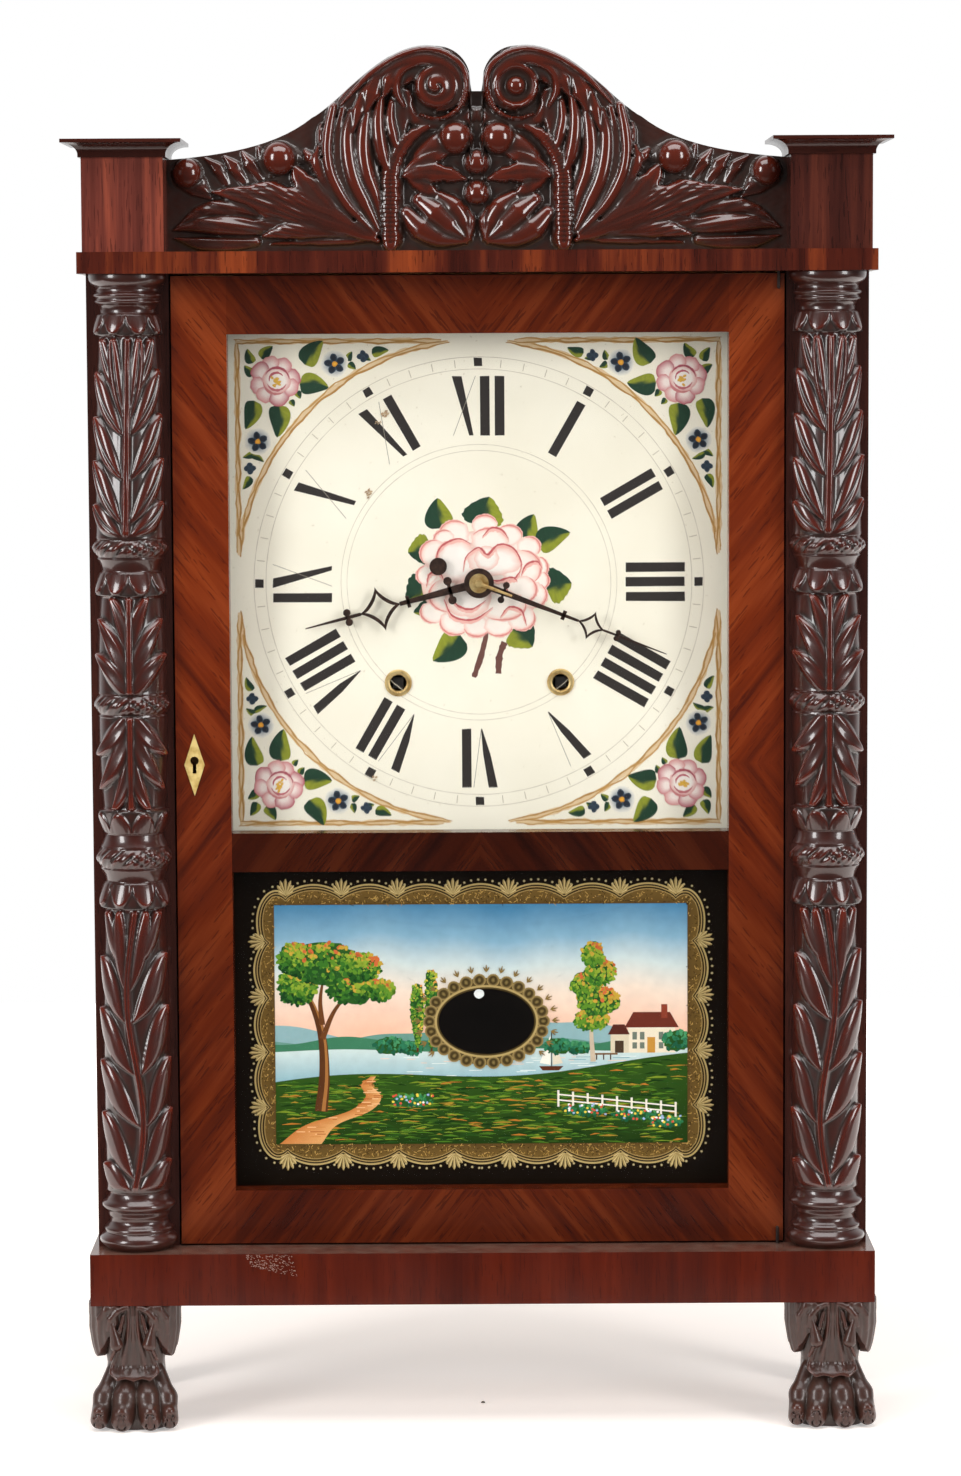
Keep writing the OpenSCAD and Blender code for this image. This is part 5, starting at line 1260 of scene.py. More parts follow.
@dataclass
class CarvedCrest:
    """Scrolled crest: acanthus, gadroons, balls and two volutes, carved from one board.

    The left half is laid out here and the right one mirrors it, apart from its volute,
    which ends in a button and not in a hook.
    """

    half: float = 173.6
    foot: float = 665.0
    face_y: float = -25.2
    back_y: float = -13.2
    columns: int = 511
    rows: int = 168
    eye: tuple[float, float] = (-22, 91.5)
    ground: float = 1.0

    # Balls: place across and up, radius
    balls: tuple[tuple[float, float, float], ...] = (
        (-162, 44, 8.4), (-110.5, 52, 9.5), (-12, 63, 9.5), (0, 49.5, 7),
        (0, 32.5, 7))

    strokes: tuple[Stroke, ...] = (
        # Plates under the flutes, the neck and the small leaves
        Stroke(((-66.5, 80.5), (-67, 60.5), (-64.5, 41), (-58.5, 23.5), (-53.5, 9.5)),
               (11.5, 12.9, 11.1, 7.3, 1.8), (4.6, 6, 6.2, 5.4, 4), round=0.25),
        Stroke(((-79, 78), (-67, 86), (-55.5, 94), (-44, 100), (-33, 102)),
               (2.4, 7.3, 9.3, 9.3, 6.7), (5.4, 6.2, 6.6, 6.6, 5.6), round=0.2),
        Stroke(((-42, 84.5), (-45, 71.5), (-47, 56), (-47.5, 30), (-47.5, 7)),
               (6.7, 6.9, 6.2, 5.6, 5.6), (4.6, 5, 5, 4.6, 4), round=0.2),
        # Low ribs between the outer balls
        Stroke(((-151.5, 52), (-145, 46.5), (-140.5, 38.5)), (0.9, 3.8, 2.4), (2.2, 3.4, 2.2)),
        Stroke(((-141, 53), (-136, 47.5), (-130.5, 39)), (0.9, 4.2, 2.7), (2.2, 3.8, 2.4)),
        Stroke(((-131, 55.5), (-127, 49.5), (-121.5, 41)), (0.9, 4.2, 2.7), (2.2, 3.8, 2.4)),
        Stroke(((-122, 58.5), (-120, 52), (-115, 43)), (0.9, 3.3, 2.2), (2.2, 3.2, 2.2)),
        # Tails of the outer balls
        Stroke(((-162, 42), (-155.5, 36), (-148.5, 30)), (8, 6.2, 1.1), (5, 4.2, 2.6)),
        Stroke(((-109, 52), (-103.5, 53), (-97.5, 51)), (8.3, 6.4, 2.2), (5, 4, 2.4)),
        # Pod that points outwards: three gadroons from one tip
        Stroke(((-169.5, 13), (-156.5, 21), (-144, 24.5), (-130.5, 24.5), (-119.5, 21)),
               (0.4, 4.2, 5.6, 5.3, 3.3), (2.6, 4.8, 5.8, 5.4, 3.6), round=0.9),
        Stroke(((-169.5, 8), (-155.5, 5), (-140.5, 4.5), (-124, 6)), (0.4, 4, 4.7, 3.1),
               (2.6, 4.4, 5.2, 3.8), round=0.9),
        Stroke(((-170, 12.5), (-156.5, 15), (-144, 15), (-130.5, 14.5), (-119.5, 13.5)),
               (0.4, 4.4, 5.8, 5.8, 4), (3, 6.6, 8.2, 7.4, 4.6)),
        # Broad leaf: upper lobes, lower lobes, then the long one over them
        Stroke(((-63, 9.5), (-79, 19), (-90, 30), (-98.5, 40.5), (-102.5, 48.5)),
               (1.3, 5.8, 8.2, 8.4, 4.9, 0.9), (6, 7.6, 8.2, 7.8, 6.4, 4.6), groove=0.14, ribs=3,
               scallops=4, round=0.34),
        Stroke(((-70, 19), (-79, 30), (-84.5, 41), (-89, 49.5), (-88.5, 58)),
               (1.1, 3.3, 4.4, 3.6, 1.1), (5.6, 7.4, 8.6, 8.8, 6.8), groove=0.14, ribs=1,
               round=0.6),
        Stroke(((-64.5, 10.5), (-81, 13.5), (-99, 15.5), (-115, 16), (-132.5, 15)),
               (0.9, 4.4, 6.4, 6.9, 4, 0.7), (4.6, 6, 6.6, 6.2, 5.4, 4), groove=0.14, ribs=2,
               scallops=4, round=0.32),
        Stroke(((-63, 8), (-76.5, 10.5), (-92.5, 12), (-106, 12), (-119.5, 9)),
               (0.9, 2.4, 4, 5.6, 4.4, 0.9), (4.6, 5.8, 7.2, 8.8, 8, 5.6), round=0.8),
        Stroke(((-60, 6.5), (-72, 6), (-84.5, 6), (-99, 5.5), (-115, 4.5)),
               (1.1, 2.2, 2.7, 1.8, 0.7), (4.2, 5, 5.2, 4, 3), ribs=1, scallops=6),
        Stroke(((-55.5, 6), (-76.5, 16), (-99, 24.5), (-124, 31), (-148.5, 33.5)),
               (1.6, 5.1, 8.7, 11.1, 10.7, 5.1, 0.7), (6.2, 7.6, 8.6, 9, 8.6, 7, 5.2), groove=0.16,
               ribs=4, scallops=5, round=0.3),
        # Rolled leaf beside the flutes
        Stroke(((-80, 80.5), (-82.5, 68), (-83.5, 56), (-82, 45), (-78, 35), (-72, 25.5),
               (-65.5, 18.5), (-56.5, 9)), (2.4, 3.1, 3.1, 3.1, 2.9, 2.7, 2.2, 1.1),
               (8.8, 10, 10.4, 10.4, 10, 9.2, 8.2, 6.2)),
        Stroke(((-75, 79), (-77.5, 67), (-78, 55), (-76.5, 44), (-73, 32.5), (-66.5, 22),
               (-56, 9.5)), (2, 2.4, 2.7, 2.7, 2.7, 2.2, 1.1), (7.2, 8, 8.4, 8.4, 8.2, 7.6, 6),
               groove=0.3),
        Stroke(((-80, 47.5), (-83.5, 55), (-86.5, 63), (-87, 71)), (1.3, 2.9, 2.9, 0.7),
               (5.2, 6.8, 6.6, 4.4), groove=0.25, scallops=3),
        Stroke(((-80.5, 41), (-88, 47.5), (-93.5, 53), (-96, 56)), (1.1, 2.9, 3.1, 1.1),
               (5, 6.4, 6, 4), groove=0.25),
        # Flutes
        Stroke(((-69.5, 77), (-72, 65), (-71.5, 52), (-68.5, 39), (-62.5, 26.5), (-55, 12)),
               (2.9, 4.4, 4.8, 4.8, 4, 1.3), (7.8, 9.6, 10.6, 10.6, 9.8, 6.4), round=1.1),
        Stroke(((-61, 79), (-63, 67), (-63.5, 55), (-61.5, 43), (-57, 31), (-54.5, 19)),
               (2.7, 4.4, 4.8, 4.6, 3.6, 1.3), (7.8, 9.8, 10.8, 10.6, 9.2, 6.4), round=1.1),
        Stroke(((-53.5, 84.5), (-55, 73.5), (-54.5, 63), (-52.5, 53), (-49.5, 45)),
               (2, 4, 4.3, 3.9, 2), (7.4, 9.4, 10.2, 9.6, 7.6), round=1.1),
        Stroke(((-47.5, 82.5), (-48.5, 73.5), (-47, 65), (-44, 56)), (1.6, 2.9, 3.1, 1.6),
               (6.2, 8, 8.4, 6.8), round=0.9),
        # Small leaves that hang under the neck
        Stroke(((-44.5, 101), (-48.5, 94), (-52, 85.5)), (2.9, 4.4, 0.6), (8.4, 10, 7.6),
               groove=0.16, round=0.6),
        Stroke(((-54, 99.5), (-58.5, 88), (-62, 77)), (2.4, 5.3, 0.7), (8.2, 10.4, 8.8),
               groove=0.14, ribs=2, round=0.5),
        Stroke(((-62, 90), (-66, 78), (-69, 66)), (1.8, 3.1, 0.6), (8, 10, 9), groove=0.2,
               round=0.6),
        # Stem of the scroll, from the outline down to the saddle
        Stroke(((-38.5, 81.5), (-34.5, 73.5), (-26.5, 71), (-15, 72), (-2.5, 76)),
               (3.3, 3.8, 4, 4, 4.4), (4.2, 4.4, 4.2, 4, 3.6)),
        # Side leaf under the egg
        Stroke(((-40, 44.5), (-31.5, 49.5), (-22.5, 53), (-15.5, 55.5)), (1.8, 4.2, 4.7, 1.3),
               (5.4, 7, 7.2, 5), groove=0.14, ribs=2, scallops=3, round=0.5),
        Stroke(((-38.5, 41), (-31.5, 37), (-26, 33.5), (-21, 30)), (1.8, 4.4, 4.7, 0.9),
               (5.4, 6.8, 6.8, 4.6), groove=0.14, ribs=2, scallops=3, round=0.5),
        Stroke(((-40, 42), (-29.5, 44), (-18, 43), (-6.5, 40)), (2, 5.1, 6, 4.4, 1.1),
               (6.2, 8, 8.6, 7.8, 6), groove=0.12, ribs=3, scallops=3, round=0.45),
        # Inner pod: four gadroons that meet at its tip
        Stroke(((-20.5, 30), (-13.5, 24.5), (-8, 16), (-4.5, 6)), (3.8, 6, 5.3, 0.7),
               (6.2, 8.4, 7.8, 4.2), round=0.9),
        Stroke(((-6.5, 24.5), (-3.5, 16.5), (-4, 6)), (1.3, 2.7, 0.6), (4.6, 5.8, 4.2)),
        Stroke(((-32, 28.5), (-24, 22), (-15, 14), (-5, 6)), (4.2, 6.9, 6, 0.7),
               (6.8, 10.4, 9.4, 4.4), round=0.95),
        Stroke(((-39.5, 21), (-31.5, 13), (-20.5, 7.5), (-5.5, 5)), (4.2, 6.9, 5.6, 0.7),
               (6.6, 9.6, 8.2, 4.4), round=0.95),
        # Egg's tail
        Stroke(((-12.5, 62), (-22.5, 58.5), (-31.5, 53), (-35.5, 47.5)), (8.9, 7.1, 4.2, 1.3),
               (7, 6.4, 5.4, 4.4)),
        # Scroll: rim, rolled band and inner lip
        Stroke(((-76, 81), (-65.5, 92), (-55.5, 101), (-44, 108), (-29.5, 112.2), (-17, 109.5),
               (-8, 102), (-5, 92), (-7.5, 82.5), (-14, 76), (-22.5, 73.5), (-31.5, 76)),
               (0.6, 1.5, 1.8, 1.8, 1.8, 1.8, 1.8, 1.6, 1.4, 1.2, 1, 0.6),
               (7, 8.6, 9.6, 10, 10.2, 10.2, 10.2, 10, 9.6, 9, 8, 6)),
        Stroke(((-65.5, 87.5), (-56.5, 95), (-48.5, 100.5), (-39.5, 105), (-29, 107), (-19, 104.8),
               (-11.5, 99), (-9, 92), (-11, 84.5), (-16, 80), (-22, 78)),
               (1, 2.6, 3.6, 4.2, 4.4, 4.4, 4, 3.4, 2.8, 2, 1),
               (7.2, 8, 8.8, 9.4, 9.6, 9.4, 8.8, 8, 7.2, 6.4, 5.2), round=0.8),
        Stroke(((-40.5, 80.5), (-44.5, 88), (-44.5, 95.5), (-40.5, 101), (-33, 103.5)),
               (0.8, 2.2, 2.6, 2.2, 0.8), (6.8, 8.8, 9.6, 9.4, 8.4)),
        # Notched band that rises beside the flutes and bends over the egg
        Stroke(((-48.5, 4), (-48.7, 19), (-48.5, 32), (-48, 45), (-43.5, 55.5), (-36, 64.5),
               (-27, 69.5)), (5, 5.3, 5.4, 5.2, 4.2, 3.4, 1.4), (6.8, 7.6, 7.8, 7.8, 7.2, 6.6, 4.8),
               groove=0.2, scallops=11, notches=34, round=0.5))

    def top(self, x: Array) -> Array:
        """Height of the outline at each place across, over the foot.

        Args:
            x: places across.

        Returns:
            A height for each.
        """
        arc = np.radians(np.linspace(85, -5, 19))
        left = np.vstack([
            [(-self.half, 51.6)],
            bezier((-self.half, 51.6), (-137.7, 54.3), (-110.6, 59.8), (-92, 74.6), 14),
            bezier((-89.9, 75.7), (-72, 87.4), (-52.1, 114.4), (-27.6, 114.4), 18),
            np.stack([-22.6 + 19.2 * np.cos(arc), 94.8 + 19.2 * np.sin(arc)], axis=1),
            [(-2.8, 88.9), (0, 88.9)]])
        return np.interp(-np.abs(x), left[:, 0], left[:, 1])

    def _volute(self, x: Array, z: Array, hooked: bool) -> Array:
        """Eye of the scroll: a cone with a spiral cut, or a button in a hollow ring.

        Args:
            x, z: places across and up.
            hooked: whether the eye is a spiral.

        Returns:
            Heights over the board.
        """
        across, up = x - self.eye[0], z - self.eye[1]
        r = np.hypot(across, up)
        if hooked:
            turn = np.arctan2(up, across) / (2 * math.pi)
            phase = (r / 8.6 + turn + 0.3) % 1 - 0.5
            cut = np.exp(-(phase / 0.11) ** 2) * (1 - smooth_step(r, 5, 8))
            cone = 8.4 + 2.6 * (1 - r / 13.2) - 2.2 * cut - 0.8 * np.exp(-((r - 7.5) / 2.5) ** 2)
            return np.where(r < 12.6, cone - 3.0 * smooth_step(r, 10.6, 12.6), 0)
        button = np.sqrt(np.clip(1 - (r / 5.2) ** 2, 0, 1)) * 4.6 + 6.0
        ring = 4.6 + 4.6 * smooth_step(r, 6.5, 11.8)
        rolled = np.where(r < 5.2, button, ring)
        return np.where(r < 12.6, rolled - 3.0 * smooth_step(r, 11.8, 12.6), 0)

    def _half_relief(self, x: Array, z: Array, common: Array, hooked: bool) -> Array:
        """Relief of one half: the common forms with its own volute."""
        relief = np.maximum(common, self._volute(x, z, hooked))
        edge = smooth_step(self.top(x) - z, -0.6, 2.6)
        return np.minimum(relief, 3.0 + 9.0 * edge)

    def relief(self, x: Array, z: Array) -> Array:
        """Heights of the whole crest over its board.

        Args:
            x, z: places across and up.

        Returns:
            Heights.
        """
        middle = x.shape[1] // 2 + 1
        xs, zs = x[:, :middle], z[:, :middle]
        common = np.full_like(xs, self.ground)
        common += 0.12 * np.sin(xs * 0.9 + 1.3 * np.sin(zs * 0.5)) * np.sin(zs * 0.8) ** 2
        for stroke in self.strokes:
            carve(common, xs, zs, stroke)
        # Fine veins of the long leaf, which spread from its root
        out_x, out_z = -59.0 - xs, zs - 2.0
        turn = np.arctan2(out_z, out_x)
        veins = 0.3 * np.cos(turn * 110) * smooth_step(np.hypot(out_x, out_z), 28, 50)
        veins *= (turn < 0.66) & (out_x > 12)
        common += veins * smooth_step(common, self.ground + 0.8, self.ground + 2.2)
        for place_x, place_z, radius in self.balls:
            away = np.hypot(xs - place_x, zs - place_z)
            dome = 2.2 + np.sqrt(np.clip(radius ** 2 - away ** 2, 0, None))
            common = np.where(away < radius, np.maximum(common, dome), common)
        left = self._half_relief(xs, zs, common, True)
        right = self._half_relief(xs, zs, common, False)
        whole = np.concatenate([left, right[:, -2::-1]], axis=1)
        return np.clip(0.45 * whole + 0.55 * box_mean(whole, 1), 0, 12)

    def build(self) -> Piece:
        """Makes the crest: its relief, its edges and its back.

        Returns:
            The dressed object.
        """
        x = np.linspace(-self.half, self.half, self.columns)[None, :] * np.ones((self.rows, 1))
        z = np.linspace(1, 0, self.rows)[:, None] * self.top(x)
        relief = self.relief(x, z)
        wear_and_shade_values = wear_and_shade_share(relief, 5)
        # One more ring of points all round goes back to the board's rear face
        x, z, wear_and_shade_values = (np.pad(v, 1, mode="edge") for v in (x, z, wear_and_shade_values))
        y = np.pad(self.face_y - relief, 1, constant_values=self.back_y)
        points = np.stack([x, y, z + self.foot], axis=-1).reshape(-1, 3)
        wide = self.columns + 2
        last = (self.rows + 1) * wide
        across = np.arange(wide - 1)
        rear = np.stack([across + 1, across, last + across, last + across + 1], axis=1)
        made = to_mesh("carved_crest", points,
                       np.vstack([grid_faces(self.rows + 2, wide)[:, ::-1], rear[:, ::-1]]))
        point_values(made, "rubbed", wear_and_shade_values)
        made.data.set_sharp_from_angle(angle=math.radians(55))
        return hand_over(made, Carving("crest", "#33231d", "#3b1911", "#561e12"), Body.CASE,
                         "crest_splat")


# Lion paws


def surface_nets(field: Array, origin: Place, step: float) -> tuple[Array, Array]:
    """Turns the zero level of a field into a closed mesh of quads.

    Every cell that the level crosses gets one point, the mean of the crossings on its
    edges. Every grid edge that the level crosses joins its four cells in a quad.

    Args:
        field: values on a grid, negative inside.
        origin: place of the grid's first node.
        step: distance between nodes.

    Returns:
        Points and quads.
    """
    shape = np.array(field.shape) - 1
    total, count = np.zeros((*shape, 3)), np.zeros(shape)
    corners = [np.array([i, j, k]) for i in (0, 1) for j in (0, 1) for k in (0, 1)]

    def block(c: Array) -> Array:
        """Values at one corner of every cell."""
        return field[c[0]:c[0] + shape[0], c[1]:c[1] + shape[1], c[2]:c[2] + shape[2]]

    for a in corners:
        for axis in range(3):
            if a[axis]:
                continue
            b = a + np.eye(3, dtype=int)[axis]
            fa, fb = block(a), block(b)
            crossed = (fa < 0) != (fb < 0)
            share = np.where(crossed, fa / np.where(crossed, fa - fb, 1), 0)
            total += crossed[..., None] * (a + share[..., None] * (b - a))
            count += crossed
    used = count > 0
    number = np.full(shape, -1)
    number[used] = np.arange(used.sum())
    points = (np.argwhere(used) + total[used] / count[used][:, None]) * step + np.array(origin)
    quads = []
    for axis in range(3):
        side, other = (axis + 1) % 3, (axis + 2) % 3
        ahead = np.take(field, range(1, field.shape[axis]), axis=axis) < 0
        here = np.take(field, range(field.shape[axis] - 1), axis=axis) < 0
        for flip in (False, True):
            at = np.argwhere((here & ~ahead) if not flip else (~here & ahead))
            at = at[(at[:, side] > 0) & (at[:, other] > 0)
                    & (at[:, side] < shape[side]) & (at[:, other] < shape[other])]
            ring = []
            for ds, do in ((0, 0), (-1, 0), (-1, -1), (0, -1)):
                cell = at.copy()
                cell[:, side] += ds
                cell[:, other] += do
                ring.append(number[tuple(cell.T)])
            quad = np.stack(ring, axis=1)
            quads.append(quad[:, ::-1] if flip else quad)
    return points, np.vstack(quads)


def smooth_min(a: Array, b: Array, k: float) -> Array:
    """Nearer of two fields, blended over k millimetres with a quadratic."""
    return -smooth_max(-a, -b, k)


@dataclass
class LionPaw:
    """One carved lion's paw under an acanthus knee.

    It is made as a distance field in its own frame: x across from the paw's middle, y
    back from its front, z up from the floor. Fields of the parts are joined with small
    fillets, so toes keep their clefts.
    """

    side: int
    middle_x: float = 198.3
    front_y: float = -65.9
    high: float = 72.0
    step: float = 0.6

    # Knuckles and tips of the toes: x, y, z, radius
    knuckles: tuple[tuple[float, float, float, float], ...] = (
        (-18.4, 15, 17.5, 5.6), (-7.6, 11.6, 18.5, 6.4), (5, 11.4, 18.5, 6.6),
        (17.4, 14.6, 18, 5.8))
    tips: tuple[tuple[float, float, float, float], ...] = (
        (-20.2, 9, 6, 5), (-9.6, 6.6, 6.4, 6), (6.6, 6.6, 6.4, 6.4), (19.6, 8.8, 6.2, 5.2))

    @staticmethod
    def _cone(x: Array, y: Array, z: Array, a: Place, b: Place) -> Array:
        """Distance to a rounded cone between two spheres, each x, y, z and radius.

        Args:
            x, y, z: places in the paw's own frame.
            a, b: the two spheres.

        Returns:
            Distances, negative inside.
        """
        start, run = np.array(a[:3]), np.array(b[:3]) - np.array(a[:3])
        t = np.clip(((x - start[0]) * run[0] + (y - start[1]) * run[1] + (z - start[2]) * run[2])
                    / (run ** 2).sum(), 0, 1)
        away = np.sqrt((x - start[0] - t * run[0]) ** 2 + (y - start[1] - t * run[1]) ** 2
                       + (z - start[2] - t * run[2]) ** 2)
        return away - (a[3] + (b[3] - a[3]) * t)

    @staticmethod
    def _post(x: Array, y: Array, z: Array) -> tuple[Array, Array]:
        """Leg from floor to knee: a rounded square whose sizes follow the height.

        Args:
            x, y, z: places in the paw's own frame.

        Returns:
            The distance, and the front of the leg at each height.
        """
        levels = (0, 6, 14, 22, 30, 36, 42, 50, 58, 66, 72)
        wide = np.interp(z, levels, (19, 20.5, 20, 18.4, 16.6, 16.2, 17.2, 19.6, 21.6, 22.2, 22.2))
        front = np.interp(z, levels, (9, 8.6, 10, 13, 15.4, 15.6, 14.2, 12, 10.2, 9.2, 9.2))
        rear = np.interp(z, levels, (48, 48.5, 47, 45, 43.5, 43.5, 45, 48, 50.5, 51.8, 51.8))
        middle, deep = (front + rear) / 2, (rear - front) / 2
        share = ((np.abs(x) / wide) ** 3 + (np.abs(y - middle) / deep) ** 3) ** (1 / 3)
        return (share - 1) * wide * 0.9, front

    def _front_leaf(self, x: Array, y: Array, z: Array, front: Array) -> Array:
        """Acanthus leaf down the front, ribbed, with a scalloped lip that curls out.

        Args:
            x, y, z: places in the paw's own frame.
            front: front of the leg at each place.

        Returns:
            Distances, negative inside.
        """
        half = np.interp(z, (28, 33, 40, 50, 60, 72), (14, 14.4, 12.2, 8.4, 5.8, 5.4))
        q = np.abs(x) / half
        curl = 4.2 * (1 - smooth_step(z, 29, 39)) ** 2
        rib = 0.75 * np.cos(q * np.pi * 4.4) - 0.9 * np.exp(-(q / 0.09) ** 2)
        skin = front - 1.6 - curl - rib * smooth_step(z, 30, 36) + 1.8 * q ** 2
        low = 27.6 + 1.5 * np.abs(np.sin(q * np.pi * 1.5)) + 9.0 * np.clip(q - 0.5, 0, 1) ** 2
        thick = 1.6 + 0.9 * (1 - smooth_step(z, 28, 36))
        return smooth_max(smooth_max(np.abs(y - skin - 1.6) - thick, (q - 1) * half * 0.9, 1),
                          low - z, 1.6)

    def _ears(self, x: Array, y: Array, z: Array, leg: Array) -> Array:
        """Leaf that hangs at each corner, pointed, standing away from the leg.

        Args:
            x, y, z: places in the paw's own frame.
            leg: distance to the leg.

        Returns:
            Distances, negative inside.
        """
        angle = np.degrees(np.arctan2(np.abs(x), 30.0 - y))
        share = np.abs(angle - 62) / 40.0
        low = 40.5 + 21.0 * share ** 1.5
        stand = 2.6 + 3.0 * np.clip((64 - z) / 18, 0, 1) - 0.55 * np.cos(share * 24)
        shell = np.abs(leg - stand * 0.55) - (1.5 + 0.8 * (1 - np.clip(share, 0, 1)))
        return np.maximum(np.maximum(shell, (low - z) * 0.8), (share - 1) * 14)

    def field(self, x: Array, y: Array, z: Array) -> Array:
        """Distance to the whole paw, negative inside.

        Args:
            x, y, z: places in the paw's own frame.

        Returns:
            Distances.
        """
        leg, front = self._post(x, y, z)
        hatch = ((np.abs(x) * 1.0 + (72 - z) * 0.42 < 6.2)
                 * (0.5 * np.maximum(np.cos((x + z * 0.62) * 2.1), np.cos((x - z * 0.62) * 2.1))))
        whole = leg - hatch * (y < 20)
        toes = np.full_like(whole, 1e3)
        for knuckle, tip in zip(self.knuckles, self.tips):
            root = (knuckle[0] * 0.72, 21, 31, 4.4)
            toe = smooth_min(self._cone(x, y, z, root, (knuckle[0], knuckle[1] + 1, knuckle[2],
                                                        knuckle[3] * 0.92)),
                             self._cone(x, y, z, knuckle, tip), 3.2)
            nail = self._cone(x, y, z, (tip[0] * 1.01, tip[1] - tip[3] * 0.58, tip[2] + 3, 2.2),
                              (tip[0] * 1.01, tip[1] - tip[3] * 0.58, tip[2] - 2, 2.3))
            fold = self._cone(x, y, z, (tip[0], tip[1] - 2.2, tip[2] + 5, 3.6),
                              (tip[0], tip[1] - 2.9, tip[2] + 1.6, 3))
            toe = smooth_min(toe, fold, 2.6)
            toe = np.maximum(toe, 0.55 - nail)
            toes = smooth_min(toes, smooth_min(toe, nail, 0.5), 1)
        whole = smooth_min(whole, toes, 1.6)
        whole = np.minimum(whole, self._front_leaf(x, y, z, front))
        whole = smooth_min(whole, self._ears(x, y, z, leg), 0.6)
        ax = np.abs(x)
        for chain in (((3.6, 8.6, 71, 1.5), (8.6, 7.6, 69, 1.9), (12.6, 7.4, 64.6, 1.9),
                       (13.6, 8, 58.6, 1.5)),
                      ((9.8, 9, 71.4, 1.6), (15.6, 8.8, 69.2, 1.9), (18.8, 9.6, 64, 1.9),
                       (19, 11, 56, 1.4)),
                      ((5.4, 8.6, 66, 1), (7.4, 8.4, 58, 1.2), (9.8, 10.6, 48, 1.2),
                       (13, 12.8, 40, 1))):
            for a, b in zip(chain, chain[1:]):
                whole = smooth_min(whole, self._cone(ax, y, z, a, b), 0.7)
        drop = self._cone(ax, y, z, (9.4, 7.2, 50, 3.9), (11.6, 6.8, 61.5, 0.9))
        whole = smooth_min(whole, drop, 0.4)
        return np.maximum(np.maximum(whole, z - self.high), -z)

    def build(self) -> Piece:
        """Makes the paw's mesh from its field.

        Returns:
            The dressed object.
        """
        low, high = (-27, -1.2, -1.2), (27, 54, 73.8)
        axes = [np.arange(a, b, self.step) for a, b in zip(low, high)]
        x, y, z = np.meshgrid(*axes, indexing="ij")
        field = self.field(x, y, z)
        points, quads = surface_nets(field, low, self.step)
        cells = np.clip(np.rint((points - np.array(low)) / self.step).astype(int), 0,
                        np.array(field.shape) - 1)
        proud = box_mean(np.clip(field, -4, 4), 3)[tuple(cells.T)]
        wear_and_shade_values = 0.3 + proud * 0.6
        points[:, 0] = points[:, 0] * self.side + self.side * self.middle_x
        points[:, 1] += self.front_y
        np.clip(points[:, 2], 0, self.high, out=points[:, 2])
        made = to_mesh(f"lion_paw_{'left' if self.side < 0 else 'right'}", points,
                       quads if self.side > 0 else quads[:, ::-1])
        point_values(made, "rubbed", wear_and_shade_values)
        outward(made)
        return hand_over(made, Carving("paw", "#3a2c26", "#3d2119", "#54271b", 0.26, 0.25),
                         Body.CASE)


# Painting


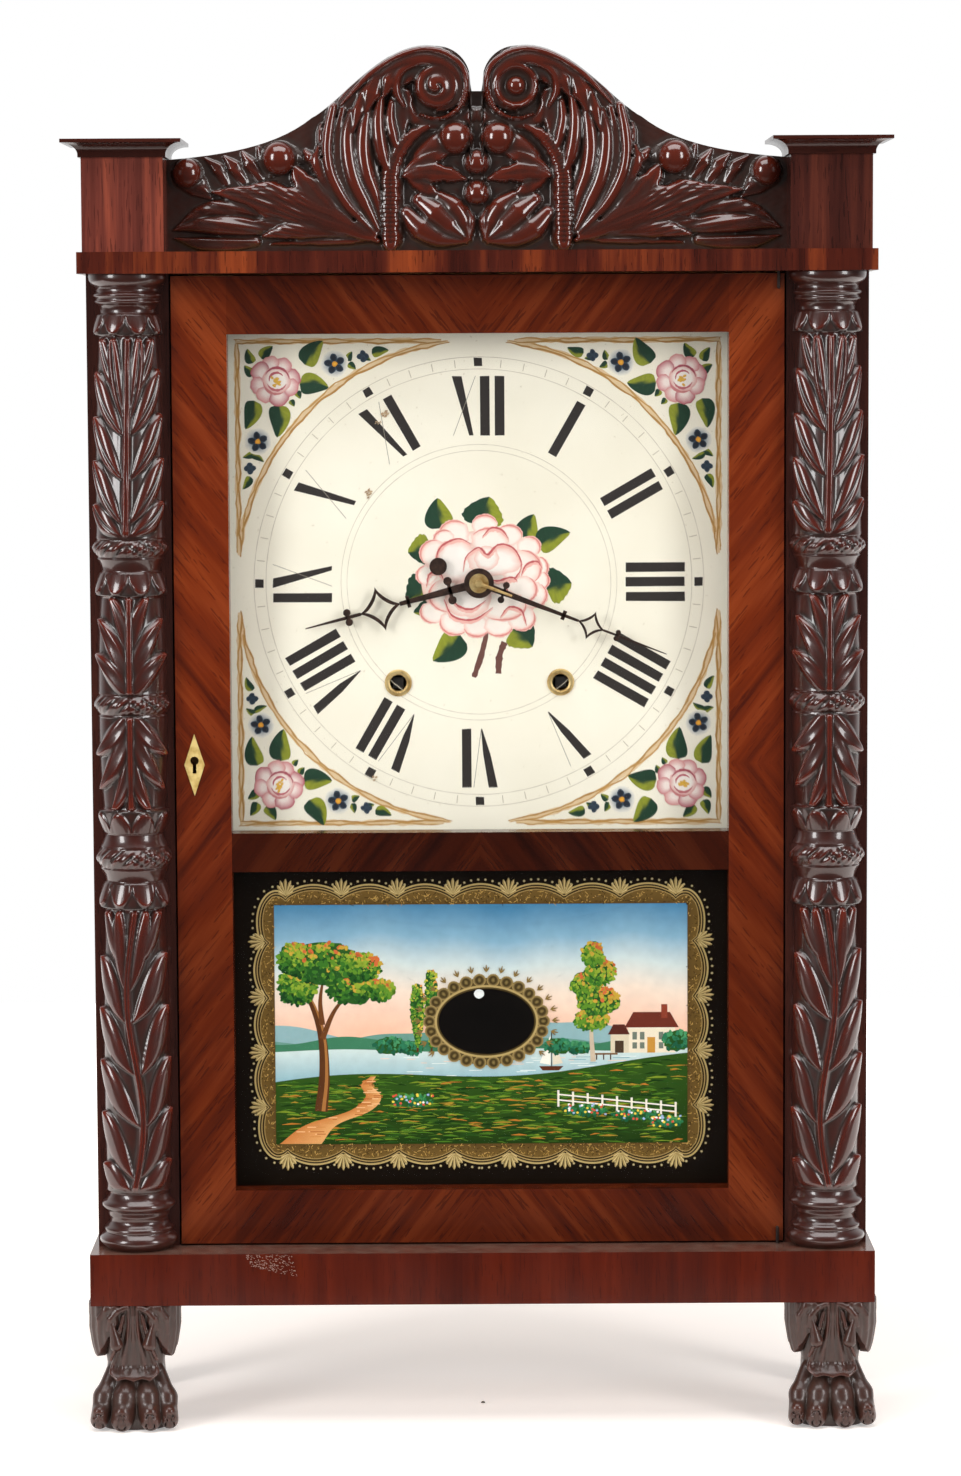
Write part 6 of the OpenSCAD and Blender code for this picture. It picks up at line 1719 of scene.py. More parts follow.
class Painter:
    """Lays paint as flat patches with a colour at each point.

    Places are across and up in millimetres, in the plane of the painted face. The
    patches of a motif lie on each other in thin layers towards the viewer, so that a
    later stroke covers an earlier one.
    """

    def __init__(self, seed: int, layer_mm: float = 0.006, depth_mm: float = 0.6) -> None:
        """Starts an empty painting.

        Args:
            seed: start of the random numbers that shake the strokes.
            layer_mm: thickness of one layer.
            depth_mm: greatest thickness of all layers.
        """
        self.random = np.random.default_rng(seed)
        self.layer_mm = layer_mm
        self.depth_mm = depth_mm
        self.level = 0.0
        self.count = 0
        self.points: list[Array] = []
        self.faces: list[Array] = []
        self.colours: list[Array] = []

    def patch(self, places: Array, colours: Array, faces: Array) -> None:
        """Adds one patch of triangles and goes one layer up.

        Args:
            places: array of n by 2.
            colours: one linear colour, or n of them.
            faces: array of m by 3, turned here to face the viewer.
        """
        a, b, c = (places[faces[:, i]] for i in range(3))
        turned = ((b - a)[:, 0] * (c - a)[:, 1] - (b - a)[:, 1] * (c - a)[:, 0]) < 0
        faces = np.where(turned[:, None], faces[:, ::-1], faces)
        self.points.append(np.hstack([places, np.full((len(places), 1), self.level)]))
        self.colours.append(np.broadcast_to(colours, (len(places), 3)).copy())
        self.faces.append(faces + self.count)
        self.count += len(places)
        self.level += 1

    def fan(self, centre: Place, rim: Array, inner: str, outer: str, keep: float = 0) -> None:
        """Blob shaded from its middle to its rim.

        Args:
            centre: its middle.
            rim: places round it.
            inner: colour of the middle.
            outer: colour of the rim.
            keep: share of the way to the rim that keeps the middle's colour.
        """
        middle = np.array(centre, float)
        n = len(rim)
        ring = middle + (rim - middle) * max(keep, 0.01)
        places = np.vstack([middle, ring, rim])
        colours = np.vstack([np.tile(rgb(inner), (n + 1, 1)), np.tile(rgb(outer), (n, 1))])
        i = np.arange(n)
        j = (i + 1) % n
        faces = np.vstack([np.stack([0 * i, i + 1, j + 1], 1),
                           np.stack([i + 1, i + 1 + n, j + 1 + n], 1),
                           np.stack([i + 1, j + 1 + n, j + 1], 1)])
        self.patch(places, colours, faces)

    def flat(self, outline: Places, colour: str) -> None:
        """Even patch inside an outline that bulges outwards everywhere."""
        rim = np.array(outline, float)
        self.fan(rim.mean(axis=0), rim, colour, colour)

    def band(self, near: Array, far: Array, near_colour: Array, far_colour: Array) -> None:
        """Strip between two rows of places, each with its colour.

        Args:
            near, far: the two rows, of equal count.
            near_colour, far_colour: linear colour of each row.
        """
        n = len(near)
        i = np.arange(n - 1)
        faces = np.vstack([np.stack([i, i + 1, i + n], 1), np.stack([i + 1, i + n + 1, i + n], 1)])
        colours = np.vstack([np.broadcast_to(near_colour, (n, 3)),
                             np.broadcast_to(far_colour, (n, 3))])
        self.patch(np.vstack([near, far]), colours, faces)

    def line(self, path: Array, width: Array | float, colour: str, shake: float = 0) -> None:
        """Brush line along places, as wide as asked at each.

        Args:
            path: the places.
            width: one width, or one for each place.
            colour: hex colour.
            shake: spread of the places' jitter.
        """
        path = np.asarray(path, float)
        along = np.gradient(path, axis=0)
        along /= np.hypot(along[:, 0], along[:, 1])[:, None] + 1e-9
        across = np.stack([-along[:, 1], along[:, 0]], axis=1)
        half = np.broadcast_to(np.asarray(width, float) / 2, len(path)).copy()
        if shake:
            path = path + across * self.random.normal(0, shake, (len(path), 1))
            half = half * self.random.uniform(0.7, 1.3, len(path))
        tint = rgb(colour)
        self.band(path + across * half[:, None], path - across * half[:, None], tint, tint)

    def blob(self, centre: Place, wide: float, high: float, turn: float = 0,
             wobble: float = 0, count: int = 18) -> Array:
        """Places round a turned ellipse with a shaken edge.

        Args:
            centre: its middle.
            wide, high: half its size each way.
            turn: its turn in radians.
            wobble: jitter of the edge, as a share.
            count: number of places.

        Returns:
            The places, of count by 2.
        """
        angle = np.linspace(0, 2 * np.pi, count, endpoint=False)
        r = 1 + wobble * self.random.uniform(-1, 1, count)
        x, y = wide * r * np.cos(angle), high * r * np.sin(angle)
        c, s = math.cos(turn), math.sin(turn)
        return np.stack([centre[0] + c * x - s * y, centre[1] + s * x + c * y], axis=1)

    def dab(self, centre: Place, wide: float, high: float, inner: str, outer: str,
            keep: float = 0, turn: float = 0, wobble: float = 0, count: int = 18) -> None:
        """Shaded blob in a turned ellipse with a shaken edge.

        Args:
            centre, wide, high, turn, wobble, count: as in blob.
            inner, outer, keep: as in fan.
        """
        self.fan(centre, self.blob(centre, wide, high, turn, wobble, count), inner, outer, keep)

    def leaf(self, base: Place, tip: Place, half: float, bow: float = 0.1,
             side: int = 1, ragged: int = 0, dark: str = "#123d26", light: str = "#8b931f") -> None:
        """Pointed leaf, dark on one half and olive along the other edge.

        Args:
            base: its foot.
            tip: its point.
            half: half of its greatest width.
            bow: sideways bow as a share of the length.
            side: which edge is olive.
            ragged: number of notches along the edges.
            dark: colour of the dark half.
            light: colour of the light edge.
        """
        start, run = np.array(base, float), np.array(tip, float) - np.array(base, float)
        t = np.linspace(0, 1, 17)[:, None]
        s = np.linspace(-1, 1, 9)[None, :]
        side_way = np.array([-run[1], run[0]]) / np.hypot(*run)
        wide = half * np.sin(np.pi * t ** 0.62) ** 0.62 * (1 - 0.22 * t)
        if ragged:
            wide = wide * (1 + 0.13 * np.abs(np.sin(np.pi * ragged * t)))
        middle = bow * np.hypot(*run) * 4 * t * (1 - t) - bow * 0.9 * np.hypot(*run) * t ** 3
        off = middle + s * wide
        places = start + t[..., None] * run + off[..., None] * side_way
        share = smooth_step(s * side + 0.1 * np.sin(9 * t), 0.1, 0.4)[..., None]
        shade = (0.86 + 0.28 * self.random.random((17, 9, 1)))
        colours = (rgb(dark) * (1 - share) + rgb(light) * share) * shade
        self.patch(places.reshape(-1, 2), colours.reshape(-1, 3), grid_triangles(17, 9))

    def piece(self, name: str, plane_y: float, centre: tuple[float, float], finish: Finish,
              body: Body, slot: str) -> Piece:
        """Makes the painting's mesh.

        Args:
            name: name of the piece.
            plane_y: depth of the face that carries it.
            centre: place of its origin, across and up.
            finish: the paint.
            body: the body that it rides on.
            slot: not used.

        Returns:
            The dressed object.
        """
        laid = np.vstack(self.points)
        layer = min(self.layer_mm, self.depth_mm / laid[:, 2].max())
        points = np.stack([laid[:, 0] + centre[0], plane_y - PAINT_GAP - laid[:, 2] * layer,
                           laid[:, 1] + centre[1]], axis=1)
        made = to_mesh(name, points, np.vstack(self.faces), smooth=False)
        point_colours(made, np.clip(np.vstack(self.colours), 0, 1))
        return hand_over(made, finish, body)


def circle_places(radius: float, count: int = 181) -> Array:
    """Places round a closed circle about the origin."""
    angle = np.linspace(0, 2 * np.pi, count)
    return np.stack([radius * np.sin(angle), radius * np.cos(angle)], axis=1)


@dataclass
class DialPainting(Painter):
    """Roman numerals, minute track, corner sprays and the middle posy of the dial.

    Places are measured from the hands' arbor.
    """

    arbor_z: float = ARBOR_Z
    face_y: float = -7.2
    inner_r: float = 83.6
    outer_r: float = 117.2
    ink: str = "#2c2622"
    numerals: tuple[str, ...] = ("XII", "I", "II", "III", "IIII", "V", "VI", "VII", "VIII", "IX",
                                 "X", "XI")

    # Petals of the middle posy, outer ones first: place across and up, half sizes
    posy: tuple[tuple[float, float, float, float], ...] = (
        (-13.7, 27.9, 8.6, 7.4), (-19.5, 25, 6, 5), (3.4, 32.4, 7.4, 6), (17.1, 26.7, 7.6, 6),
        (28.4, 19.9, 6.6, 6.2), (-25, 16.5, 8.4, 8), (-29.6, 4.3, 5.9, 5.6),
        (-26.2, -16.5, 7.2, 6.4), (-13.5, -22.2, 9, 7.6), (-1.4, -25, 7.4, 5.8),
        (11.1, -24, 8.4, 6.6), (23.8, -20.2, 8.2, 7.2), (34.1, 8.3, 5.2, 6.2), (35.4, 1.1, 4.4, 5),
        (31, -7.1, 7.6, 7.4), (-18, -7, 10.6, 9.6), (6, 24, 10.6, 7),
        (24, 8, 11.6, 10.6), (24, -4, 9, 8), (13, -13, 14, 8.6))
    folds: tuple[tuple[tuple[float, float], ...], ...] = (
        ((-25, 8), (-22, 20), (-12, 25), (-4, 22)),
        ((-9, 7), (-7, 15), (0, 20), (5, 16), (11, 21.5), (19, 20), (24, 12), (23, 4)),
        ((24, 4), (27, 10), (33, 12), (36, 8)), ((17, -6), (15, 0), (21, 3), (24, 8)),
        ((2, 26), (7, 31), (13, 30), (17, 25)), ((-20, -9), (-15, -19), (-3, -21), (8, -14)),
        ((-17, -6), (-12, -13), (-4, -15), (4, -10)), ((12, -20), (17, -14), (24, -16), (27, -24)),
        ((-30, -2), (-28, 5), (-23, 6), (-20, 2)), ((2, 4), (10, 1), (18, 3), (22, 1)))

    def __post_init__(self) -> None:
        """Starts the painting."""
        super().__init__(11)

    @staticmethod
    def _around(angle: float, places: Places) -> Array:
        """Places across and up of tangential and radial ones, at an angle from the top."""
        out = np.array([math.sin(angle), math.cos(angle)])
        return np.array([out[::-1] * (t, -t) + out * r for t, r in places])

    def _stroke(self, angle: float, corners: Places) -> None:
        """One stroke of a numeral, from its tangential and radial corners."""
        places = self._around(angle, corners)
        self.flat(places + self.random.normal(0, 0.1, places.shape), self.ink)

    def _hair(self, angle: float, *ends: Place) -> None:
        """One worn hairline of a numeral, between tangential and radial places."""
        self.line(self._around(angle, ends), 0.34, "#958e80")

    def _numeral(self, text: str, angle: float) -> None:
        """A numeral whose feet are towards the middle.

        Args:
            text: its letters.
            angle: its place, clockwise from the top.
        """
        lo, hi = self.inner_r, self.outer_r
        widths = {"I": 8.3, "V": 15, "X": 16.2}
        start = -(sum(widths[letter] for letter in text) - 2.9) / 2
        knee = lo + 0.42 * (hi - lo)
        for letter in text:
            s = start
            if letter == "I":
                self._stroke(angle, ((s, lo), (s + 5.4, lo), (s + 5.4, hi), (s, hi)))
            elif letter == "V":
                self._stroke(angle, ((s, hi), (s + 5.2, hi), (s + 8.6, knee), (s + 9.4, lo),
                                     (s + 8.8, lo), (s + 4, knee + 1)))
                self._hair(angle, (s + 13.7, hi), (s + 9.3, lo))
            else:
                self._stroke(angle, ((s, hi), (s + 5.6, hi), (s + 12.4, lo), (s + 9.8, lo)))
                self._hair(angle, (s + 13.5, hi), (s + 0.9, lo))
            start += widths[letter]

    def _track(self) -> None:
        """Faint pencilled rings, minute lines and the black squares at the hours."""
        for radius, width in ((75.1, 0.3), (78.5, 0.3), (121.2, 0.35), (128, 0.35)):
            self.line(circle_places(radius), width, "#c9c0ab", 0.02)
        for minute in range(60):
            angle = minute * math.pi / 30
            if minute % 5:
                self.level = 4
                self.line(self._around(angle, ((0, 122.4), (0, 126.8))), 0.45, "#bfb59e")
                continue
            square = self._around(angle, ((-2.4, 122.6), (2.4, 122.6), (2.4, 127.4), (-2.4, 127.4)))
            self.flat(square + self.random.normal(0, 0.12, (4, 2)), self.ink)

    def _gold_edge(self, flip: Array) -> None:
        """Thin gold lines round a corner field: two straight and one hollow side.

        Args:
            flip: signs that mirror the lower left corner.
        """
        arc = np.radians(np.linspace(187, 263, 60) - 180)
        curve = -137.6 * np.stack([np.sin(arc), np.cos(arc)], axis=1)[:, ::-1]
        upright = np.stack([np.full(40, -136.4), np.linspace(-16.5, -138, 40)], axis=1)
        level = np.stack([np.linspace(-137.4, -20.4, 40), np.full(40, -137.2)], axis=1)
        for path in (curve, upright, level):
            taper = np.clip(np.sin(np.linspace(0.08, np.pi - 0.08, len(path))) * 4, 0.5, 1)
            place = np.arange(len(path))[:, None]
            wave = np.hstack([0.45 * np.sin(place * 0.9), 0.45 * np.sin(place * 0.7 + 1.3)])
            self.line((path + wave * 0.6) * flip, 3.1 * taper, "#e2c79c", 0.12)
            self.line((path + wave + 0.75) * flip, 1.0 * taper, "#b5853f", 0.16)
            self.line((path - wave - 0.75) * flip, 0.85 * taper, "#c2934e", 0.16)

    def _corner(self, flip: Array) -> None:
        """Spray of one corner: a rose with leaves, two blue flowers and buds.

        Args:
            flip: signs that mirror the lower left corner.
        """
        self.level = 1
        self._gold_edge(flip)
        turn = int(flip[0] * flip[1])
        for base, tip, half, side in (
                ((-113.5, -101.5), (-113, -83), 6.6, -1), ((-127, -104), (-131, -87.5), 5.6, -1),
                ((-101, -113), (-84.5, -112), 6.6, -1), ((-98, -124), (-88.5, -138), 6.4, 1),
                ((-106.5, -104), (-104, -100.6), 1.9, 1), ((-103, -109), (-100.5, -105), 2.2, 1),
                ((-127, -118.5), (-132.5, -123.5), 3, 1), ((-127.5, -125), (-131, -133), 3.2, 1),
                ((-122.5, -127.5), (-116.5, -135), 3.6, -1), ((-129.5, -61), (-133.5, -53.5),
                                                              2.6, 1),
                ((-127, -74.5), (-133.5, -71.5), 2.2, 1), ((-128.5, -73), (-121.5, -69.5), 2, -1),
                ((-73.5, -124.5), (-69, -121.5), 2.2, 1), ((-73.5, -126), (-71.5, -131.5), 2.2, -1),
                ((-60, -130), (-50.5, -132.5), 3.2, 1), ((-66, -128.5), (-60.5, -126.5), 2, -1)):
            self.leaf(np.array(base) * flip, np.array(tip) * flip, half, 0.06, side * turn)
        for place, size in (((-125, -80.7), 6), ((-81.1, -124.5), 6.2)):
            self._blue_flower(np.array(place) * flip, size)
        for place in ((-129.7, -65.6), (-65, -128.6)):
            spot = np.array(place) * flip
            for k in range(4):
                offset = 1.5 * way(k * 1.6)
                self.dab(spot + offset, 2, 1.7, "#1d2a3a", "#2f4454", 0, k * 1.6, 0.1, 10)
        self._rose(np.array((-115.1, -115.1)) * flip, 14.2)

    def _blue_flower(self, spot: Array, size: float) -> None:
        """Five navy petals with a pale halo and a yellow eye.

        Args:
            spot: its middle.
            size: its radius.
        """
        self.dab(spot, size * 1.25, size * 1.25, "#8f9aa0", "#f1eddd", 0.5, wobble=0.04)
        for k in range(5):
            angle = k * 2 * math.pi / 5 + 0.5
            middle = spot + size * 0.56 * way(angle)
            self.dab(middle, size * 0.42, size * 0.33, "#15202e", "#3c4f60", 0.6, angle, 0.07, 14)
        self.dab(spot, size * 0.27, size * 0.27, "#f0b432", "#d08a1e", wobble=0.15, count=10)

    def _rose(self, spot: Array, size: float) -> None:
        """Full rose: rings of cupped petals, cream inside and deep pink at their edges.

        Args:
            spot: its middle.
            size: its radius.
        """
        self.dab(spot, size * 0.86, size * 0.84, "#e9c0b8", "#c97d82", 0.7, 0, 0.04, 26)
        for k in range(8):
            angle = k * math.pi / 4 + 0.3 + self.random.normal(0, 0.08)
            out = way(angle)
            middle = spot + size * 0.7 * out
            reach = size * (0.36 + 0.05 * (k % 3 == 0))
            rim = self.blob(middle, reach * 0.84, reach, angle, 0.07, 18)
            self.fan(middle - out * reach * 0.45, rim, "#f7e6dd",
                      ("#b95a66", "#cf7c80", "#d98f8c")[k % 3], 0.35)
        cup = spot + size * np.array([0.08, 0.02])
        self.dab(cup, size * 0.56, size * 0.54, "#fdf4ea", "#e2a39c", 0.6, 0, 0.05, 24)
        for reach, start, end, colour in ((0.5, 0.1, 2.7, "#b04f5c"), (0.4, 3.5, 5.9, "#c66a70"),
                                          (0.3, 0.6, 3.3, "#c4606a"), (0.55, 3.3, 5.2, "#d08080")):
            turn = np.linspace(start, end, 16)
            arc = cup + size * reach * way(turn)
            self.line(arc, size * 0.1 * np.sin(np.linspace(0.2, 2.95, 16)), colour, 0.04)
        for _ in range(12):
            middle = cup + self.random.normal(0, size * 0.09, 2) - size * np.array([0.02, 0.04])
            self.fan(middle, self.blob(middle, size * 0.08, size * 0.05, self.random.uniform(0, 3),
                                       0.1, 8), "#f2c649", "#e0a83a")

    def _posy(self) -> None:
        """Roses round the arbor, with ragged leaves and two cut stems."""
        self.level = 1
        self.line(smooth_line(((4.5, -28), (1, -42), (-3.2, -54))), 3, "#6b4238", 0.05)
        self.line(smooth_line(((14.5, -34), (11.5, -42), (10.8, -52))), 3.6, "#6b4238", 0.05)
        for base, tip, half, side, ragged in (
                ((-20.5, 31), (-24.5, 48), 8.6, -1, 0), ((2.5, 32), (5, 49), 11.6, -1, 5),
                ((27, 25), (30.5, 39), 7, -1, 0), ((33.5, 20.5), (51.5, 29.5), 7.6, -1, 0),
                ((-27, 21), (-40, 16.5), 9, -1, 5), ((-30.5, 2.5), (-40.5, -10.5), 8.4, 1, 4),
                ((38.5, -4), (52.5, 0.5), 10.4, -1, 5), ((-11, -29.5), (-25.5, -45.5), 9.2, -1, 0),
                ((19, -26.5), (31, -36), 9.6, -1, 5), ((-27, -12), (-37, -17.5), 4.6, 1, 3)):
            self.leaf(base, tip, half, 0.07, side, ragged)
        self.dab((2, 1), 34.5, 29, "#f6e6d9", "#eec3b4", 0.9, 0, 0.02, 40)
        for x, y, wide, high in self.posy:
            rim = self.blob((x, y), wide, high, 0, 0.08, 26)
            away = np.array([x - 2, y - 1]) / math.hypot(x - 2, y - 1)
            self.fan(np.array([x, y]) - away * min(wide, high) * 0.3, rim, "#f8ede1", "#f3cbbd",
                     0.7)
            turn = math.atan2(away[1], away[0]) + np.linspace(-1.25, 1.25, 22)
            edge = np.stack([x + wide * 0.97 * np.cos(turn), y + high * 0.97 * np.sin(turn)],
                            axis=1)
            self.line(edge, 1.9 * np.sin(np.linspace(0.25, 2.9, 22)), "#efb7aa", 0.08)
            self.line(edge, 0.7 * np.sin(np.linspace(0.1, 3, 22)), "#d9827b", 0.08)
        for x, y, wide, high in ((-13, 12.5, 12.5, 12.5), (9, 12, 15.5, 8), (4.5, 14, 7, 7),
                                 (-6, -9, 13.5, 10.5)):
            rim = self.blob((x, y), wide, high, 0, 0.06, 30)
            self.fan((x, y), rim, "#faf2e8", "#f1c6b8", 0.62)
        for path in self.folds:
            line = smooth_line(path)
            taper = np.sin(np.linspace(0.15, 3, len(line)))
            self.line(line - (0, 0.8), 2.6 * taper, "#f0b9ac", 0.05)
            self.line(line, 1.1 * taper, "#c4585a", 0.06)

    def build(self) -> Piece:
        """Paints the dial.

        Returns:
            The painting.
        """
        self._track()
        for hour, text in enumerate(self.numerals):
            self.level = 1
            self._numeral(text, hour * math.pi / 6)
        for flip in ((1, 1), (-1, 1), (1, -1), (-1, -1)):
            self._corner(np.array(flip, float))
        self._posy()
        # Chips through to the wood, then small losses that show the paint's age
        for x, y, size in ((-62.3, 51, 3), (-53.4, 95.5, 3.4), (-56.5, 91, 1.8),
                           (-60.3, -111.3, 2.4)):
            for k in range(9):
                spot = np.array([x, y]) + self.random.normal(0, size * 0.4, 2)
                self.fan(spot, self.blob(spot, size * 0.3, size * 0.16, 0.6, 0.3, 8),
                         ("#a98765", "#8d7156", "#c9b48f")[k % 3], "#b59a78")
        for _ in range(70):
            self.level = 0
            spot = self.random.uniform(-136, 136, 2)
            if np.hypot(*spot) > 84:
                continue
            size = self.random.uniform(0.15, 0.5)
            self.dab(spot, size, size * 0.7, "#b7aa8c", "#d8cfb8", wobble=0.3, count=7)
        return self.piece("dial_painting", self.face_y, (0, self.arbor_z),
                          Paint("dial", 0.5, coat=0.1), Body.CASE, "dial_paint")


@dataclass
class TabletPainting(Painter):
    """Picture painted on the back of the door's lower pane: a lake with a cottage.

    A bronze-powder border with scallops and shells runs round it on black, and a wreath
    round the dark oval in the middle. Places are measured from the picture's middle.
    """

    middle_z: float = 225.75
    face_y: float = -17.9
    half_w: float = 118.0
    half_h: float = 69.25
    pitch: float = 31.8
    oval: tuple[float, float, float, float] = (3, 1.6, 27.4, 18.8)

    def __post_init__(self) -> None:
        """Starts the painting, whose many layers are held thin."""
        super().__init__(23, depth_mm=0.55)

    def _sky(self) -> None:
        """Blue above, cream and rose towards the hills, in soft bands."""
        stops = np.array([-20, -8, 4, 18, 34, 50, 70])
        tints = np.array([rgb(c) for c in ("#f6c3a6", "#f6c2a4", "#f5cdb4", "#f1ddc9", "#cfdcd9",
                                           "#86b0c6", "#4784ab")])
        v = np.linspace(self.half_h, -20, 46)
        u = np.linspace(-self.half_w, self.half_w, 40)
        uu, vv = np.meshgrid(u, v)
        shift = 2.2 * np.sin(uu * 0.045 + 1) + 1.2 * np.sin(uu * 0.13)
        colours = np.stack([np.interp(vv + shift, stops, tints[:, k]) for k in range(3)], axis=-1)
        self.patch(np.stack([uu, vv], -1).reshape(-1, 2), colours.reshape(-1, 3),
                   grid_triangles(len(v), len(u)))

    def _ground(self) -> None:
        """Hills, the lake, its shore and the meadow in short level dabs."""
        u = np.linspace(-self.half_w, self.half_w, 80)

        def curtain(top: Array, foot: float, upper: str, lower: str) -> None:
            """Band from a line down to a level foot."""
            self.band(np.stack([u, top], 1), np.stack([u, u * 0 + foot], 1), rgb(upper), rgb(lower))

        for base, swing, phase, colour in ((-3, 5, 0.4, "#8fb3b6"), (-7, 4.2, 2.1, "#6a9a8c"),
                                           (-10.5, 2.6, 4, "#3f7d5c")):
            top = base + swing * np.sin(u * 0.035 + phase) + 1.2 * np.sin(u * 0.11 + phase)
            curtain(top, -24, colour, colour)
        shore = -15.0 + 0.8 * np.sin(u * 0.06)
        curtain(shore, -34, "#cfe0dc", "#86b3bf")
        for _ in range(70):
            spot = self.random.uniform((-60, -33), (116, -17))
            self.line((spot, spot + (self.random.uniform(3, 11), 0)), 0.35,
                      self.random.choice(["#e9f0ea", "#6fa0ad", "#f3cdb4"]))
        near = -27.0 - 3.5 * np.sin(u * 0.03 + 0.9) + 0.06 * (u - 10)
        curtain(near, -self.half_h, "#2f5216", "#1f3b0e")
        level = self.level
        for index in range(1100):
            x = self.random.uniform(-self.half_w + 5, self.half_w - 5)
            edge = -28.5 - 3.5 * math.sin(x * 0.03 + 0.9) + 0.06 * (x - 10)
            y = self.random.uniform(-self.half_h + 0.8, edge)
            long = self.random.uniform(2, 6)
            lift = self.random.normal(0, 0.5)
            path = np.clip(np.array([(x - long, y), (x, y + 0.35 + lift * 0.4),
                                     (x + long, y + lift)]), (-self.half_w, -self.half_h),
                           (self.half_w, edge + 1))
            tint = self.random.choice(["#4f7a1f", "#7c9428", "#254d16", "#15330d", "#a8862c",
                                       "#3b611a", "#b9762a"], p=[.22, .16, .2, .16, .08, .12, .06])
            self.level = level + index * 0.02
            self.line(path, (0.2, self.random.uniform(0.5, 1.3), 0.2), tint)
        self.level = level + 23
        path = smooth_line(((-104, -69), (-92, -58), (-70, -50), (-62, -42), (-66, -35),
                            (-62, -30)))
        wide = np.interp(np.linspace(0, 1, len(path)), (0, 0.4, 1), (24, 12, 3))
        path[:, 1] = np.clip(path[:, 1], -self.half_h, None)
        low = np.stack([np.clip(path[:, 0] - wide / 2, -self.half_w, None), path[:, 1]], 1)
        high = np.stack([path[:, 0] + wide / 2, path[:, 1]], 1)
        self.band(low, high, rgb("#c87c3e"), rgb("#e0a566"))
        for _ in range(60):
            k = self.random.integers(3, len(path) - 4)
            x = path[k, 0] + self.random.uniform(-0.4, 0.4) * wide[k]
            self.line(((x - 2.5, path[k, 1]), (x + 2.5, path[k, 1])), 0.5,
                      self.random.choice(["#b5642c", "#efc08a", "#d18a4a"]))

    def _foliage(self, spot: Place, wide: float, high: float,
                 tints: Sequence[str], count: int, dab: float = 1.5) -> None:
        """Clump of leaf dabs, dark below and bright at its edge towards the light.

        Args:
            spot: middle of the clump.
            wide, high: half its size.
            tints: colours of the dabs, dark to bright.
            count: number of dabs.
            dab: their radius.
        """
        self.dab(spot, wide, high, "#1e4a1f", "#2c5c22", wobble=0.12, count=24)
        level = self.level
        for index in range(count):
            angle = self.random.uniform(0, 2 * math.pi)
            reach = math.sqrt(self.random.uniform(0, 1.08))
            place = np.array([spot[0] + wide * reach * math.cos(angle),
                              spot[1] + high * reach * math.sin(angle)])
            light = 0.5 + 0.35 * math.sin(angle + 0.4) * reach + self.random.normal(0, 0.14)
            tint = tints[int(np.clip(light, 0, 0.999) * len(tints))]
            size = dab * self.random.uniform(0.6, 1.25)
            self.level = level + index * 0.03
            place = np.clip(place, (-self.half_w + size, -60), (self.half_w - size,
                                                                self.half_h - size))
            self.fan(place, self.blob(place, size, size * 0.7, self.random.uniform(0, 3), 0.25, 8),
                     tint, tint)
        self.level = level + count * 0.03 + 1

    def _trees(self) -> None:
        """Spreading oak at the left edge, two poplars, a birch and far bushes."""
        greens = ("#17401c", "#23561f", "#3a7426", "#5f8f2a", "#8fa934", "#c9a43c", "#d06a3a")
        bright = ("#2c6a2a", "#4d8a2c", "#79a534", "#a9ba3e", "#d7c04a", "#e09a4a")
        for x, y, wide, high in ((-52, -12, 9, 5), (-40, -13.5, 7, 4), (44, -13, 8, 4.6),
                                 (112, -10, 8, 6), (56, -14, 6, 3.4)):
            self._foliage((x, y), wide, high, ("#1f5f45", "#2f7d58", "#4b9a66"), 46, 1.3)
        trunk = smooth_line(((-92, -50), (-90, -30), (-91, -8), (-96, 10), (-104, 24)))
        self.line(trunk, np.linspace(7.4, 2, len(trunk)), "#5a3319")
        self.line(trunk + (1.3, 0), np.linspace(2.2, 0.6, len(trunk)), "#a8703a")
        for path in (((-91, -8), (-84, 8), (-74, 20)), ((-91, 0), (-92, 14), (-90, 28))):
            limb = smooth_line(path)
            self.line(limb, np.linspace(3.4, 1, len(limb)), "#6b3f1f")
        for x, y, wide, high in ((-105, 22, 11, 10), (-74, 22, 14, 10), (-90, 36, 19, 12),
                                 (-68, 33, 11, 8), (-106, 38, 10, 9), (-58, 20, 8, 6)):
            self._foliage((x, y), wide, high, greens, 210, 1.5)
        for x, foot, top in ((-28.5, -14, 30), (-36.5, -14, 22)):
            self.line(((x, foot - 2), (x, foot + 8)), 1.2, "#5a3319")
            for k in range(9):
                y = foot + 4 + (top - foot - 6) * k / 8
                self._foliage((x, y), 3.4 * math.sin(0.5 + 2.5 * (1 - k / 9)) + 0.8, 3.4,
                              bright, 26, 0.9)
        stem = smooth_line(((64, -22), (63, -2), (65, 20)))
        self.line(stem, np.linspace(3, 1, len(stem)), "#cbb9a0")
        for x, y, wide, high in ((63, 2, 10, 6), (67, 13, 12, 8), (60, 22, 9, 8), (68, 30, 9, 8),
                                 (64, 40, 6, 7)):
            self._foliage((x, y), wide, high, greens[2:], 130, 1.3)

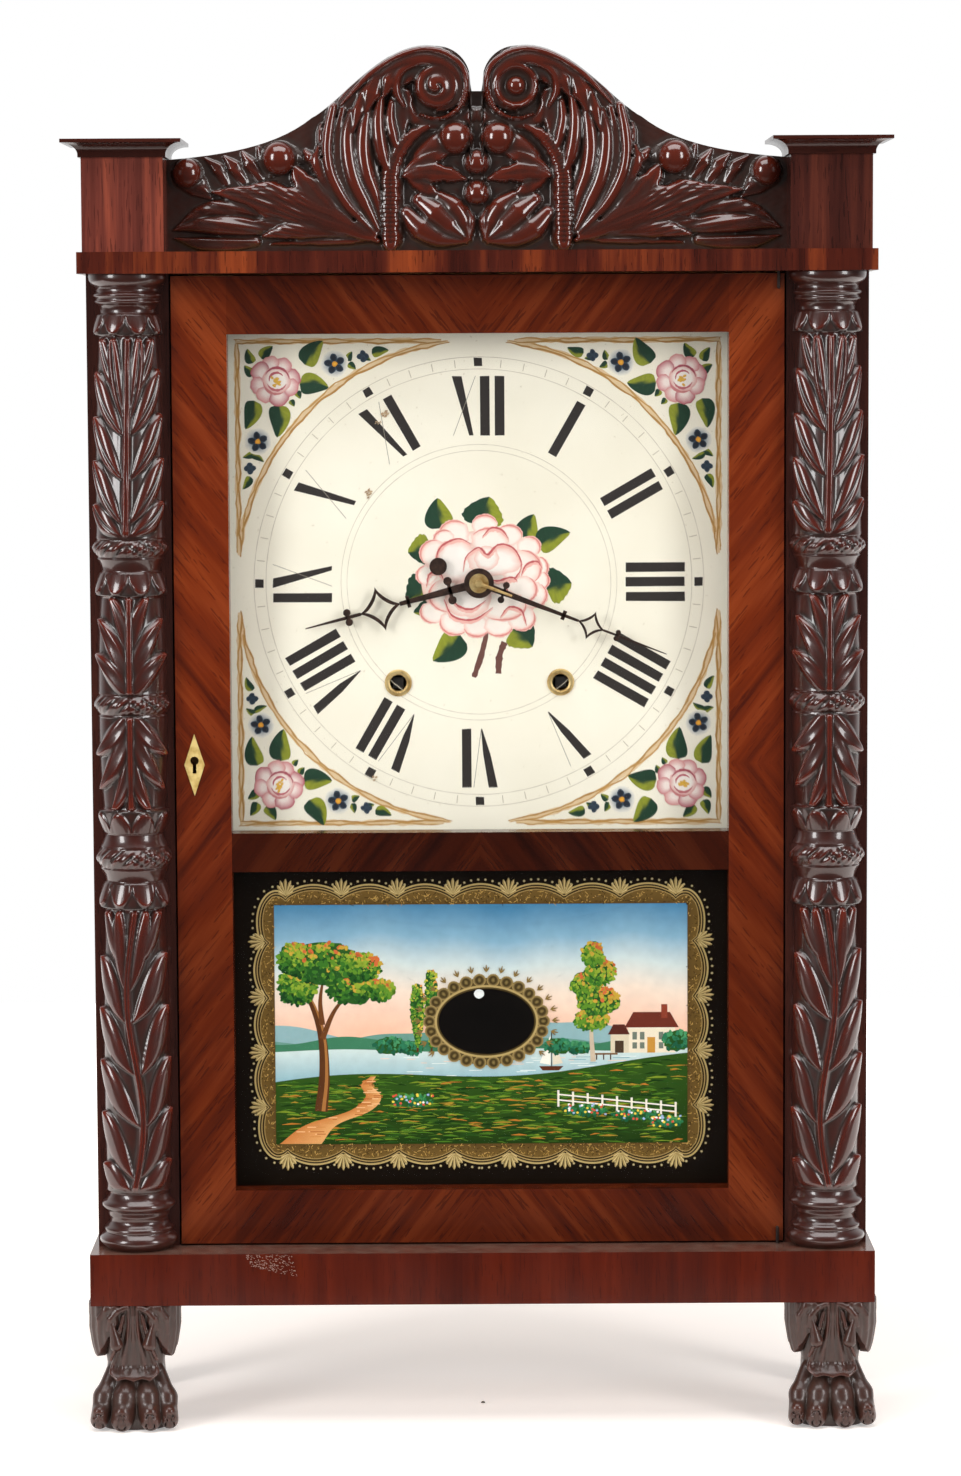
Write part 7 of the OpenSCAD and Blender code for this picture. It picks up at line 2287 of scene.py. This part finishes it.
    def _cottage(self) -> None:
        """Cream cottage and boathouse on the far shore, with a jetty and a sailing boat."""
        for outline, colour in (
                (((84, -17), (111, -17), (111, -2), (84, -2)), "#ece0c6"),
                (((74, -17), (84.4, -17), (84.4, -6), (74, -6)), "#dccfb2"),
                (((82, -2.4), (113, -2.4), (108, 6.5), (87, 6.5)), "#6d2f22"),
                (((72.5, -6.4), (85, -6.4), (82, -0.6), (75.5, -0.6)), "#57291f"),
                (((103, 3), (106.5, 3), (106.5, 11), (103, 11)), "#8a3d2a"),
                (((95, -17), (99.5, -17), (99.5, -8), (95, -8)), "#c9913c"),
                (((76.5, -17), (81.5, -17), (81.5, -10), (76.5, -10)), "#4b3a2a")):
            self.flat(outline, colour)
        for x in (86.5, 90.8, 101.6, 106):
            self.flat(((x, -9.4), (x + 2.6, -9.4), (x + 2.6, -5), (x, -5)), "#6f7a6c")
            self.flat(((x, -14.6), (x + 2.6, -14.6), (x + 2.6, -11), (x, -11)), "#6f7a6c")
        for x in (66, 70, 74):
            self.line(((x, -21), (x, -17.4)), 0.7, "#4a3322")
        self.line(((64, -17.6), (78, -17.6)), 1, "#7a5836")
        for outline, colour in ((((33, -24.5), (47, -24.5), (44.5, -27), (35, -27)), "#5e2f1c"),
                                (((39.6, -23.8), (39.6, -6.5), (33.4, -22.6)), "#f7f1e2"),
                                (((40.8, -23.8), (40.8, -8.5), (46.6, -22.8)), "#e3d8c0")):
            self.flat(outline, colour)
        self.line(((40.2, -25), (40.2, -5)), 0.5, "#3c2618")

    def _fence(self) -> None:
        """White rail fence and a bed of flowers at the lower right."""
        for k in range(9):
            x, y = 44 + 8.4 * k, -43.5 - 0.9 * k
            self.line(((x, y - 4.5), (x, y + 5)), 1.2, "#e9e3d2")
            if k < 8:
                for lift in (2.6, -0.6):
                    self.line(((x, y + lift), (x + 8.4, y - 0.9 + lift)), 0.8, "#f3eee0")
        for x, y, wide in ((60, -50, 12), (88, -53, 14), (-40, -44, 12), (106, -57, 9)):
            self._foliage((x, y), wide, 3.4, ("#1c5a3c", "#2c7a4c", "#4f9a54"), 70, 1.1)
            for _ in range(26):
                spot = self.random.uniform((x - wide, y - 2.6), (x + wide, y + 3.4))
                tint = self.random.choice(["#f5f3ea", "#f0d24a", "#d9573f", "#9fb7d8"])
                self.dab(spot, 0.8, 0.7, tint, tint, wobble=0.2, count=7)

    def _outline(self) -> Array:
        """Scalloped outer edge of the border, from the bottom's middle anticlockwise.

        Returns:
            The closed outline's places.
        """
        def reach(s: Array) -> Array:
            """How far the edge stands off the picture, at a distance from a joint."""
            return 5.6 + 6.0 * np.abs(np.sin(np.pi * s / self.pitch)) ** 0.7

        u = np.linspace(0, 111.3, 100)
        bottom = np.stack([u, -self.half_h - reach(u - self.pitch / 2)], axis=1)
        corner = bezier(bottom[-1], (120, -self.half_h - 15), (133, -self.half_h + 2),
                        (125.6, -47.5), 24)
        v = np.linspace(-47.5, 0, 44)
        right = np.stack([self.half_w + reach(v + 47.5), v], axis=1)
        quarter = np.vstack([bottom, corner[1:-1], right])
        upper = quarter[-2::-1] * (1, -1)
        side = np.vstack([quarter, upper])
        return np.vstack([side, (side * (-1, 1))[::-1]])

    def _shell(self, spot: Place, angle: float, size: float) -> None:
        """Small fan of seven tapering strokes that opens outwards.

        Args:
            spot: its foot.
            angle: its direction in radians.
            size: its length.
        """
        for k in range(-3, 4):
            turn = angle + k * 0.34
            out = way(turn)
            long = size * (1 - 0.055 * k * k)
            path = np.array([np.array(spot) + out * long * t for t in (0.12, 0.5, 0.82, 1)])
            self.line(path, (0.5, 1.3, 1.9, 0.5), "#a8905a")
            self.line(path + 0.25, (0.1, 0.4, 0.7, 0.1), "#d9c48a")

    def _border(self) -> None:
        """Bronze band, its drawn lines, dots and shells."""
        outline = self._outline()
        closed = np.vstack([outline, outline[:1]])
        inner = np.clip(closed, (-self.half_w, -self.half_h), (self.half_w, self.half_h))
        self.band(closed, inner, rgb("#7a5f2c"), rgb("#5c4520"))
        level = self.level
        for index in range(2200):
            k = self.random.integers(0, len(outline))
            spot = inner[k] + (closed[k] - inner[k]) * self.random.uniform(0.05, 0.7)
            tint = self.random.choice(["#ac8a44", "#43320f", "#c9a45a", "#30240c"])
            self.level = level + index * 0.002
            self.line((spot, spot + self.random.normal(0, 0.9, 2)), 0.32, tint)
        self.level = level + 4
        away = (closed - inner) / np.hypot(*(closed - inner).T)[:, None]
        for shift, width, tint in ((0, 1, "#c0a96e"), (-1, 0.7, "#33281a"), (-1.7, 0.5, "#b59d64"),
                                   (-2.5, 0.6, "#1f180c"), (-3.3, 0.4, "#a8905a")):
            self.line(closed + away * shift, width, tint)
        run = np.concatenate([[0], np.cumsum(np.hypot(*np.diff(closed, axis=0).T))])
        for place in np.arange(0, run[-1], 4.1):
            spot = np.array([np.interp(place, run, (closed + away * 2.6)[:, k]) for k in (0, 1)])
            self.dab(spot, 0.75, 0.75, "#d8cba2", "#9c8856", wobble=0.1, count=8)
        joints = [(s * (self.pitch * (k + 0.5)), t * (self.half_h + 5.4), t * math.pi / 2)
                  for k in range(4) for s in (-1, 1) for t in (-1, 1)]
        joints += [(s * (self.half_w + 5.4), v, 0 if s > 0 else math.pi)
                   for v in (-47.5, -15.8, 16.4, 48.3) for s in (-1, 1)]
        for x, y, angle in joints:
            self._shell((x, y), angle, 9.6)

    def _wreath(self) -> None:
        """Dark oval in a ring of shells, with sprigs that point outwards and a painted highlight on
        the oval.
        """
        cx, cy, wide, high = self.oval
        ring = self.blob((cx, cy), wide + 6.4, high + 6.4, 0, 0, 72)
        self.fan((cx, cy), ring, "#4d3e20", "#6b5830", 0.8)
        count = 26
        for k in range(count):
            angle = k * 2 * math.pi / count
            spot = np.array([cx + (wide + 5.2) * math.cos(angle), cy + (high + 5.2)
                             * math.sin(angle)])
            self.dab(spot, 3.7, 3.7, "#4a3b1f", "#a8905a", 0.6, 0, 0.03, 16)
            self.dab(spot, 2, 1.5, "#8f7a48", "#2b210d", 0, angle, 0.1, 10)
        edge = self.blob((cx, cy), wide + 1.6, high + 1.6, 0, 0, 72)
        self.line(np.vstack([edge, edge[:1]]), 1.2, "#b79f66")
        self.dab((cx, cy), wide, high, "#0a0807", "#0d0a08", count=72)
        for k in range(21):
            angle = -0.65 + k * (math.pi + 1.3) / 20
            root = np.array([cx, cy]) + way(angle) * (wide + 10.2, high + 9.6)
            for bend in (-0.5, 0, 0.5):
                turn = angle + bend
                tip = root + 4.4 * way(turn) * (1 if bend == 0 else 0.8)
                self.line((root, (root + tip) / 2, tip), (0.2, 0.9, 0.3), "#8a713e")
        # White spot near the top of the dark oval: a painted highlight
        spot = (cx - 4.2, cy + 16)
        self.dab(spot, 3, 2.7, "#f4f6f4", "#e2e8e4", wobble=0.05, count=16)

    def build(self) -> Piece:
        """Paints the tablet.

        Returns:
            The painting.
        """
        black = np.array([(-144.5, -95.5), (144.5, -95.5), (144.5, 93.5), (-144.5, 93.5)])
        self.flat(black, "#140c05")
        self._sky()
        self._ground()
        self._cottage()
        self._trees()
        self._fence()
        self._border()
        self._wreath()
        return self.piece("tablet_painting", self.face_y, (0, self.middle_z),
                          Paint("tablet", 0.42, mottled=0.16, sheen=0.1), Body.DOOR, "tablet_glass")


# Hands, cords and marks


@dataclass(frozen=True)
class Hand:
    """Pierced iron hand: tapered bar, cross dots and a diamond with four hollow sides.

    It is drawn upright from the arbor, then turned clockwise by its angle and cut as a
    thin plate.
    """

    name: str
    node: str
    body: Body
    angle: float
    back_y: float
    boss: float
    bore: float
    diamond: tuple[float, float, float, float]
    bars: tuple[tuple[float, float, float, float], ...]
    dots: tuple[tuple[float, float, float], ...]
    thick: float = 1.1
    arbor_z: float = ARBOR_Z

    @staticmethod
    def star(long: float, wide: float, count: int = 48) -> Array:
        """Outline of a diamond whose sides bend inwards: powers of cosine and sine."""
        a = np.linspace(0, 2 * np.pi, count, endpoint=False)
        return np.stack([wide * np.abs(np.cos(a)) ** 2.7 * np.sign(np.cos(a)),
                         long * np.abs(np.sin(a)) ** 2.7 * np.sign(np.sin(a))], axis=1)

    @staticmethod
    def _plate(outer: Array, inner: Array | None, front: float, back: float) -> tuple[Array, Array]:
        """Solid between two depths, full or pierced, with its corners rounded off a little.

        Args:
            outer: its outline.
            inner: outline of its opening, if any.
            front, back: depths of its faces.

        Returns:
            Points and faces.
        """
        n = len(outer)
        middle = outer.mean(axis=0)
        trim = outer + (middle - outer) * np.minimum(0.22 / (np.linalg.norm(outer - middle, axis=1)
                                                             + 1e-6), 0.3)[:, None]
        rings = [(outer, back), (outer, front + 0.22), (trim, front)]
        if inner is not None:
            rings += [(inner, front), (inner, back)]
        points = np.vstack([np.hstack([ring, np.full((n, 1), depth)]) for ring, depth in rings])
        faces = [grid_faces(len(rings), n, True)]
        i = np.arange(n)
        j = (i + 1) % n
        if inner is not None:
            last = (len(rings) - 1) * n
            return points, np.vstack([*faces, np.stack([last + i, last + j, j, i], axis=1)])
        points = np.vstack([points, [[*middle, front], [*middle, back]]])
        for ring, centre in ((np.stack([2 * n + i, 2 * n + j], 1), 3 * n),
                             (np.stack([j, i], 1), 3 * n + 1)):
            faces.append(np.hstack([ring, np.full((n, 2), centre)]))
        return points, np.vstack(faces)

    def build(self) -> Piece:
        """Makes the hand.

        Returns:
            The dressed object.
        """
        front, back = self.back_y - self.thick, self.back_y
        middle, long, wide, rim = self.diamond
        circle = way(np.linspace(0, 2 * np.pi, 32, endpoint=False))
        hollow = self.star(long - 2.6 * rim, wide - 2.6 * rim)
        parts = [self._plate(circle * self.boss, circle * self.bore, front - 0.3, back),
                 self._plate(self.star(long, wide) + (0, middle), hollow + (0, middle), front,
                             back)]
        # Every bar is a tapered quadrilateral and every dot a disc
        for low, high, wide_low, wide_high in self.bars:
            outline = np.array([(-wide_low / 2, low), (wide_low / 2, low), (wide_high / 2, high),
                                (-wide_high / 2, high)])
            parts.append(self._plate(outline, None, front, back))
        for x, y, r in self.dots:
            parts.append(self._plate(circle * r + (x, y), None, front - 0.2, back))
        points, faces, count = [], [], 0
        for place, quads in parts:
            points.append(place)
            faces += [list(dict.fromkeys(q)) for q in (quads + count).tolist()]
            count += len(place)
        flat = np.vstack(points)
        a = math.radians(self.angle)
        x = flat[:, 0] * math.cos(a) + flat[:, 1] * math.sin(a)
        z = flat[:, 1] * math.cos(a) - flat[:, 0] * math.sin(a) + self.arbor_z
        made = to_mesh(self.name, np.stack([x, flat[:, 2], z], axis=1), faces, smooth=False)
        outward(made)
        iron = Metal("blued_iron", "#33251f", "#4a342a", 0.38, metallic=0.5, patch_mm=3)
        return hand_over(made, iron, self.body, self.node)


HANDS: tuple[Hand, ...] = (
    Hand("pierced_minute_hand", "minute_hand", Body.MINUTE, 111, -13, 8.5, 2.25,
         (68, 8.6, 8.6, 1),
         ((2.6, 60.5, 4.2, 1.5), (75.4, 84.5, 1.3, 1.3), (83, 114, 1.7, 0.5),
          (50.4, 52.6, 5.4, 5.4), (14.2, 15.8, 8.4, 8.4)),
         ((1.8, 84, 1.5), (-1.8, 84, 1.5), (4.4, 15, 1.9), (-4.4, 15, 1.9))),
    Hand("pierced_hour_hand", "hour_hand", Body.HOUR, 255.5, -10.6, 7, 4.05,
         (58, 12.6, 13, 1.4),
         ((4.4, 46.6, 5, 2.4), (69.4, 78.5, 1.9, 1.9), (77, 102, 2, 0.6),
          (40.6, 42.6, 6.8, 6.8), (16, 18, 11, 11)),
         ((2.8, 77, 2.1), (-2.8, 77, 2.1), (5.6, 17, 2.4), (-5.6, 17, 2.4), (15, 20, 5))))


@dataclass
class TwistedCord:
    """Linen cord of three strands, as a tube whose section turns along it.

    Attributes:
        name: name of the piece.
        node: the node that it stands for.
        body: the body that it rides on.
        paths: middle lines of its runs, in millimetres.
        radius: half of its thickness.
        pitch: length of one turn of the strands.
    """

    name: str
    node: str
    body: Body
    paths: list[Array]
    radius: float = 0.75
    pitch: float = 4.2

    def build(self) -> Piece:
        """Makes the tube or tubes.

        Returns:
            The dressed object.
        """
        points, faces, uvs, count, sides = [], [], [], 0, 15
        for path in self.paths:
            run = np.concatenate([[0], np.cumsum(np.linalg.norm(np.diff(path, axis=0), axis=1))])
            at = np.arange(0, run[-1] + 0.35, 0.7)
            line = np.stack([np.interp(at, run, path[:, k]) for k in range(3)], axis=1)
            ahead = np.gradient(line, axis=0)
            ahead /= np.linalg.norm(ahead, axis=1)[:, None]
            side = np.broadcast_to([0, 1, 0], ahead.shape)
            up = np.cross(ahead, side)
            turn = np.linspace(0, 2 * np.pi, sides, endpoint=False)[None, :]
            twist = 2 * np.pi * at[:, None] / self.pitch
            r = self.radius * (0.88 + 0.12 * np.abs(np.cos(1.5 * (turn - twist))))
            ring = (line[:, None, :] + r[..., None] * (np.cos(turn)[..., None] * side[:, None, :]
                                                      + np.sin(turn)[..., None] * up[:, None, :]))
            points.append(ring.reshape(-1, 3))
            faces += grid_faces(len(line), sides, True, count).tolist()
            faces += [list(range(count, count + sides)),
                      list(range(count + (len(line) - 1) * sides, count + len(line) * sides))[::-1]]
            uvs.append(np.stack([(at[:, None] * 0.5 + 0 * turn).ravel(),
                                 (turn / (2 * np.pi) * 2 + 0 * at[:, None]).ravel()], axis=1))
            count += ring.shape[0] * sides
        made = to_mesh(self.name, np.vstack(points), faces)
        outward(made)
        layer = made.data.uv_layers.new(name="along")
        corners = np.empty(len(made.data.loops), dtype=np.int32)
        made.data.loops.foreach_get("vertex_index", corners)
        layer.data.foreach_set("uv", np.vstack(uvs)[corners].astype(np.float32).ravel())
        return hand_over(made, Linen(), self.body, self.node)


@dataclass
class Cords:
    """The winding cords: a run over each pulley, and a drop to each weight."""

    cord_y: float = 31.3
    weight_x: float = 185.4
    pulley_x: float = 168.65
    pin_z: float = 666.2
    reach: float = 16.75
    low: tuple[float, float] = (31.3122, 428.479)
    leave: float = 153.482
    drop_low: float = 235.7

    def build(self) -> None:
        """Makes the runs on the case and the drops to the weights."""
        angle = np.radians(np.linspace(self.leave, 0, 40))
        arc = np.stack([self.pulley_x + self.reach * np.cos(angle), 0 * angle + self.cord_y,
                        self.pin_z + self.reach * np.sin(angle)], axis=1)
        run = np.vstack([[self.low[0], self.cord_y, self.low[1]], arc])
        mirrored = run * (-1, 1, 1)
        TwistedCord("winding_cords", "cord_runs", Body.CASE, [run, mirrored]).build()
        for side, joint in ((1, "time"), (-1, "strike")):
            drop = np.array([(side * self.weight_x, self.cord_y, z)
                             for z in (self.drop_low, self.pin_z)])
            made = TwistedCord(f"{joint}_weight_cord", f"{joint}_cord_drop", Body.CASE,
                               [drop]).build()
            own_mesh(made)


@dataclass
class BaseMarks(Painter):
    """A worn patch of pale flecks on the base's front, where rubbing has worn it."""

    face_y: float = -58.2
    corner: tuple[float, float] = (-134, 101)
    size: tuple[float, float] = (26, 12.6)

    def __post_init__(self) -> None:
        """Starts the painting."""
        super().__init__(5, 0.0006)

    def build(self) -> Piece:
        """Paints the flecks in slanting rows.

        Returns:
            The painting.
        """
        for _ in range(420):
            s, t = self.random.uniform(0, 1, 2)
            rows = math.sin(t * 30 + 2.5 * s) * math.sin(s * 23 - 6 * t)
            if rows < self.random.uniform(-0.7, 0.6):
                continue
            place = np.array(self.corner) + (s * self.size[0] + 3 * t,
                                             -t * self.size[1] * (0.55 + 0.45 * s))
            self.dab(place, self.random.uniform(0.2, 0.5), 0.16, "#b79c90", "#8f6f63", 0, -0.5, 0.2,
                     6)
        return self.piece("base_marks", self.face_y, (0, 0), Paint("marks", 0.6), Body.CASE,
                          "mahogany")


def main() -> None:
    """Builds the clock's looks round the frame."""
    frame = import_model()
    Studio().build()
    FrameDress(frame["nodes"]).build()
    columns = [HalfColumn(side).build() for side in (-1, 1)]
    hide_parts("columns")
    CarvedCrest().build()
    paws = [LionPaw(side).build() for side in (-1, 1)]
    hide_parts("paw_feet")
    DialPainting().build()
    TabletPainting().build()
    for hand in HANDS:
        hand.build()
    Cords().build()
    BaseMarks().build()


if __name__ == "__main__":
    logging.basicConfig(level=logging.INFO, format="%(name)s: %(message)s")
    main()
